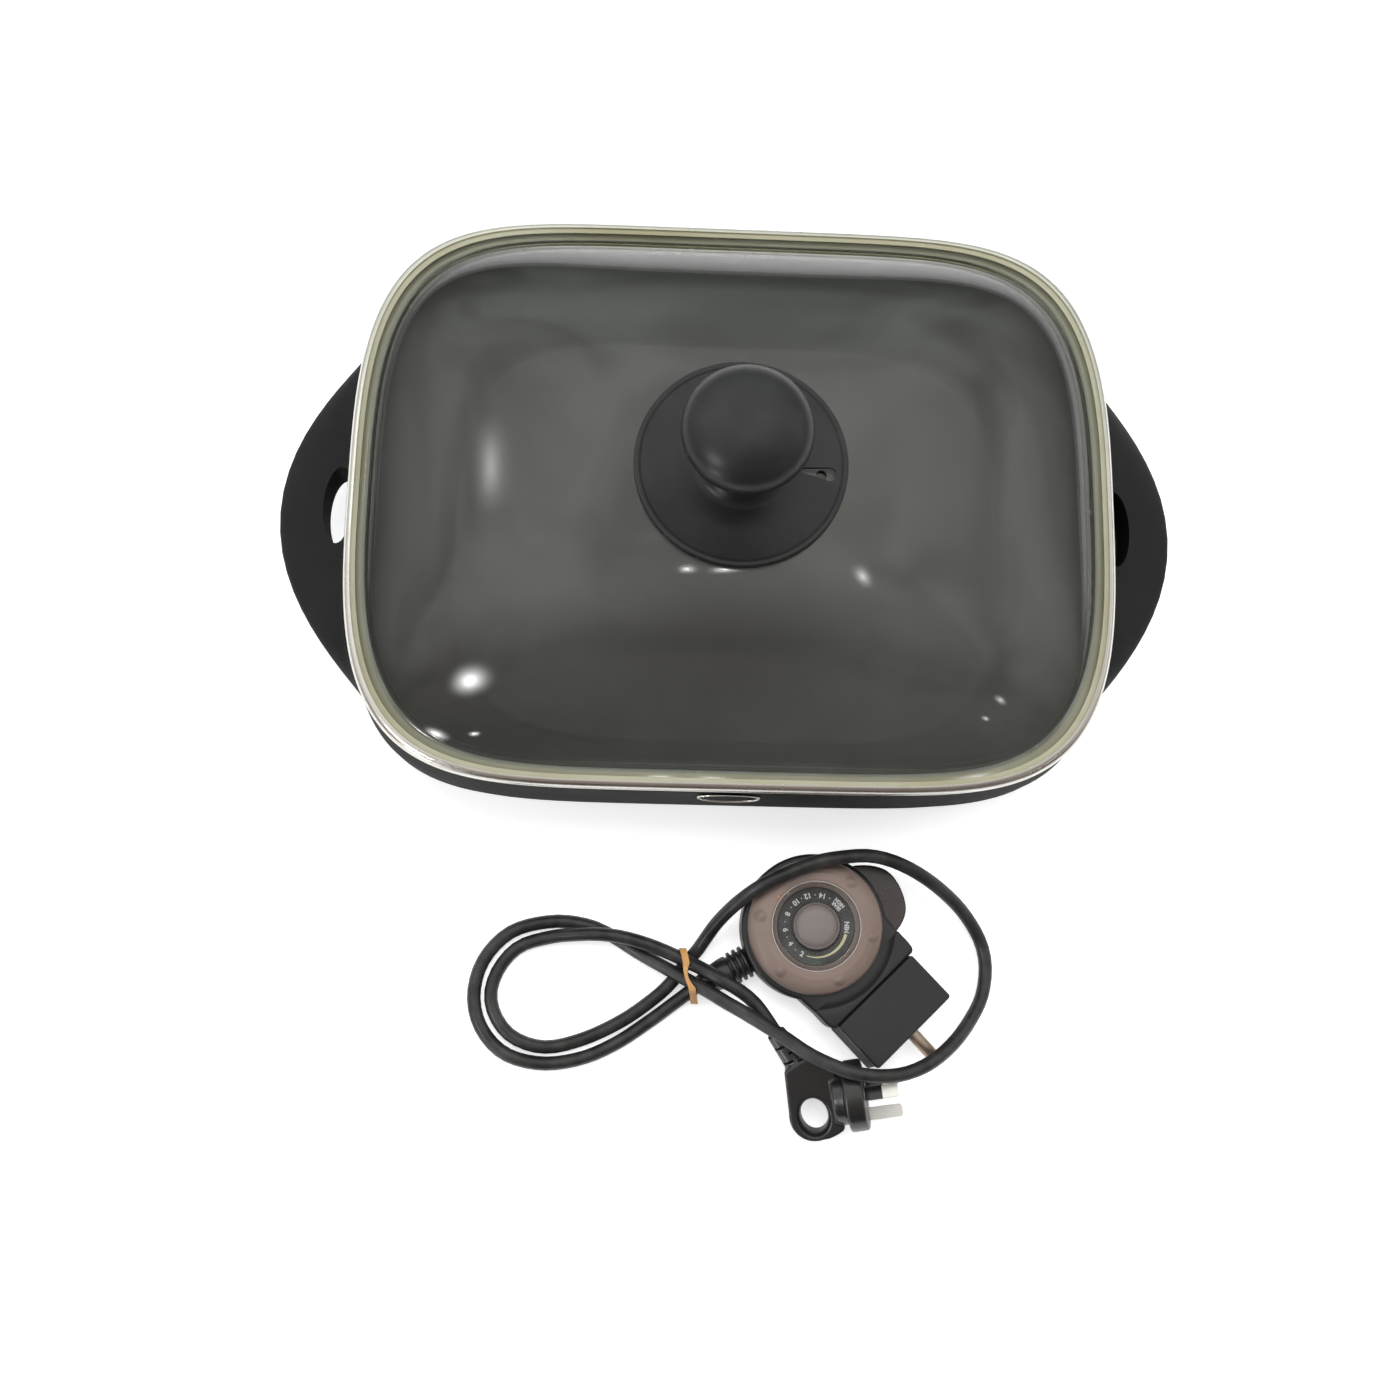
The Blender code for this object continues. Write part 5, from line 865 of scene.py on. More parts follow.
def pan_ring(share, height, grow=0.0):
    outline = rounded_outline(
        mix(PAN_FLOOR_HALF_LENGTH, GLASS_HALF_LENGTH - PAN_MOUTH_INSET, share) + grow,
        mix(PAN_FLOOR_HALF_WIDTH, GLASS_HALF_WIDTH - PAN_MOUTH_INSET, share) + grow,
        mix(4.6, END_POWER, share),
        mix(3.2, SIDE_POWER, share),
    )
    return at_height(outline, height)


def make_pan():
    rings = []
    for share, rise, outward, downward in PAN_ROWS:
        height = pan_floor_top + PAN_DEPTH * rise - PAN_FLOOR_THICKNESS * downward
        rings.append(pan_ring(share, height, PAN_WALL * outward))
    low = pan_lip_top - PAN_LIP_THICKNESS
    grow = PAN_MOUTH_INSET + PAN_LIP_REACH
    rings += [pan_ring(1.0, low, PAN_WALL / 2), pan_ring(1.0, low, grow), pan_ring(1.0, pan_lip_top, grow)]
    rings += [pan_ring(1.0, pan_lip_top, 0.0008), pan_ring(1.0, pan_lip_top - 0.0006)]
    for share, rise, _, _ in reversed(PAN_ROWS):
        rings.append(pan_ring(share, pan_floor_top + PAN_DEPTH * rise))
    pan = smooth(ring_loft("coated_pan", rings, "capped"), 30)
    return dress(give(pan, pan_finish), "skillet", "pan_coating", "pan")


def make_boss():
    """The round boss on the pan's end that holds the tip of the probe, with its bore."""
    deselect()
    bpy.ops.mesh.primitive_cylinder_add(
        vertices=48, radius=BOSS_RADIUS, depth=BOSS_END - BOSS_START, rotation=(0.0, pi / 2, 0.0),
        location=((BOSS_START + BOSS_END) / 2, SKILLET_BACK, BOSS_HEIGHT),
    )
    boss = settle(bpy.context.object)
    boss.name = "probe_boss"
    bpy.ops.object.mode_set(mode="EDIT")
    bpy.ops.mesh.select_all(action="DESELECT")
    model = bmesh.from_edit_mesh(boss.data)
    for face in model.faces:
        face.select_set(face.normal.x > 0.9)
    bmesh.update_edit_mesh(boss.data)
    bpy.ops.mesh.inset(thickness=BOSS_WALL)
    bpy.ops.mesh.extrude_region_move(TRANSFORM_OT_translate={"value": (-BOSS_BORE, 0.0, 0.0)})
    bpy.ops.object.mode_set(mode="OBJECT")
    return dress(give(smooth(boss), pan_finish), "skillet", "pan_coating")


pan = make_pan()
make_boss()
print("pan:", len(pan.data.polygons), "faces")

# %% [markdown]
# The surround is the feature that takes the most skill: one moulded shell whose ends swell into handles and
# fall back to the body underneath, so that fingers fit through a slot. Each row below is one height of that
# form: how far up it is, how far it bulges, how much of the handle's reach it has, and how square its
# corners are. A smooth curve through the upper rows rounds the handle, and Solidify gives the wall.

# %% Surround rows
BASE_BOTTOM = 0.004
BASE_BULGE = 0.0045
BASE_WALL = 0.003
BASE_SIDE_POWER = 3.9
WING_REACH = 0.0425
WING_HALF_WIDTH = 0.100
WING_POWER = 1.3
HANDLE_ROWS = (
    (1.0, 0.85, 0.0, 0.0), (0.89, 0.93, 0.0, 0.3), (0.765, 0.98, 0.18, 0.8), (0.675, 1.0, 0.65, 1.0),
    (0.60, 1.0, 0.94, 1.0), (0.545, 1.0, 1.0, 1.0), (0.48, 1.0, 0.95, 1.0),
)
BODY_ROWS = (
    (0.466, 1.0, 0.12, 1.0), (0.456, 1.0, 0.0, 1.0), (0.055, 0.33, 0.0, 1.0), (0.02, 0.1, 0.0, 1.0),
    (0.006, -0.55, 0.0, 1.0), (0.0, -3.1, 0.0, 1.0),
)
BASE_POINTS = 160
SLOT_CENTRE = 0.1978
SLOT_HALF_DEPTH = 0.0083
SLOT_HALF_LENGTH = 0.020
SLOT_SLEEVE = 0.0022
PORT_HALF_WIDTH = 0.0292
PORT_BOTTOM = 0.0068
PORT_TOP = 0.0372
PORT_START = 0.1515
PORT_END = 0.190

base_top = pan_lip_top - PAN_LIP_THICKNESS - SEAT_GAP


def base_ring(rise, bulge, wing, corner):
    outset = BASE_BULGE * bulge
    side_power = mix(SIDE_POWER, BASE_SIDE_POWER, corner)
    outline = rounded_outline(
        GLASS_HALF_LENGTH + outset, GLASS_HALF_WIDTH + outset, END_POWER, side_power, BASE_POINTS
    )
    swollen = []
    for x, y in outline:
        swell = (1 - min(1.0, abs(y) / WING_HALF_WIDTH) ** 2) ** WING_POWER
        reach = WING_REACH * wing * swell
        swollen.append((x + (reach if x > 0 else -reach), y))
    return at_height(swollen, mix(BASE_BOTTOM, base_top, rise))


def ellipse(centre, half_x, half_y, count=56):
    turns = [2 * pi * index / count for index in range(count)]
    return [(centre[0] + half_x * cos(turn), centre[1] + half_y * sin(turn)) for turn in turns]


def box_outline(start, end, half):
    return [(start, -half), (end, -half), (end, half), (start, half)]


def upright(name, outline, low, high):
    return ring_loft(name, [at_height(outline, low), at_height(outline, high)], "capped")


handle_rows = [tuple(row) for row in smooth_route(HANDLE_ROWS, 4)]
print("surround rows:", len(handle_rows) + len(BODY_ROWS))

# %% Surround shell
def make_surround():
    rows = handle_rows + list(BODY_ROWS)
    rings = [base_ring(*row) for row in reversed(rows)]
    base = ring_loft("surround", rings)
    add_modifier(base, "Wall", "SOLIDIFY", thickness=BASE_WALL, offset=-1.0, use_even_offset=True)
    apply_modifiers(base)
    inset = BASE_WALL / 2 / BASE_BULGE
    lift = BASE_WALL / 2 / (base_top - BASE_BOTTOM)
    underside = mix(BASE_BOTTOM, base_top, BODY_ROWS[1][0]) - BASE_WALL
    for side in (1, -1):
        core_rows = handle_rows + list(BODY_ROWS[:2])
        core_rings = []
        for rise, bulge, wing, corner in core_rows:
            raised = rise + lift if rise < 0.5 else rise
            core_rings.append(base_ring(raised, bulge - inset, wing, corner))
        core = ring_loft("handle_core", core_rings[::-1], "capped")
        rim = ellipse((side * SLOT_CENTRE, 0.0), SLOT_HALF_DEPTH + SLOT_SLEEVE, SLOT_HALF_LENGTH + SLOT_SLEEVE)
        sleeve = upright("slot_sleeve", rim, underside, base_top)
        carve(sleeve, core, "INTERSECT")
        carve(base, sleeve, "UNION")
    for side in (1, -1):
        hole = ellipse((side * SLOT_CENTRE, 0.0), SLOT_HALF_DEPTH, SLOT_HALF_LENGTH)
        carve(base, upright("slot_tool", hole, underside, base_top + 0.002))
    port = box_outline(PORT_START, PORT_END, PORT_HALF_WIDTH)
    carve(base, upright("port_tool", port, PORT_BOTTOM, PORT_TOP))
    smooth(base, 38)
    return dress(give(base, moulding), "skillet", "black_moulding", "base_shell")


surround = make_surround()
print("surround:", len(surround.data.polygons), "faces")

# %% [markdown]
# A bare oval badge sits under the lid's bead at the front: a bright bezel round a black plate. The bezel
# grows thicker towards its lower end, so the plate leans back a little and the lower edge catches the light.

# %% Badge
BADGE_HALF_WIDTH = 0.0152
BADGE_HALF_HEIGHT = 0.0068
BADGE_BEZEL = 0.0011
BADGE_TOP_DEPTH = 0.0003
BADGE_LOW_DEPTH = 0.0020
BADGE_DROP = 0.0078
BADGE_SHIFT = 0.0003


def badge_depth(y):
    share = (1 - y / BADGE_HALF_HEIGHT) / 2
    return mix(BADGE_TOP_DEPTH, BADGE_LOW_DEPTH, min(1.0, max(0.0, share)) ** 1.4)


def make_badge():
    face = SKILLET_BACK - (GLASS_HALF_WIDTH + BASE_BULGE + SEAT_GAP)
    standing = Matrix.Translation((BADGE_SHIFT, face, base_top - BADGE_DROP)) @ Matrix.Rotation(pi / 2, 4, "X")
    middle_x, middle_y = BADGE_HALF_WIDTH - BADGE_BEZEL / 2, BADGE_HALF_HEIGHT - BADGE_BEZEL / 2
    rings = []
    for offset, rise in arc((0.0, 0.0), 1.0, 0, 180, 8):
        outline = ellipse((0.0, 0.0), middle_x + offset * BADGE_BEZEL / 2, middle_y + offset * BADGE_BEZEL / 2, 72)
        rings.append([Vector((x, y, badge_depth(y) * (0.15 + 0.85 * rise))) for x, y in outline])
    for offset in (-1.0, 1.0):
        outline = ellipse((0.0, 0.0), middle_x + offset * BADGE_BEZEL / 2, middle_y + offset * BADGE_BEZEL / 2, 72)
        rings.append([Vector((x, y, 0.0)) for x, y in outline])
    bezel = smooth(moved(ring_loft("badge_rim", rings, "joined"), standing), 60)
    dress(give(bezel, steel_finish), "skillet", "stainless_steel", "badge_bezel")
    inner_x, inner_y = BADGE_HALF_WIDTH - BADGE_BEZEL, BADGE_HALF_HEIGHT - BADGE_BEZEL
    rings = []
    for grow, share in ((0.0, 0.0), (0.0, 0.55), (0.0005, 0.7), (0.002, 0.72)):
        outline = ellipse((0.0, 0.0), inner_x - grow, inner_y - grow, 72)
        rings.append([Vector((x, y, badge_depth(y) * share)) for x, y in outline])
    plate = smooth(moved(ring_loft("badge_field", rings, "capped"), standing), 40)
    dress(give(plate, moulding), "skillet", "black_moulding", "badge_plate")


make_badge()

# %% [markdown]
# Small turned and drilled pieces already have the right shape. A copy of each is merged along its edges and
# shaded smooth, so that its facets don't show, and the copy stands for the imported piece.

# %% Smooth copies
def smoothed_copy(node, name, body, slot, material):
    mesh = nodes[node].data.copy()
    mesh.name = name
    piece = bpy.data.objects.new(name, mesh)
    bpy.context.scene.collection.objects.link(piece)
    smooth(merge(piece, 0.000005, outward=False))
    return dress(give(piece, material), body, slot, node)


COPIES = [
    ("probe_port", "port_tunnel", "skillet", "black_moulding", moulding),
    ("bottom_cover", "vented_cover", "skillet", "black_moulding", moulding),
    ("terminal_front", "front_pin", "skillet", "plated_steel", plated_finish),
    ("terminal_back", "back_pin", "skillet", "plated_steel", plated_finish),
    ("knob_washer", "glass_washer", "lid", "foot_rubber", foot_finish),
    ("knob_screw", "dome_screw", "knob", "stainless_steel", steel_finish),
]
for end in ("right", "left"):
    for face in ("front", "back"):
        label = end + "_" + face
        COPIES.append(("foot_" + label, "pad_" + label, "skillet", "foot_rubber", foot_finish))
        COPIES.append(("foot_screw_" + label, "pad_screw_" + label, "skillet", "plated_steel", plated_finish))
for row in COPIES:
    smoothed_copy(*row)
print("smooth copies:", len(COPIES))

# %% Closed or not
def is_closed(piece):
    """True where every edge of the mesh has two faces."""
    model = bmesh.new()
    model.from_mesh(piece.data)
    closed = len(model.faces) > 0 and all(edge.is_manifold for edge in model.edges)
    model.free()
    return closed


# %% [markdown]
# Now the heat control. Its own frame has the dial's axis at the origin and the probe along +X, so each
# piece is modelled there and moved to its place at the end. The drum under the dial has soft shoulders that
# run into the block.

# %% Control housing
HOUSING_RADIUS = 0.037
HOUSING_TOP = 0.022
HOUSING_BOTTOM = 0.0021
HOUSING_WALL = 0.0022
BLOCK_START = 0.0437
BLOCK_DEPTH = 0.0285
BLOCK_WIDTH = 0.052
BLOCK_BOTTOM = 0.001
BLOCK_FLARE = 0.0021
BLOCK_HEIGHT = 0.024
NECK_HALF_WIDTH = 0.0294
NECK_END_HALF_WIDTH = 0.0272
NECK_TOP = 0.0246
TRIGGER_MIDDLE = 69.0
TRIGGER_REACH = 0.0496
TRIGGER_HALF_WIDTH = 0.0212
TRIGGER_BOTTOM = 0.0055
TRIGGER_HEIGHT = 0.0135
TRIGGER_CLEARANCE = 0.0004
TRIGGER_EDGE = 0.0012
LIP_RADIUS = HOUSING_RADIUS - HOUSING_WALL - SEAT_GAP
LIP_THICKNESS = 0.0026
LIP_REACH = 0.0016
block_end = BLOCK_START + BLOCK_DEPTH
probe_axis = BLOCK_BOTTOM + BLOCK_HEIGHT / 2


def neck_side(shrink):
    """The neck's side from the drum to the block: straight, then rounded in."""
    half, end_half, end = NECK_HALF_WIDTH - shrink, NECK_END_HALF_WIDTH - shrink, BLOCK_START - SEAT_GAP - shrink
    return [(0.032, half), (0.0385, half), (0.0408, half - 0.0003), (0.0424, half - 0.0009), (end, end_half)]


def housing_outline(shrink=0.0):
    side = neck_side(shrink)
    points = arc((0.0, 0.0), HOUSING_RADIUS - shrink, 55, 305, 96)
    return points + [(x, -y) for x, y in side] + side[::-1]


def neck_outline(shrink=0.0):
    side = [(0.031, NECK_HALF_WIDTH - shrink)] + neck_side(shrink)[1:]
    return [(x, -y) for x, y in side] + side[::-1]


def flat_ring(outline, height):
    return [Vector((x, y, height)) for x, y in outline]


def extruded(name, outline, low, high):
    return ring_loft(name, [flat_ring(outline, low), flat_ring(outline, high)], "capped")


def soft_slab(name, outline_at, low, high, edge, steps=5):
    """A flat form with rounded upper and lower edges, from an outline function of the shrink."""
    turns = [pi / 2 * step / steps for step in range(steps + 1)]
    rows = [(edge * (1 - sin(turn)), low + edge * (1 - cos(turn))) for turn in turns]
    rows += [(edge * (1 - cos(turn)), high - edge * (1 - sin(turn))) for turn in turns]
    return ring_loft(name, [flat_ring(outline_at(shrink), height) for shrink, height in rows], "capped")


def across_circle(radius, y):
    return (radius**2 - y**2) ** 0.5, y


def trigger_window():
    half = TRIGGER_HALF_WIDTH + TRIGGER_CLEARANCE
    inner = across_circle(LIP_RADIUS - LIP_THICKNESS, half)[0]
    low, high = TRIGGER_BOTTOM - TRIGGER_CLEARANCE, TRIGGER_BOTTOM + TRIGGER_HEIGHT + TRIGGER_CLEARANCE
    tool = extruded("window_tool", box_outline(inner, TRIGGER_REACH, half), low, high)
    return moved(tool, Matrix.Rotation(radians(TRIGGER_MIDDLE), 4, "Z"))


DISH_PROFILE = (
    (0.0, 0.0219), (0.0362, 0.0219), (0.0380, 0.02225), (0.0396, 0.0229), (0.0408, 0.0238), (0.0415, 0.0243),
    (0.0422, 0.0245), (0.0430, 0.02458), (0.0445, 0.0246), (0.060, 0.0247), (0.060, 0.04), (0.0, 0.04),
)


def make_housing():
    """The drum, and on it the neck, whose top is dished round the dial so that a soft crest is left."""
    housing = soft_slab("drum_housing", housing_outline, HOUSING_BOTTOM, HOUSING_TOP, 0.0016)
    neck = soft_slab("neck_tool", neck_outline, HOUSING_BOTTOM + 0.004, NECK_TOP, 0.0014)
    carve(neck, turned("dish_tool", DISH_PROFILE, 160))
    carve(housing, neck, "UNION")
    carve(housing, extruded("well_tool", housing_outline(HOUSING_WALL), 0.0, HOUSING_TOP - HOUSING_WALL))
    deselect()
    bpy.ops.mesh.primitive_cylinder_add(vertices=48, radius=0.0088, depth=0.05)
    carve(housing, settle(bpy.context.object))
    carve(housing, trigger_window())
    smooth(moved(housing, control_frame), 35)
    return dress(give(housing, control_moulding), "control", "control_black", "control_housing")


housing = make_housing()
print("housing:", len(housing.data.polygons), "faces, closed:", is_closed(housing))

# %% [markdown]
# The dial is a taupe ring that turns, with six soft bumps for the fingers and a small red pip as pointer.
# The bumps are raised in the turned mesh itself: each point near a bump's centre is lifted by a smooth bell
# curve, which keeps the surface in one piece.

# %% Dial ring
DIAL_RADIUS = 0.034
DIAL_TOP = 0.0330
DIAL_CROWN_RADIUS = 0.0265
DIAL_WELL_RADIUS = 0.0222
DIAL_EDGE = 0.0275
DIAL_BOTTOM = 0.0223
BUMP_ANGLES = (52.0, 114.0, 171.0, 231.0, 293.0, 351.0)
BUMP_DISTANCE = 0.0287
BUMP_RADIUS = 0.0034
BUMP_HEIGHT = 0.0018
DIAL_CONE_RADIUS = 0.01975
PIP_ANGLE = 144.0
PIP_DISTANCE = 0.0240
PIP_HALF_LENGTH = 0.0011
LENS_THICKNESS = 0.0012
PLATE_TOP = 0.0294
POST_RADIUS = 0.0048


def make_dial():
    top = []
    crown = [(DIAL_CROWN_RADIUS, DIAL_TOP), (0.0299, 0.0319), (0.0329, 0.0297), (DIAL_RADIUS, DIAL_EDGE)]
    for point in smooth_route([(x, 0.0, z) for x, z in crown], 10):
        top.append((point.x, point.z))
    flat = [(mix(DIAL_WELL_RADIUS + 0.0014, DIAL_CROWN_RADIUS, i / 8), DIAL_TOP) for i in range(8)]
    profile = [(DIAL_WELL_RADIUS, DIAL_TOP - 0.0008), (DIAL_WELL_RADIUS + 0.0004, DIAL_TOP - 0.0002)]
    profile += flat + top + [(DIAL_RADIUS, DIAL_BOTTOM), (POST_RADIUS, DIAL_BOTTOM), (POST_RADIUS, 0.0245)]
    profile += [(DIAL_CONE_RADIUS, 0.0245), (DIAL_CONE_RADIUS, PLATE_TOP), (DIAL_WELL_RADIUS, DIAL_TOP - 0.0021)]
    dial = turned("dial_grip", profile, 256, closed=True)
    for vert in dial.data.vertices:
        if vert.co.z < 0.0285:
            continue
        for angle in BUMP_ANGLES:
            turn = radians(angle - CONTROL_TURN)
            away = Vector((vert.co.x - BUMP_DISTANCE * cos(turn), vert.co.y - BUMP_DISTANCE * sin(turn)))
            share = min(1.0, away.length / BUMP_RADIUS)
            vert.co.z += BUMP_HEIGHT * (1 - share**2) ** 1.5
    smooth(moved(dial, control_frame), 50)
    dress(give(dial, taupe), "dial", "taupe_moulding", "dial_ring")
    return dial


def make_pip():
    turn = radians(PIP_ANGLE - CONTROL_TURN)
    rows = ((0.0008, 0.0), (0.0008, 0.0005), (0.0005, 0.0008))
    rings = []
    for size, rise in rows:
        outline = ellipse((PIP_DISTANCE, 0.0), PIP_HALF_LENGTH * size / 0.0008, size, 24)
        rings.append(flat_ring(outline, DIAL_TOP - 0.0002 + rise))
    pip = moved(ring_loft("pointer_pip", rings, "capped"), control_frame @ Matrix.Rotation(turn, 4, "Z"))
    return dress(give(smooth(pip, 50), pip_finish), "dial", "taupe_moulding")


dial = make_dial()
make_pip()
print("dial:", len(dial.data.polygons), "faces")

# %% [markdown]
# Under a clear lens lies the fixed black plate with its scale, and the bare cap in the middle. The lens is
# a thin clear ring that slopes down from the dial to the cap.

# %% Lens, plate and cap
CAP_RADIUS = 0.0117
CAP_CROWN = 0.0014
LENS_HIGHLIGHT_RADIUS = 0.00028
PLATE_RADIUS = 0.0194


def make_lens():
    top = PLATE_TOP + SEAT_GAP + LENS_THICKNESS
    outer = DIAL_WELL_RADIUS - SEAT_GAP
    inner = CAP_RADIUS + SEAT_GAP
    profile = [
        (inner, top - 0.0002), (inner + 0.0003, top), (mix(inner, outer, 0.7), top + 0.0008),
        (outer - 0.0005, DIAL_TOP - 0.0006), (outer, DIAL_TOP - 0.0008), (outer, DIAL_TOP - 0.0018),
        (mix(inner, outer, 0.7), PLATE_TOP + SEAT_GAP), (inner, PLATE_TOP + SEAT_GAP),
    ]
    lens = smooth(moved(turned("scale_lens", profile, 96, closed=True), control_frame), 50)
    return dress(give(lens, lens_finish), "dial", "clear_lens", "dial_lens")


def make_lens_highlight_ring():
    """A pale grey ring where the lens meets the dial: its brightness is a painted highlight, not the lens's own
    colour.
    """
    middle = (DIAL_WELL_RADIUS + 0.0001, DIAL_TOP - 0.0005)
    ring = turned("lens_highlight_ring", arc(middle, LENS_HIGHLIGHT_RADIUS, 0, 330, 11), 128, closed=True)
    edge = smooth(moved(ring, control_frame), 60)
    return dress(give(edge, lens_highlight_finish), "dial", "clear_lens")


def make_plate():
    rim = PLATE_RADIUS
    profile = [
        (0.0, PLATE_TOP), (rim - 0.0003, PLATE_TOP), (rim, PLATE_TOP - 0.0003), (rim, PLATE_TOP - 0.002),
        (0.0045, PLATE_TOP - 0.002), (0.0045, HOUSING_BOTTOM), (0.0, HOUSING_BOTTOM),
    ]
    plate = smooth(moved(turned("scale_plate", profile, 96), control_frame), 40)
    return dress(give(plate, plate_finish), "control", "plate_black", "number_plate")


def make_cap():
    rim = DIAL_TOP - 0.0003
    profile = [
        (0.0, DIAL_TOP + CAP_CROWN * 0.55), (0.004, DIAL_TOP + CAP_CROWN * 0.5),
        (0.0075, DIAL_TOP + CAP_CROWN * 0.3), (0.0095, DIAL_TOP), (0.0101, rim - 0.0006),
        (0.0104, rim - 0.0007), (0.0106, rim - 0.0003), (0.0108, rim + 0.0001), (0.0111, rim + 0.0003),
        (0.0114, rim + 0.0001), (0.0116, rim - 0.0003), (CAP_RADIUS, rim - 0.0008),
        (CAP_RADIUS, PLATE_TOP + SEAT_GAP), (0.0, PLATE_TOP + SEAT_GAP),
    ]
    cap = smooth(moved(turned("centre_cap", profile, 96), control_frame), 50)
    return dress(give(cap, cap_finish), "control", "taupe_moulding", "dial_cap")


make_lens()
make_lens_highlight_ring()
make_plate()
make_cap()

# %% [markdown]
# The scale reads from 2 to 14 by twos, with a dot between the numbers, then HIGH SEAR, and MIN at the low
# end of a pale arc. Each word is a text object that is flattened, set on its angle with its top towards
# the centre, and turned into a mesh.

# %% Scale
SCALE_RADIUS = 0.0158
SCALE_LIFT = 0.00004
WORD_BOLDNESS = 0.00013
WORD_THICKNESS = 0.00003
DOT_RADIUS = 0.0003
ARC_RADIUS = 0.0156
ARC_ANGLES = (252.6, 346.0)
ARC_HALF_WIDTHS = (0.0002, 0.0008)
ARC_STEPS = 60
SCALE_MARKS = (
    ("MIN", -1.0, 0.0033, 0.0), ("HIGH", 45.0, 0.0025, 0.00115), ("SEAR", 45.0, 0.0025, -0.00115),
    ("14", 78.0, 0.0036, 0.0), ("12", 106.0, 0.0036, 0.0), ("10", 130.6, 0.0036, 0.0), ("8", 158.0, 0.0036, 0.0),
    ("6", 188.0, 0.0036, 0.0), ("4", 214.7, 0.0036, 0.0), ("2", 243.0, 0.0036, 0.0),
)
DOT_ANGLES = (64.0, 92.0, 118.5, 144.5, 173.0, 201.5, 229.0)


def make_word(text, angle, size, outward):
    curve = bpy.data.curves.new("mark_" + text, "FONT")
    curve.body = text
    curve.size = size
    curve.align_x = "CENTER"
    curve.align_y = "CENTER"
    curve.offset = WORD_BOLDNESS
    curve.extrude = WORD_THICKNESS
    word = bpy.data.objects.new("mark_" + text, curve)
    bpy.context.scene.collection.objects.link(word)
    choose(word)
    bpy.ops.object.convert(target="MESH")
    word = bpy.context.object
    turn = radians(angle)
    place = Matrix.Translation(Vector(CONTROL_PLACE)) @ Matrix.Rotation(turn, 4, "Z")
    place = place @ Matrix.Translation((SCALE_RADIUS + outward, 0.0, PLATE_TOP + SCALE_LIFT))
    moved(word, place @ Matrix.Rotation(pi / 2, 4, "Z"))
    return dress(give(word, print_finish), "control", "plate_black")


def make_scale():
    for text, angle, size, outward in SCALE_MARKS:
        make_word(text, angle, size, outward)
    low, high = PLATE_TOP + SCALE_LIFT, PLATE_TOP + SCALE_LIFT * 2
    for index, angle in enumerate(DOT_ANGLES):
        dot = ellipse((SCALE_RADIUS, 0.0), DOT_RADIUS, DOT_RADIUS, 12)
        piece = extruded("scale_dot_" + str(index), dot, low, high)
        place = Matrix.Translation(Vector(CONTROL_PLACE)) @ Matrix.Rotation(radians(angle), 4, "Z")
        dress(give(moved(piece, place), print_finish), "control", "plate_black")
    band = []
    for side in (1, -1):
        for step in range(ARC_STEPS + 1):
            share = step / ARC_STEPS if side > 0 else 1 - step / ARC_STEPS
            turn, radius = radians(mix(*ARC_ANGLES, share)), ARC_RADIUS + side * mix(*ARC_HALF_WIDTHS, share)
            band.append((radius * cos(turn), radius * sin(turn)))
    piece = extruded("scale_arc", band, low, high)
    dress(give(moved(piece, Matrix.Translation(Vector(CONTROL_PLACE))), arc_finish), "control", "plate_black")


make_scale()

# %% [markdown]
# The contact block plugs into the pan's end: a plain box with softened edges, bores for the pan's two pins
# and the bright rod that feels the pan's heat. The trigger is a crescent on the drum's side. Its softened
# edges come from a bevel that is applied, and weighted normals keep the flat faces flat to the eye.

# %% Block, rod and trigger
BLOCK_CORNER = 0.0016
BLOCK_EDGE = 0.0014
BLOCK_ROWS = ((0.0009, 0.0), (0.0003, 0.0003), (0.0, 0.001), (0.0, 0.004), (0.0, 0.008), (0.0, 0.013))
BLOCK_BORES = ((-0.014, 0.0034, 0.021), (0.014, 0.0034, 0.021), (0.0, 0.0036, 0.0123))
SEAM_HALF = 0.0002
SEAM_DEPTH = 0.0003
ROD_RADIUS = 0.0033
ROD_LENGTH = 0.032


def weigh(piece):
    add_modifier(piece, "Even", "WEIGHTED_NORMAL", keep_sharp=True, weight=60)
    return apply_modifiers(piece)


def rod(name, radius, length, edge, steps=48):
    """A rod along +X from the origin, with a rounded far end."""
    profile = [(0.0, 0.0), (radius, 0.0), (radius, length - edge)]
    for turn in (radians(22), radians(45), radians(68), radians(90)):
        profile.append((radius - edge + edge * cos(turn), length - edge + edge * sin(turn)))
    profile.append((0.0, length))
    return moved(turned(name, profile, steps), Matrix.Rotation(pi / 2, 4, "Y"))


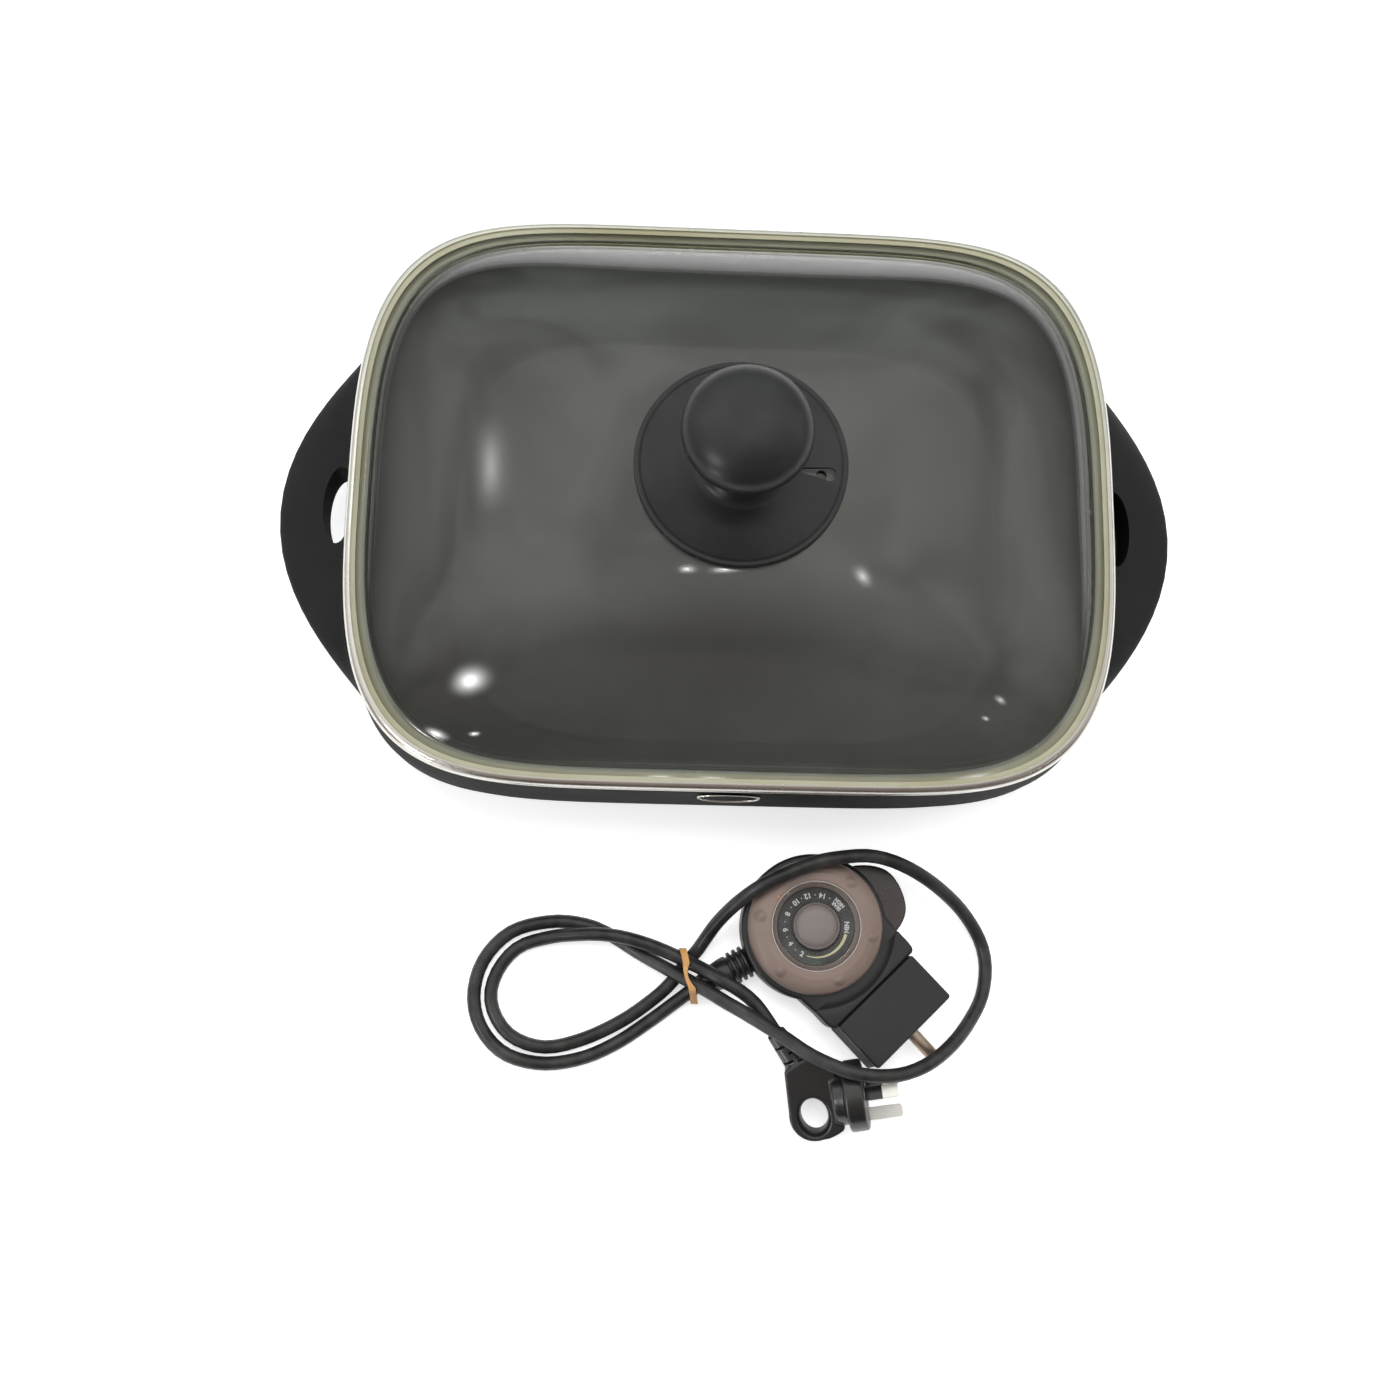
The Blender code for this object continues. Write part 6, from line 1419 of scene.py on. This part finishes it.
def make_block():
    half = BLOCK_WIDTH / 2

    def outline(shrink):
        points = []
        for x, y, start in (
            (block_end - BLOCK_CORNER, half - BLOCK_CORNER, 0), (BLOCK_START + BLOCK_CORNER, half - BLOCK_CORNER, 90),
            (BLOCK_START + BLOCK_CORNER, -half + BLOCK_CORNER, 180),
            (block_end - BLOCK_CORNER, -half + BLOCK_CORNER, 270),
        ):
            points += arc((x, y), BLOCK_CORNER - shrink * 0.7, start, start + 90, 5)
        return points

    rows = []
    for shrink, rise in BLOCK_ROWS:
        flare = 1 + BLOCK_FLARE / half * (1 - rise / BLOCK_ROWS[-1][1]) ** 1.3
        rows.append([Vector((x, y * flare, BLOCK_BOTTOM + rise)) for x, y in outline(shrink)])
    for step in range(5):
        turn = pi / 2 * step / 4
        height = BLOCK_BOTTOM + BLOCK_HEIGHT - BLOCK_EDGE * (1 - sin(turn))
        rows.append(flat_ring(outline(BLOCK_EDGE * (1 - cos(turn))), height))
    block = ring_loft("contact_box", rows, "capped")
    for y, radius, depth in BLOCK_BORES:
        tool = rod("bore_tool", radius, depth + 0.002, 0.0002)
        carve(block, moved(tool, Matrix.Translation((block_end - depth, y, probe_axis))))
    groove_outline = box_outline(BLOCK_START - 0.001, block_end + 0.001, half + 0.003)
    groove = extruded("seam_tool", groove_outline, probe_axis - SEAM_HALF, probe_axis + SEAM_HALF)
    inside = box_outline(BLOCK_START + SEAM_DEPTH, block_end - SEAM_DEPTH, half - SEAM_DEPTH)
    core = soft_slab("seam_core", lambda shrink: inside, probe_axis - 0.001, probe_axis + 0.001, 0.0002, 1)
    carve(block, carve(groove, core))
    weigh(smooth(moved(block, control_frame), 50))
    return dress(give(block, block_finish), "control", "control_black", "contact_block")


def make_rod():
    start = block_end - 0.012
    piece = moved(rod("heat_rod", ROD_RADIUS, ROD_LENGTH, 0.0012), Matrix.Translation((start, 0.0, probe_axis)))
    smooth(moved(piece, control_frame), 40)
    return dress(give(piece, plated_finish), "control", "plated_steel", "sensor_probe")


def make_trigger():
    half, base_radius = TRIGGER_HALF_WIDTH, HOUSING_RADIUS - TRIGGER_CLEARANCE
    bulge = TRIGGER_REACH - base_radius
    outline = []
    for step in range(49):
        share = 1 - 2 * step / 48
        x, y = across_circle(base_radius, half * share)
        outline.append((x + bulge * (1 - share**4) ** 0.8, y))
    lip_half = half + LIP_REACH
    inner_radius = LIP_RADIUS - LIP_THICKNESS
    outline += [across_circle(LIP_RADIUS, -half), across_circle(LIP_RADIUS, -lip_half)]
    outline += [across_circle(inner_radius, lip_half * (step / 12 - 1)) for step in range(25)]
    outline += [across_circle(LIP_RADIUS, lip_half), across_circle(LIP_RADIUS, half)]
    piece = extruded("squeeze_trigger", outline[::-1], TRIGGER_BOTTOM, TRIGGER_BOTTOM + TRIGGER_HEIGHT)
    round_edges(piece, TRIGGER_EDGE, 6, 50)
    moved(piece, control_frame @ Matrix.Rotation(radians(TRIGGER_MIDDLE), 4, "Z"))
    weigh(smooth(piece, 50))
    return dress(give(piece, trigger_finish), "trigger", "taupe_moulding", "trigger")


def make_base_plate():
    def outline(shrink):
        return housing_outline(HOUSING_WALL / 2 + shrink)

    plate = soft_slab("control_floor", outline, 0.0, 0.0018, 0.0004, 2)
    smooth(moved(plate, control_frame), 35)
    return dress(give(plate, control_moulding), "control", "control_black", "control_base")


make_block()
make_rod()
make_trigger()
make_base_plate()

# %% [markdown]
# The strain relief keeps the cord from kinking where it leaves the drum. Three ribs with gaps between them
# bend easily next to the housing, and a smooth boot tapers to the cord. It is a profile turned about the
# cord's own line.

# %% Strain relief
RELIEF_START = 0.0355
RELIEF_RADII = (0.0085, 0.0078, 0.0050)
RELIEF_RIB = 0.0018
RELIEF_RIB_GAP = 0.0014
RELIEF_LENGTH = 0.029
RELIEF_INSIDE = 0.003


def make_relief():
    neck = RELIEF_RADII[0] * 0.78
    edge = 0.00035
    profile = [(0.0, -RELIEF_INSIDE), (neck, -RELIEF_INSIDE)]
    position = HOUSING_RADIUS - RELIEF_START + RELIEF_RIB_GAP / 2
    for _ in range(3):
        low, high, reach = position, position + RELIEF_RIB, RELIEF_RADII[0]
        profile += [(neck, low - edge), (neck + edge, low), (reach - edge, low), (reach, low + edge)]
        profile += [(reach, high - edge), (reach - edge, high), (neck + edge, high), (neck, high + edge)]
        position += RELIEF_RIB + RELIEF_RIB_GAP
    boot = RELIEF_LENGTH - position
    profile.append((neck, position - edge))
    rows = ((0.0, 0.12), (0.04, 0.0), (0.25, 0.05), (0.45, 0.22), (0.6, 0.45), (0.8, 0.75), (0.97, 0.98), (1.0, 1.08))
    for along, narrowing in rows:
        profile.append((mix(RELIEF_RADII[1], RELIEF_RADII[2], narrowing), position + boot * along))
    profile.append((0.0, RELIEF_LENGTH))
    piece = turned("cord_boot", profile, 64)
    turn = radians(RELIEF_TURN - CONTROL_TURN)
    along = Vector((cos(turn), sin(turn), 0.0))
    place = Matrix.Translation(along * RELIEF_START + Vector((0.0, 0.0, RELIEF_AXIS)))
    moved(piece, control_frame @ place @ along.to_track_quat("Z", "Y").to_matrix().to_4x4())
    return dress(give(smooth(piece, 50), plug_finish), "control", "control_black", "strain_relief")


make_relief()

# %% [markdown]
# The plug is one soft moulding: a round pin face, a waist, a flat body with a finger ring, and a neck at
# the side. Those four forms are joined, remeshed to small even faces and smoothed, which blends them as the
# mould does. Its crisp features, the slots in the neck and the groove round the face, are cut afterwards.

# %% Plug
PLUG_FACE_RADIUS = 0.0175
PLUG_FACE_THICKNESS = 0.0095
PLUG_WAIST_RADIUS = 0.0148
PLUG_WAIST = 0.003
PLUG_BODY_THICKNESS = 0.014
PLUG_RING = (-0.0268, -0.0062)
PLUG_RING_RADIUS = 0.0124
PLUG_HOLE = (0.0069, 0.0086)
PLUG_LOWER_SIDE = ((-0.0134, -0.0152), (-0.0165, -0.0168), (-0.0205, -0.0181))
PLUG_HOLE_ROWS = (
    (-0.0085, 0.0028), (-0.0062, 0.0012), (-0.0045, 0.0003), (-0.0030, 0.0), (0.0030, 0.0), (0.0045, 0.0003),
    (0.0062, 0.0012), (0.0085, 0.0028),
)
PLUG_NECK_RADIUS = 0.0050
PLUG_NECK_ROOT_RADIUS = 0.0066
NECK_SLOT_HALF = 0.00062
NECK_SLOTS = (
    (0.33, -0.010, 0.0004), (0.50, 0.0004, 0.010), (0.68, -0.010, 0.0004), (0.82, 0.0004, 0.010),
    (0.96, -0.010, -0.0024),
)
PIN_LENGTH = 0.017
PIN_SLEEVE = 0.009
PIN_HALF_WIDTH = 0.00315
PIN_HALF_GAUGE = 0.0008
PIN_TIP = 0.0016
SLEEVE_WALL = 0.00012


def slab(name, outline, thickness, edge):
    """A flat form about Z = 0 with rounded edges."""
    return round_edges(extruded(name, outline, -thickness / 2, thickness / 2), edge, 4, 60)


def plug_body_outline():
    waist_back = -PLUG_FACE_THICKNESS - PLUG_WAIST
    root, entry = Vector(PLUG_NECK_ROOT), Vector(PLUG_ENTRY)
    side = Vector((entry.y - root.y, root.x - entry.x, 0.0)).normalized()
    outline = [(waist_back, PLUG_WAIST_RADIUS), (waist_back, -PLUG_WAIST_RADIUS), *PLUG_LOWER_SIDE]
    outline += arc(PLUG_RING, PLUG_RING_RADIUS, -78, -190, 30)
    half_way = root.lerp(entry, 0.25)
    outline.append(tuple((half_way - side * PLUG_NECK_ROOT_RADIUS).xy))
    outline.append(tuple((half_way + side * PLUG_NECK_ROOT_RADIUS).xy))
    return outline


def neck_rod(name, start, end, first, second, steps=48):
    length = (end - start).length
    edge = 0.0006
    profile = [(0.0, 0.0), (first, 0.0), (second, length - edge), (second - edge, length), (0.0, length)]
    turn = (end - start).to_track_quat("Z", "Y").to_matrix().to_4x4()
    return moved(turned(name, profile, steps), Matrix.Translation(start) @ turn)


def make_plug():
    body = slab("moulded_plug", plug_body_outline(), PLUG_BODY_THICKNESS, 0.0042)
    face = ellipse((0.0, 0.0), PLUG_FACE_RADIUS, PLUG_FACE_RADIUS, 96)
    disc = moved(slab("face_tool", face, PLUG_FACE_THICKNESS, 0.0012), Matrix.Rotation(pi / 2, 4, "Y"))
    carve(body, moved(disc, Matrix.Translation((-PLUG_FACE_THICKNESS / 2, 0.0, 0.0))), "UNION")
    waist_start = Vector((-PLUG_FACE_THICKNESS - PLUG_WAIST * 2, 0.0, 0.0))
    waist_end = Vector((-0.004, 0.0, 0.0))
    waist = neck_rod("waist_tool", waist_start, waist_end, PLUG_WAIST_RADIUS - 0.002, PLUG_WAIST_RADIUS)
    carve(body, waist, "UNION")
    root, entry = Vector(PLUG_NECK_ROOT), Vector(PLUG_ENTRY)
    carve(body, neck_rod("neck_tool", root, entry, PLUG_NECK_ROOT_RADIUS, PLUG_NECK_RADIUS), "UNION")
    print("plug joined:", len(body.data.polygons), "faces, closed:", is_closed(body))
    rings = []
    for height, grow in PLUG_HOLE_ROWS:
        rings.append(flat_ring(ellipse(PLUG_RING, PLUG_HOLE[0] + grow, PLUG_HOLE[1] + grow, 72), height))
    carve(body, ring_loft("ring_tool", rings, "capped"))
    print("plug pierced:", len(body.data.polygons), "faces, closed:", is_closed(body))
    add_modifier(body, "Even faces", "REMESH", mode="VOXEL", voxel_size=0.0005)
    add_modifier(body, "Blend", "SMOOTH", factor=0.5, iterations=12)
    apply_modifiers(body)
    print("plug remeshed:", len(body.data.polygons), "faces, closed:", is_closed(body))
    cut_neck_slots(body, root, entry)
    cut_face_groove(body)
    smooth(moved(body, plug_frame), 40)
    print("plug:", len(body.data.polygons), "faces, closed:", is_closed(body))
    return dress(give(body, plug_finish), "control", "cord_rubber", "plug_body")


def cut_neck_slots(body, root, entry):
    """Slots across the neck from one side and then the other, above and below a web, which let it bend."""
    along = (entry - root).normalized()
    across = Vector((along.y, -along.x, 0.0))
    for share, first, second in NECK_SLOTS:
        for low, high in ((0.0008, 0.02), (-0.02, -0.0008)):
            rows = []
            for side in (first, second):
                middle = root.lerp(entry, share) + across * side - along * (side * 0.1)
                half = NECK_SLOT_HALF
                corners = ((-half, low), (half, low), (half, high), (-half, high))
                rows.append([middle + along * step + Vector((0.0, 0.0, height)) for step, height in corners])
            carve(body, ring_loft("slot_tool", rows, "capped"), solver="MANIFOLD")


def cut_face_groove(body):
    """The narrow gap round the waist, which parts the body from the flange."""
    rows = []
    for x, radius in ((-0.0107, 0.024), (-0.0107, 0.0136), (-0.0098, 0.0136), (-0.0098, 0.024)):
        rows.append([Vector((x, radius * cos(2 * pi * i / 72), radius * sin(2 * pi * i / 72))) for i in range(72)])
    carve(body, ring_loft("groove_tool", rows, "joined"), solver="MANIFOLD")


make_plug()

# %% [markdown]
# Each pin is a flat plated blade with a rounded tip. The live and the neutral one wear a black sleeve on
# their first half, so that a finger can't touch live metal as the plug comes out.

# %% Pins
PIN_PLACES = (
    ("plug_pin_live", "front_blade", 0.0024, 0.0079, -30.0),
    ("plug_pin_neutral", "back_blade", 0.0024, -0.0079, 30.0),
    ("plug_pin_earth", "earth_blade", -0.0103, 0.0, 0.0),
)


def make_pin(node, name, y, z, lean):
    place = plug_frame @ Matrix.Translation((0.0, y, z)) @ Matrix.Rotation(radians(lean), 4, "X")
    half, gauge, tip = PIN_HALF_WIDTH, PIN_HALF_GAUGE, PIN_TIP
    points = [(SEAT_GAP, -half), (PIN_LENGTH - tip, -half)]
    for turn in (radians(30), radians(60), radians(90)):
        points.append((PIN_LENGTH - tip + tip * sin(turn), -half + tip * (1 - cos(turn))))
    points += [(x, -y) for x, y in reversed(points)]
    blade = round_edges(extruded(name, points, -gauge, gauge), 0.0003, 2, 50)
    weigh(smooth(moved(blade, place), 40))
    dress(give(blade, nickel_finish), "control", "brass", node)
    if node == "plug_pin_earth":
        return
    sleeve = box_outline(SEAT_GAP, PIN_SLEEVE, half + SLEEVE_WALL)
    thick = gauge + SLEEVE_WALL
    cover = round_edges(extruded(name + "_sleeve", sleeve, -thick, thick), 0.0002, 2, 50)
    dress(give(smooth(moved(cover, place), 40), plug_finish), "control", "cord_rubber")


for row in PIN_PLACES:
    make_pin(*row)

# %% [markdown]
# The rubber band goes round the four passes where they cross. Its loop is found as a real band finds it:
# in every direction it lies on whichever pass sticks out furthest, so it runs straight between them.

# %% Rubber band
BAND_RIGHT = -0.0152
BAND_MIDDLE = SKILLET_BACK - 0.2290
BAND_CLEARANCE = 0.0005
BAND_THICKNESS = 0.0011
BAND_WIDTH = 0.0036
BAND_LEAN = 0.24
BAND_WAIST_SPAN = 0.006
BAND_WAIST_SHIFT = 0.0015
BAND_LOWEST = 0.0001
BAND_STEPS = 120


def band_line(y):
    """The band leans across the passes, and is pulled to the left where it is narrow."""
    waist = max(0.0, 1 - ((y - BAND_MIDDLE) / BAND_WAIST_SPAN) ** 2)
    return BAND_RIGHT - BAND_LEAN * (y - BAND_MIDDLE) - BAND_WAIST_SHIFT * waist


def make_band():
    spots = []
    for first, second in zip(cord_points, cord_points[1:]):
        for step in range(8):
            point = first.lerp(second, step / 8)
            beyond = max(0.0, abs(point.x - band_line(point.y)) - BAND_WIDTH / 2)
            if beyond < CORD_RADIUS:
                spots.append((Vector((point.y, point.z)), (CORD_RADIUS**2 - beyond**2) ** 0.5))
    middle = sum((spot for spot, _ in spots), Vector((0.0, 0.0))) / len(spots)

    def reach(angle, away):
        distances = []
        for step in range(BAND_STEPS * 3):
            facing = 2 * pi * step / (BAND_STEPS * 3)
            lean = cos(facing - angle)
            if lean > 0.2:
                normal = Vector((cos(facing), sin(facing)))
                support = max((spot - middle).dot(normal) + radius for spot, radius in spots)
                distances.append((support + away) / lean)
        return min(distances)

    outer, edge = BAND_CLEARANCE + BAND_THICKNESS, 0.00025
    section = (
        (-1, edge, BAND_CLEARANCE), (1, edge, BAND_CLEARANCE), (1, 0.0, BAND_CLEARANCE + edge),
        (1, 0.0, outer - edge), (1, edge, outer), (0, 0.0, outer - 0.0002), (-1, edge, outer),
        (-1, 0.0, outer - edge), (-1, 0.0, BAND_CLEARANCE + edge),
    )
    rings = []
    for step in range(BAND_STEPS):
        angle = 2 * pi * step / BAND_STEPS
        ring = []
        for side, inset, away in section:
            distance = reach(angle, away)
            along = middle.x + distance * cos(angle)
            narrow = 1 - 0.45 * max(0.0, 1 - ((along - BAND_MIDDLE) / BAND_WAIST_SPAN) ** 2)
            across = band_line(along) + side * narrow * (BAND_WIDTH / 2 - inset)
            height = max(middle.y + distance * sin(angle), BAND_LOWEST + away - BAND_CLEARANCE)
            ring.append(Vector((across, along, height)))
        rings.append(ring)
    rings.append(rings[0])
    band = merge(ring_loft("rubber_loop", rings), 0.000002)
    return dress(give(smooth(band, 50), band_finish), "control", "band_rubber", "rubber_band")


band = make_band()
print("band:", len(band.data.polygons), "faces")

# %% [markdown]
# The pieces that ride on the cord are listed last, because its plug, pins and band are made by now. The cord
# leaves the boot, and its length and thickness are the real ones.

# %% Pieces on the cord
on_cord = ["moulded_plug", "rubber_loop"]
for _, name, _, _, _ in PIN_PLACES:
    on_cord.append(name)
on_cord += ["front_blade_sleeve", "back_blade_sleeve"]

# %% [markdown]
# The stage is a plain pale floor under soft light. Light Path shows the floor and the world as white to the
# camera, and the shadow stays.

# %% Floor
FLOOR_HALF = 3.0
GLOW = 0.6
MIRRORED_GLOW = 0.12


def seen_directly(tree):
    """1 where a ray is seen by the camera, in a reflection or through glass."""
    light = place_node(tree, "ShaderNodeLightPath").outputs
    first = place_node(
        tree, "ShaderNodeMath", {0: light["Is Camera Ray"], 1: light["Is Glossy Ray"]}, operation="MAXIMUM"
    )
    second = place_node(
        tree, "ShaderNodeMath", {0: first.outputs["Value"], 1: light["Is Transmission Ray"]}, operation="MAXIMUM"
    )
    return second.outputs["Value"]


def make_floor():
    deselect()
    bpy.ops.mesh.primitive_plane_add(size=FLOOR_HALF * 2)
    floor = bpy.context.object
    floor.name = "floor"
    made = bpy.data.materials.new("pale_floor")
    made.use_nodes = True
    tree = made.node_tree
    shader = tree.nodes["Principled BSDF"]
    strength = place_node(tree, "ShaderNodeMath", {0: seen_directly(tree), 1: GLOW}, operation="MULTIPLY")
    light = place_node(tree, "ShaderNodeLightPath")
    mirrored = place_node(tree, "ShaderNodeMath", {
        0: light.outputs["Is Glossy Ray"], 1: MIRRORED_GLOW - GLOW, 2: strength.outputs["Value"],
    }, operation="MULTIPLY_ADD")
    feed(tree, shader, {
        "Base Color": (0.82, 0.82, 0.82, 1.0), "Roughness": 0.9, "Specular IOR Level": 0.0,
        "Emission Color": (1.0, 1.0, 1.0, 1.0), "Emission Strength": mirrored.outputs["Value"],
    })
    give(floor, made)
    return floor


floor = make_floor()

# %% World
WORLD_LEVEL = 0.40
WALL_TONES = (
    (-0.9, (0.15, 0.12, 0.11)), (-0.35, (0.30, 0.26, 0.24)), (0.0, (0.90, 0.88, 0.86)), (0.3, (1.0, 1.0, 0.97)),
    (0.9, (0.94, 1.0, 0.93)),
)
PATCH_SCALE = 2.1
PATCH_LOW = 0.5
LOW_WALL = 0.22
WALL_HEIGHT = 0.5


def make_world():
    """White to the camera and through glass. In a reflection its front side is darker, as a room's is."""
    world = bpy.data.worlds.new("studio")
    world.use_nodes = True
    tree = world.node_tree
    background = tree.nodes["Background"]
    spot = place_node(tree, "ShaderNodeTexCoord").outputs["Generated"]
    parts = place_node(tree, "ShaderNodeSeparateXYZ", {"Vector": spot})
    along = place_node(tree, "ShaderNodeMapRange", {"From Min": -1.0, "Value": parts.outputs["Y"]})
    tones = place_node(tree, "ShaderNodeValToRGB", {"Fac": along.outputs["Result"]})
    ramp = tones.color_ramp
    while len(ramp.elements) < len(WALL_TONES):
        ramp.elements.new(0.5)
    for element, (side, tone) in zip(ramp.elements, WALL_TONES):
        element.position = (side + 1) / 2
        element.color = (*tone, 1.0)
    patches = place_node(
        tree, "ShaderNodeTexNoise", {"Scale": PATCH_SCALE, "Detail": 2.0, "Distortion": 0.8, "Vector": spot}
    )
    spread = place_node(tree, "ShaderNodeMapRange", {
        "From Min": 0.35, "From Max": 0.6, "To Min": PATCH_LOW, "To Max": 1.0, "Value": patches.outputs["Fac"],
    })
    upward = place_node(tree, "ShaderNodeMapRange", {
        "From Max": WALL_HEIGHT, "To Min": LOW_WALL, "Value": parts.outputs["Z"],
    })
    both = place_node(
        tree, "ShaderNodeMath", {0: upward.outputs["Result"], 1: spread.outputs["Result"]}, operation="MULTIPLY"
    )
    patched = place_node(
        tree, "ShaderNodeVectorMath", {0: tones.outputs["Color"], "Scale": both.outputs["Value"]}, operation="SCALE"
    )
    light = place_node(tree, "ShaderNodeLightPath")
    reflected = place_node(tree, "ShaderNodeMix", data_type="RGBA")
    feed(tree, reflected, {
        0: light.outputs["Is Glossy Ray"], 6: (1.0, 1.0, 1.0, 1.0), 7: patched.outputs["Vector"],
    })
    strength = place_node(tree, "ShaderNodeMapRange", {"To Min": WORLD_LEVEL, "Value": seen_directly(tree)})
    feed(tree, background, {"Color": reflected.outputs[2], "Strength": strength.outputs["Result"]})
    bpy.context.scene.world = world


make_world()
print("world tones, front to back:", [tone for _, tone in WALL_TONES])

# %% [markdown]
# Three large lamps give most of the light. They are kept out of reflections, where they would lie as pale
# sheets on the glass. The glass mirrors a few small ones instead, as bright spots near its corners and crown.

# %% Lamps
BENCH = (0.0, 0.0, 0.05)
SOFT_LAMPS = (
    ("overhead_soft", (0.0, 0.5, 1.6), (1.4, 1.0), 22.0),
    ("left_soft", (-1.3, -0.2, 1.0), (0.7, 0.7), 7.0),
    ("right_soft", (1.4, 0.3, 1.1), (0.6, 0.8), 7.0),
)
SPARK_LAMPS = (
    ("front_left_spark", (-1.10, -1.18, 0.36), (0.50, 0.42), 26.0),
    ("corner_spark", (-0.78, -1.32, 0.58), (0.16, 0.16), 3.0),
    ("left_spark", (-1.02, -0.73, 1.09), (0.62, 0.52), 42.0),
    ("crown_spark", (0.47, 0.12, 1.57), (0.26, 0.14), 1.8),
    ("knob_spark", (-0.02, 0.10, 1.60), (0.085, 0.12), 0.8),
    ("knob_pair_spark", (0.068, 0.10, 1.60), (0.085, 0.12), 0.8),
    ("far_glow", (-1.02, 0.58, 1.20), (0.40, 0.52), 5.0),
    ("right_spark", (1.18, -0.71, 0.93), (0.16, 0.20), 1.6),
    ("right_low_spark", (1.02, -0.98, 0.86), (0.12, 0.12), 0.8),
)
SPARK_FALL = 3.0


def soften(data):
    """A lamp's light falls from its middle to its edge, so that its mirror image has no hard outline."""
    data.use_nodes = True
    tree = data.node_tree
    spot = place_node(tree, "ShaderNodeTexCoord")
    centred = place_node(tree, "ShaderNodeMapping", {
        "Location": (-1.0, -1.0, 0.0), "Scale": (2.0, 2.0, 0.0), "Vector": spot.outputs["UV"],
    })
    disc = place_node(
        tree, "ShaderNodeTexGradient", {"Vector": centred.outputs["Vector"]}, gradient_type="SPHERICAL"
    )
    fall = place_node(tree, "ShaderNodeMath", operation="POWER")
    feed(tree, fall, {0: disc.outputs["Fac"], 1: SPARK_FALL})
    tree.links.new(fall.outputs["Value"], tree.nodes["Emission"].inputs["Strength"])


def area_lamp(name, place, size, power, mirrored):
    data = bpy.data.lights.new(name, "AREA")
    data.shape = "RECTANGLE"
    data.size, data.size_y = size
    data.energy = power
    lamp = bpy.data.objects.new(name, data)
    lamp.location = place
    lamp.rotation_euler = (Vector(BENCH) - Vector(place)).to_track_quat("-Z", "Y").to_euler()
    lamp.visible_glossy = mirrored
    lamp.visible_diffuse = not mirrored
    lamp.visible_transmission = False
    if mirrored:
        soften(data)
    bpy.context.scene.collection.objects.link(lamp)
    return lamp


for lamps, mirrored in ((SOFT_LAMPS, False), (SPARK_LAMPS, True)):
    for row in lamps:
        area_lamp(*row, mirrored)
bpy.context.scene.view_settings.view_transform = "Standard"
print("lamps:", len(SOFT_LAMPS) + len(SPARK_LAMPS))
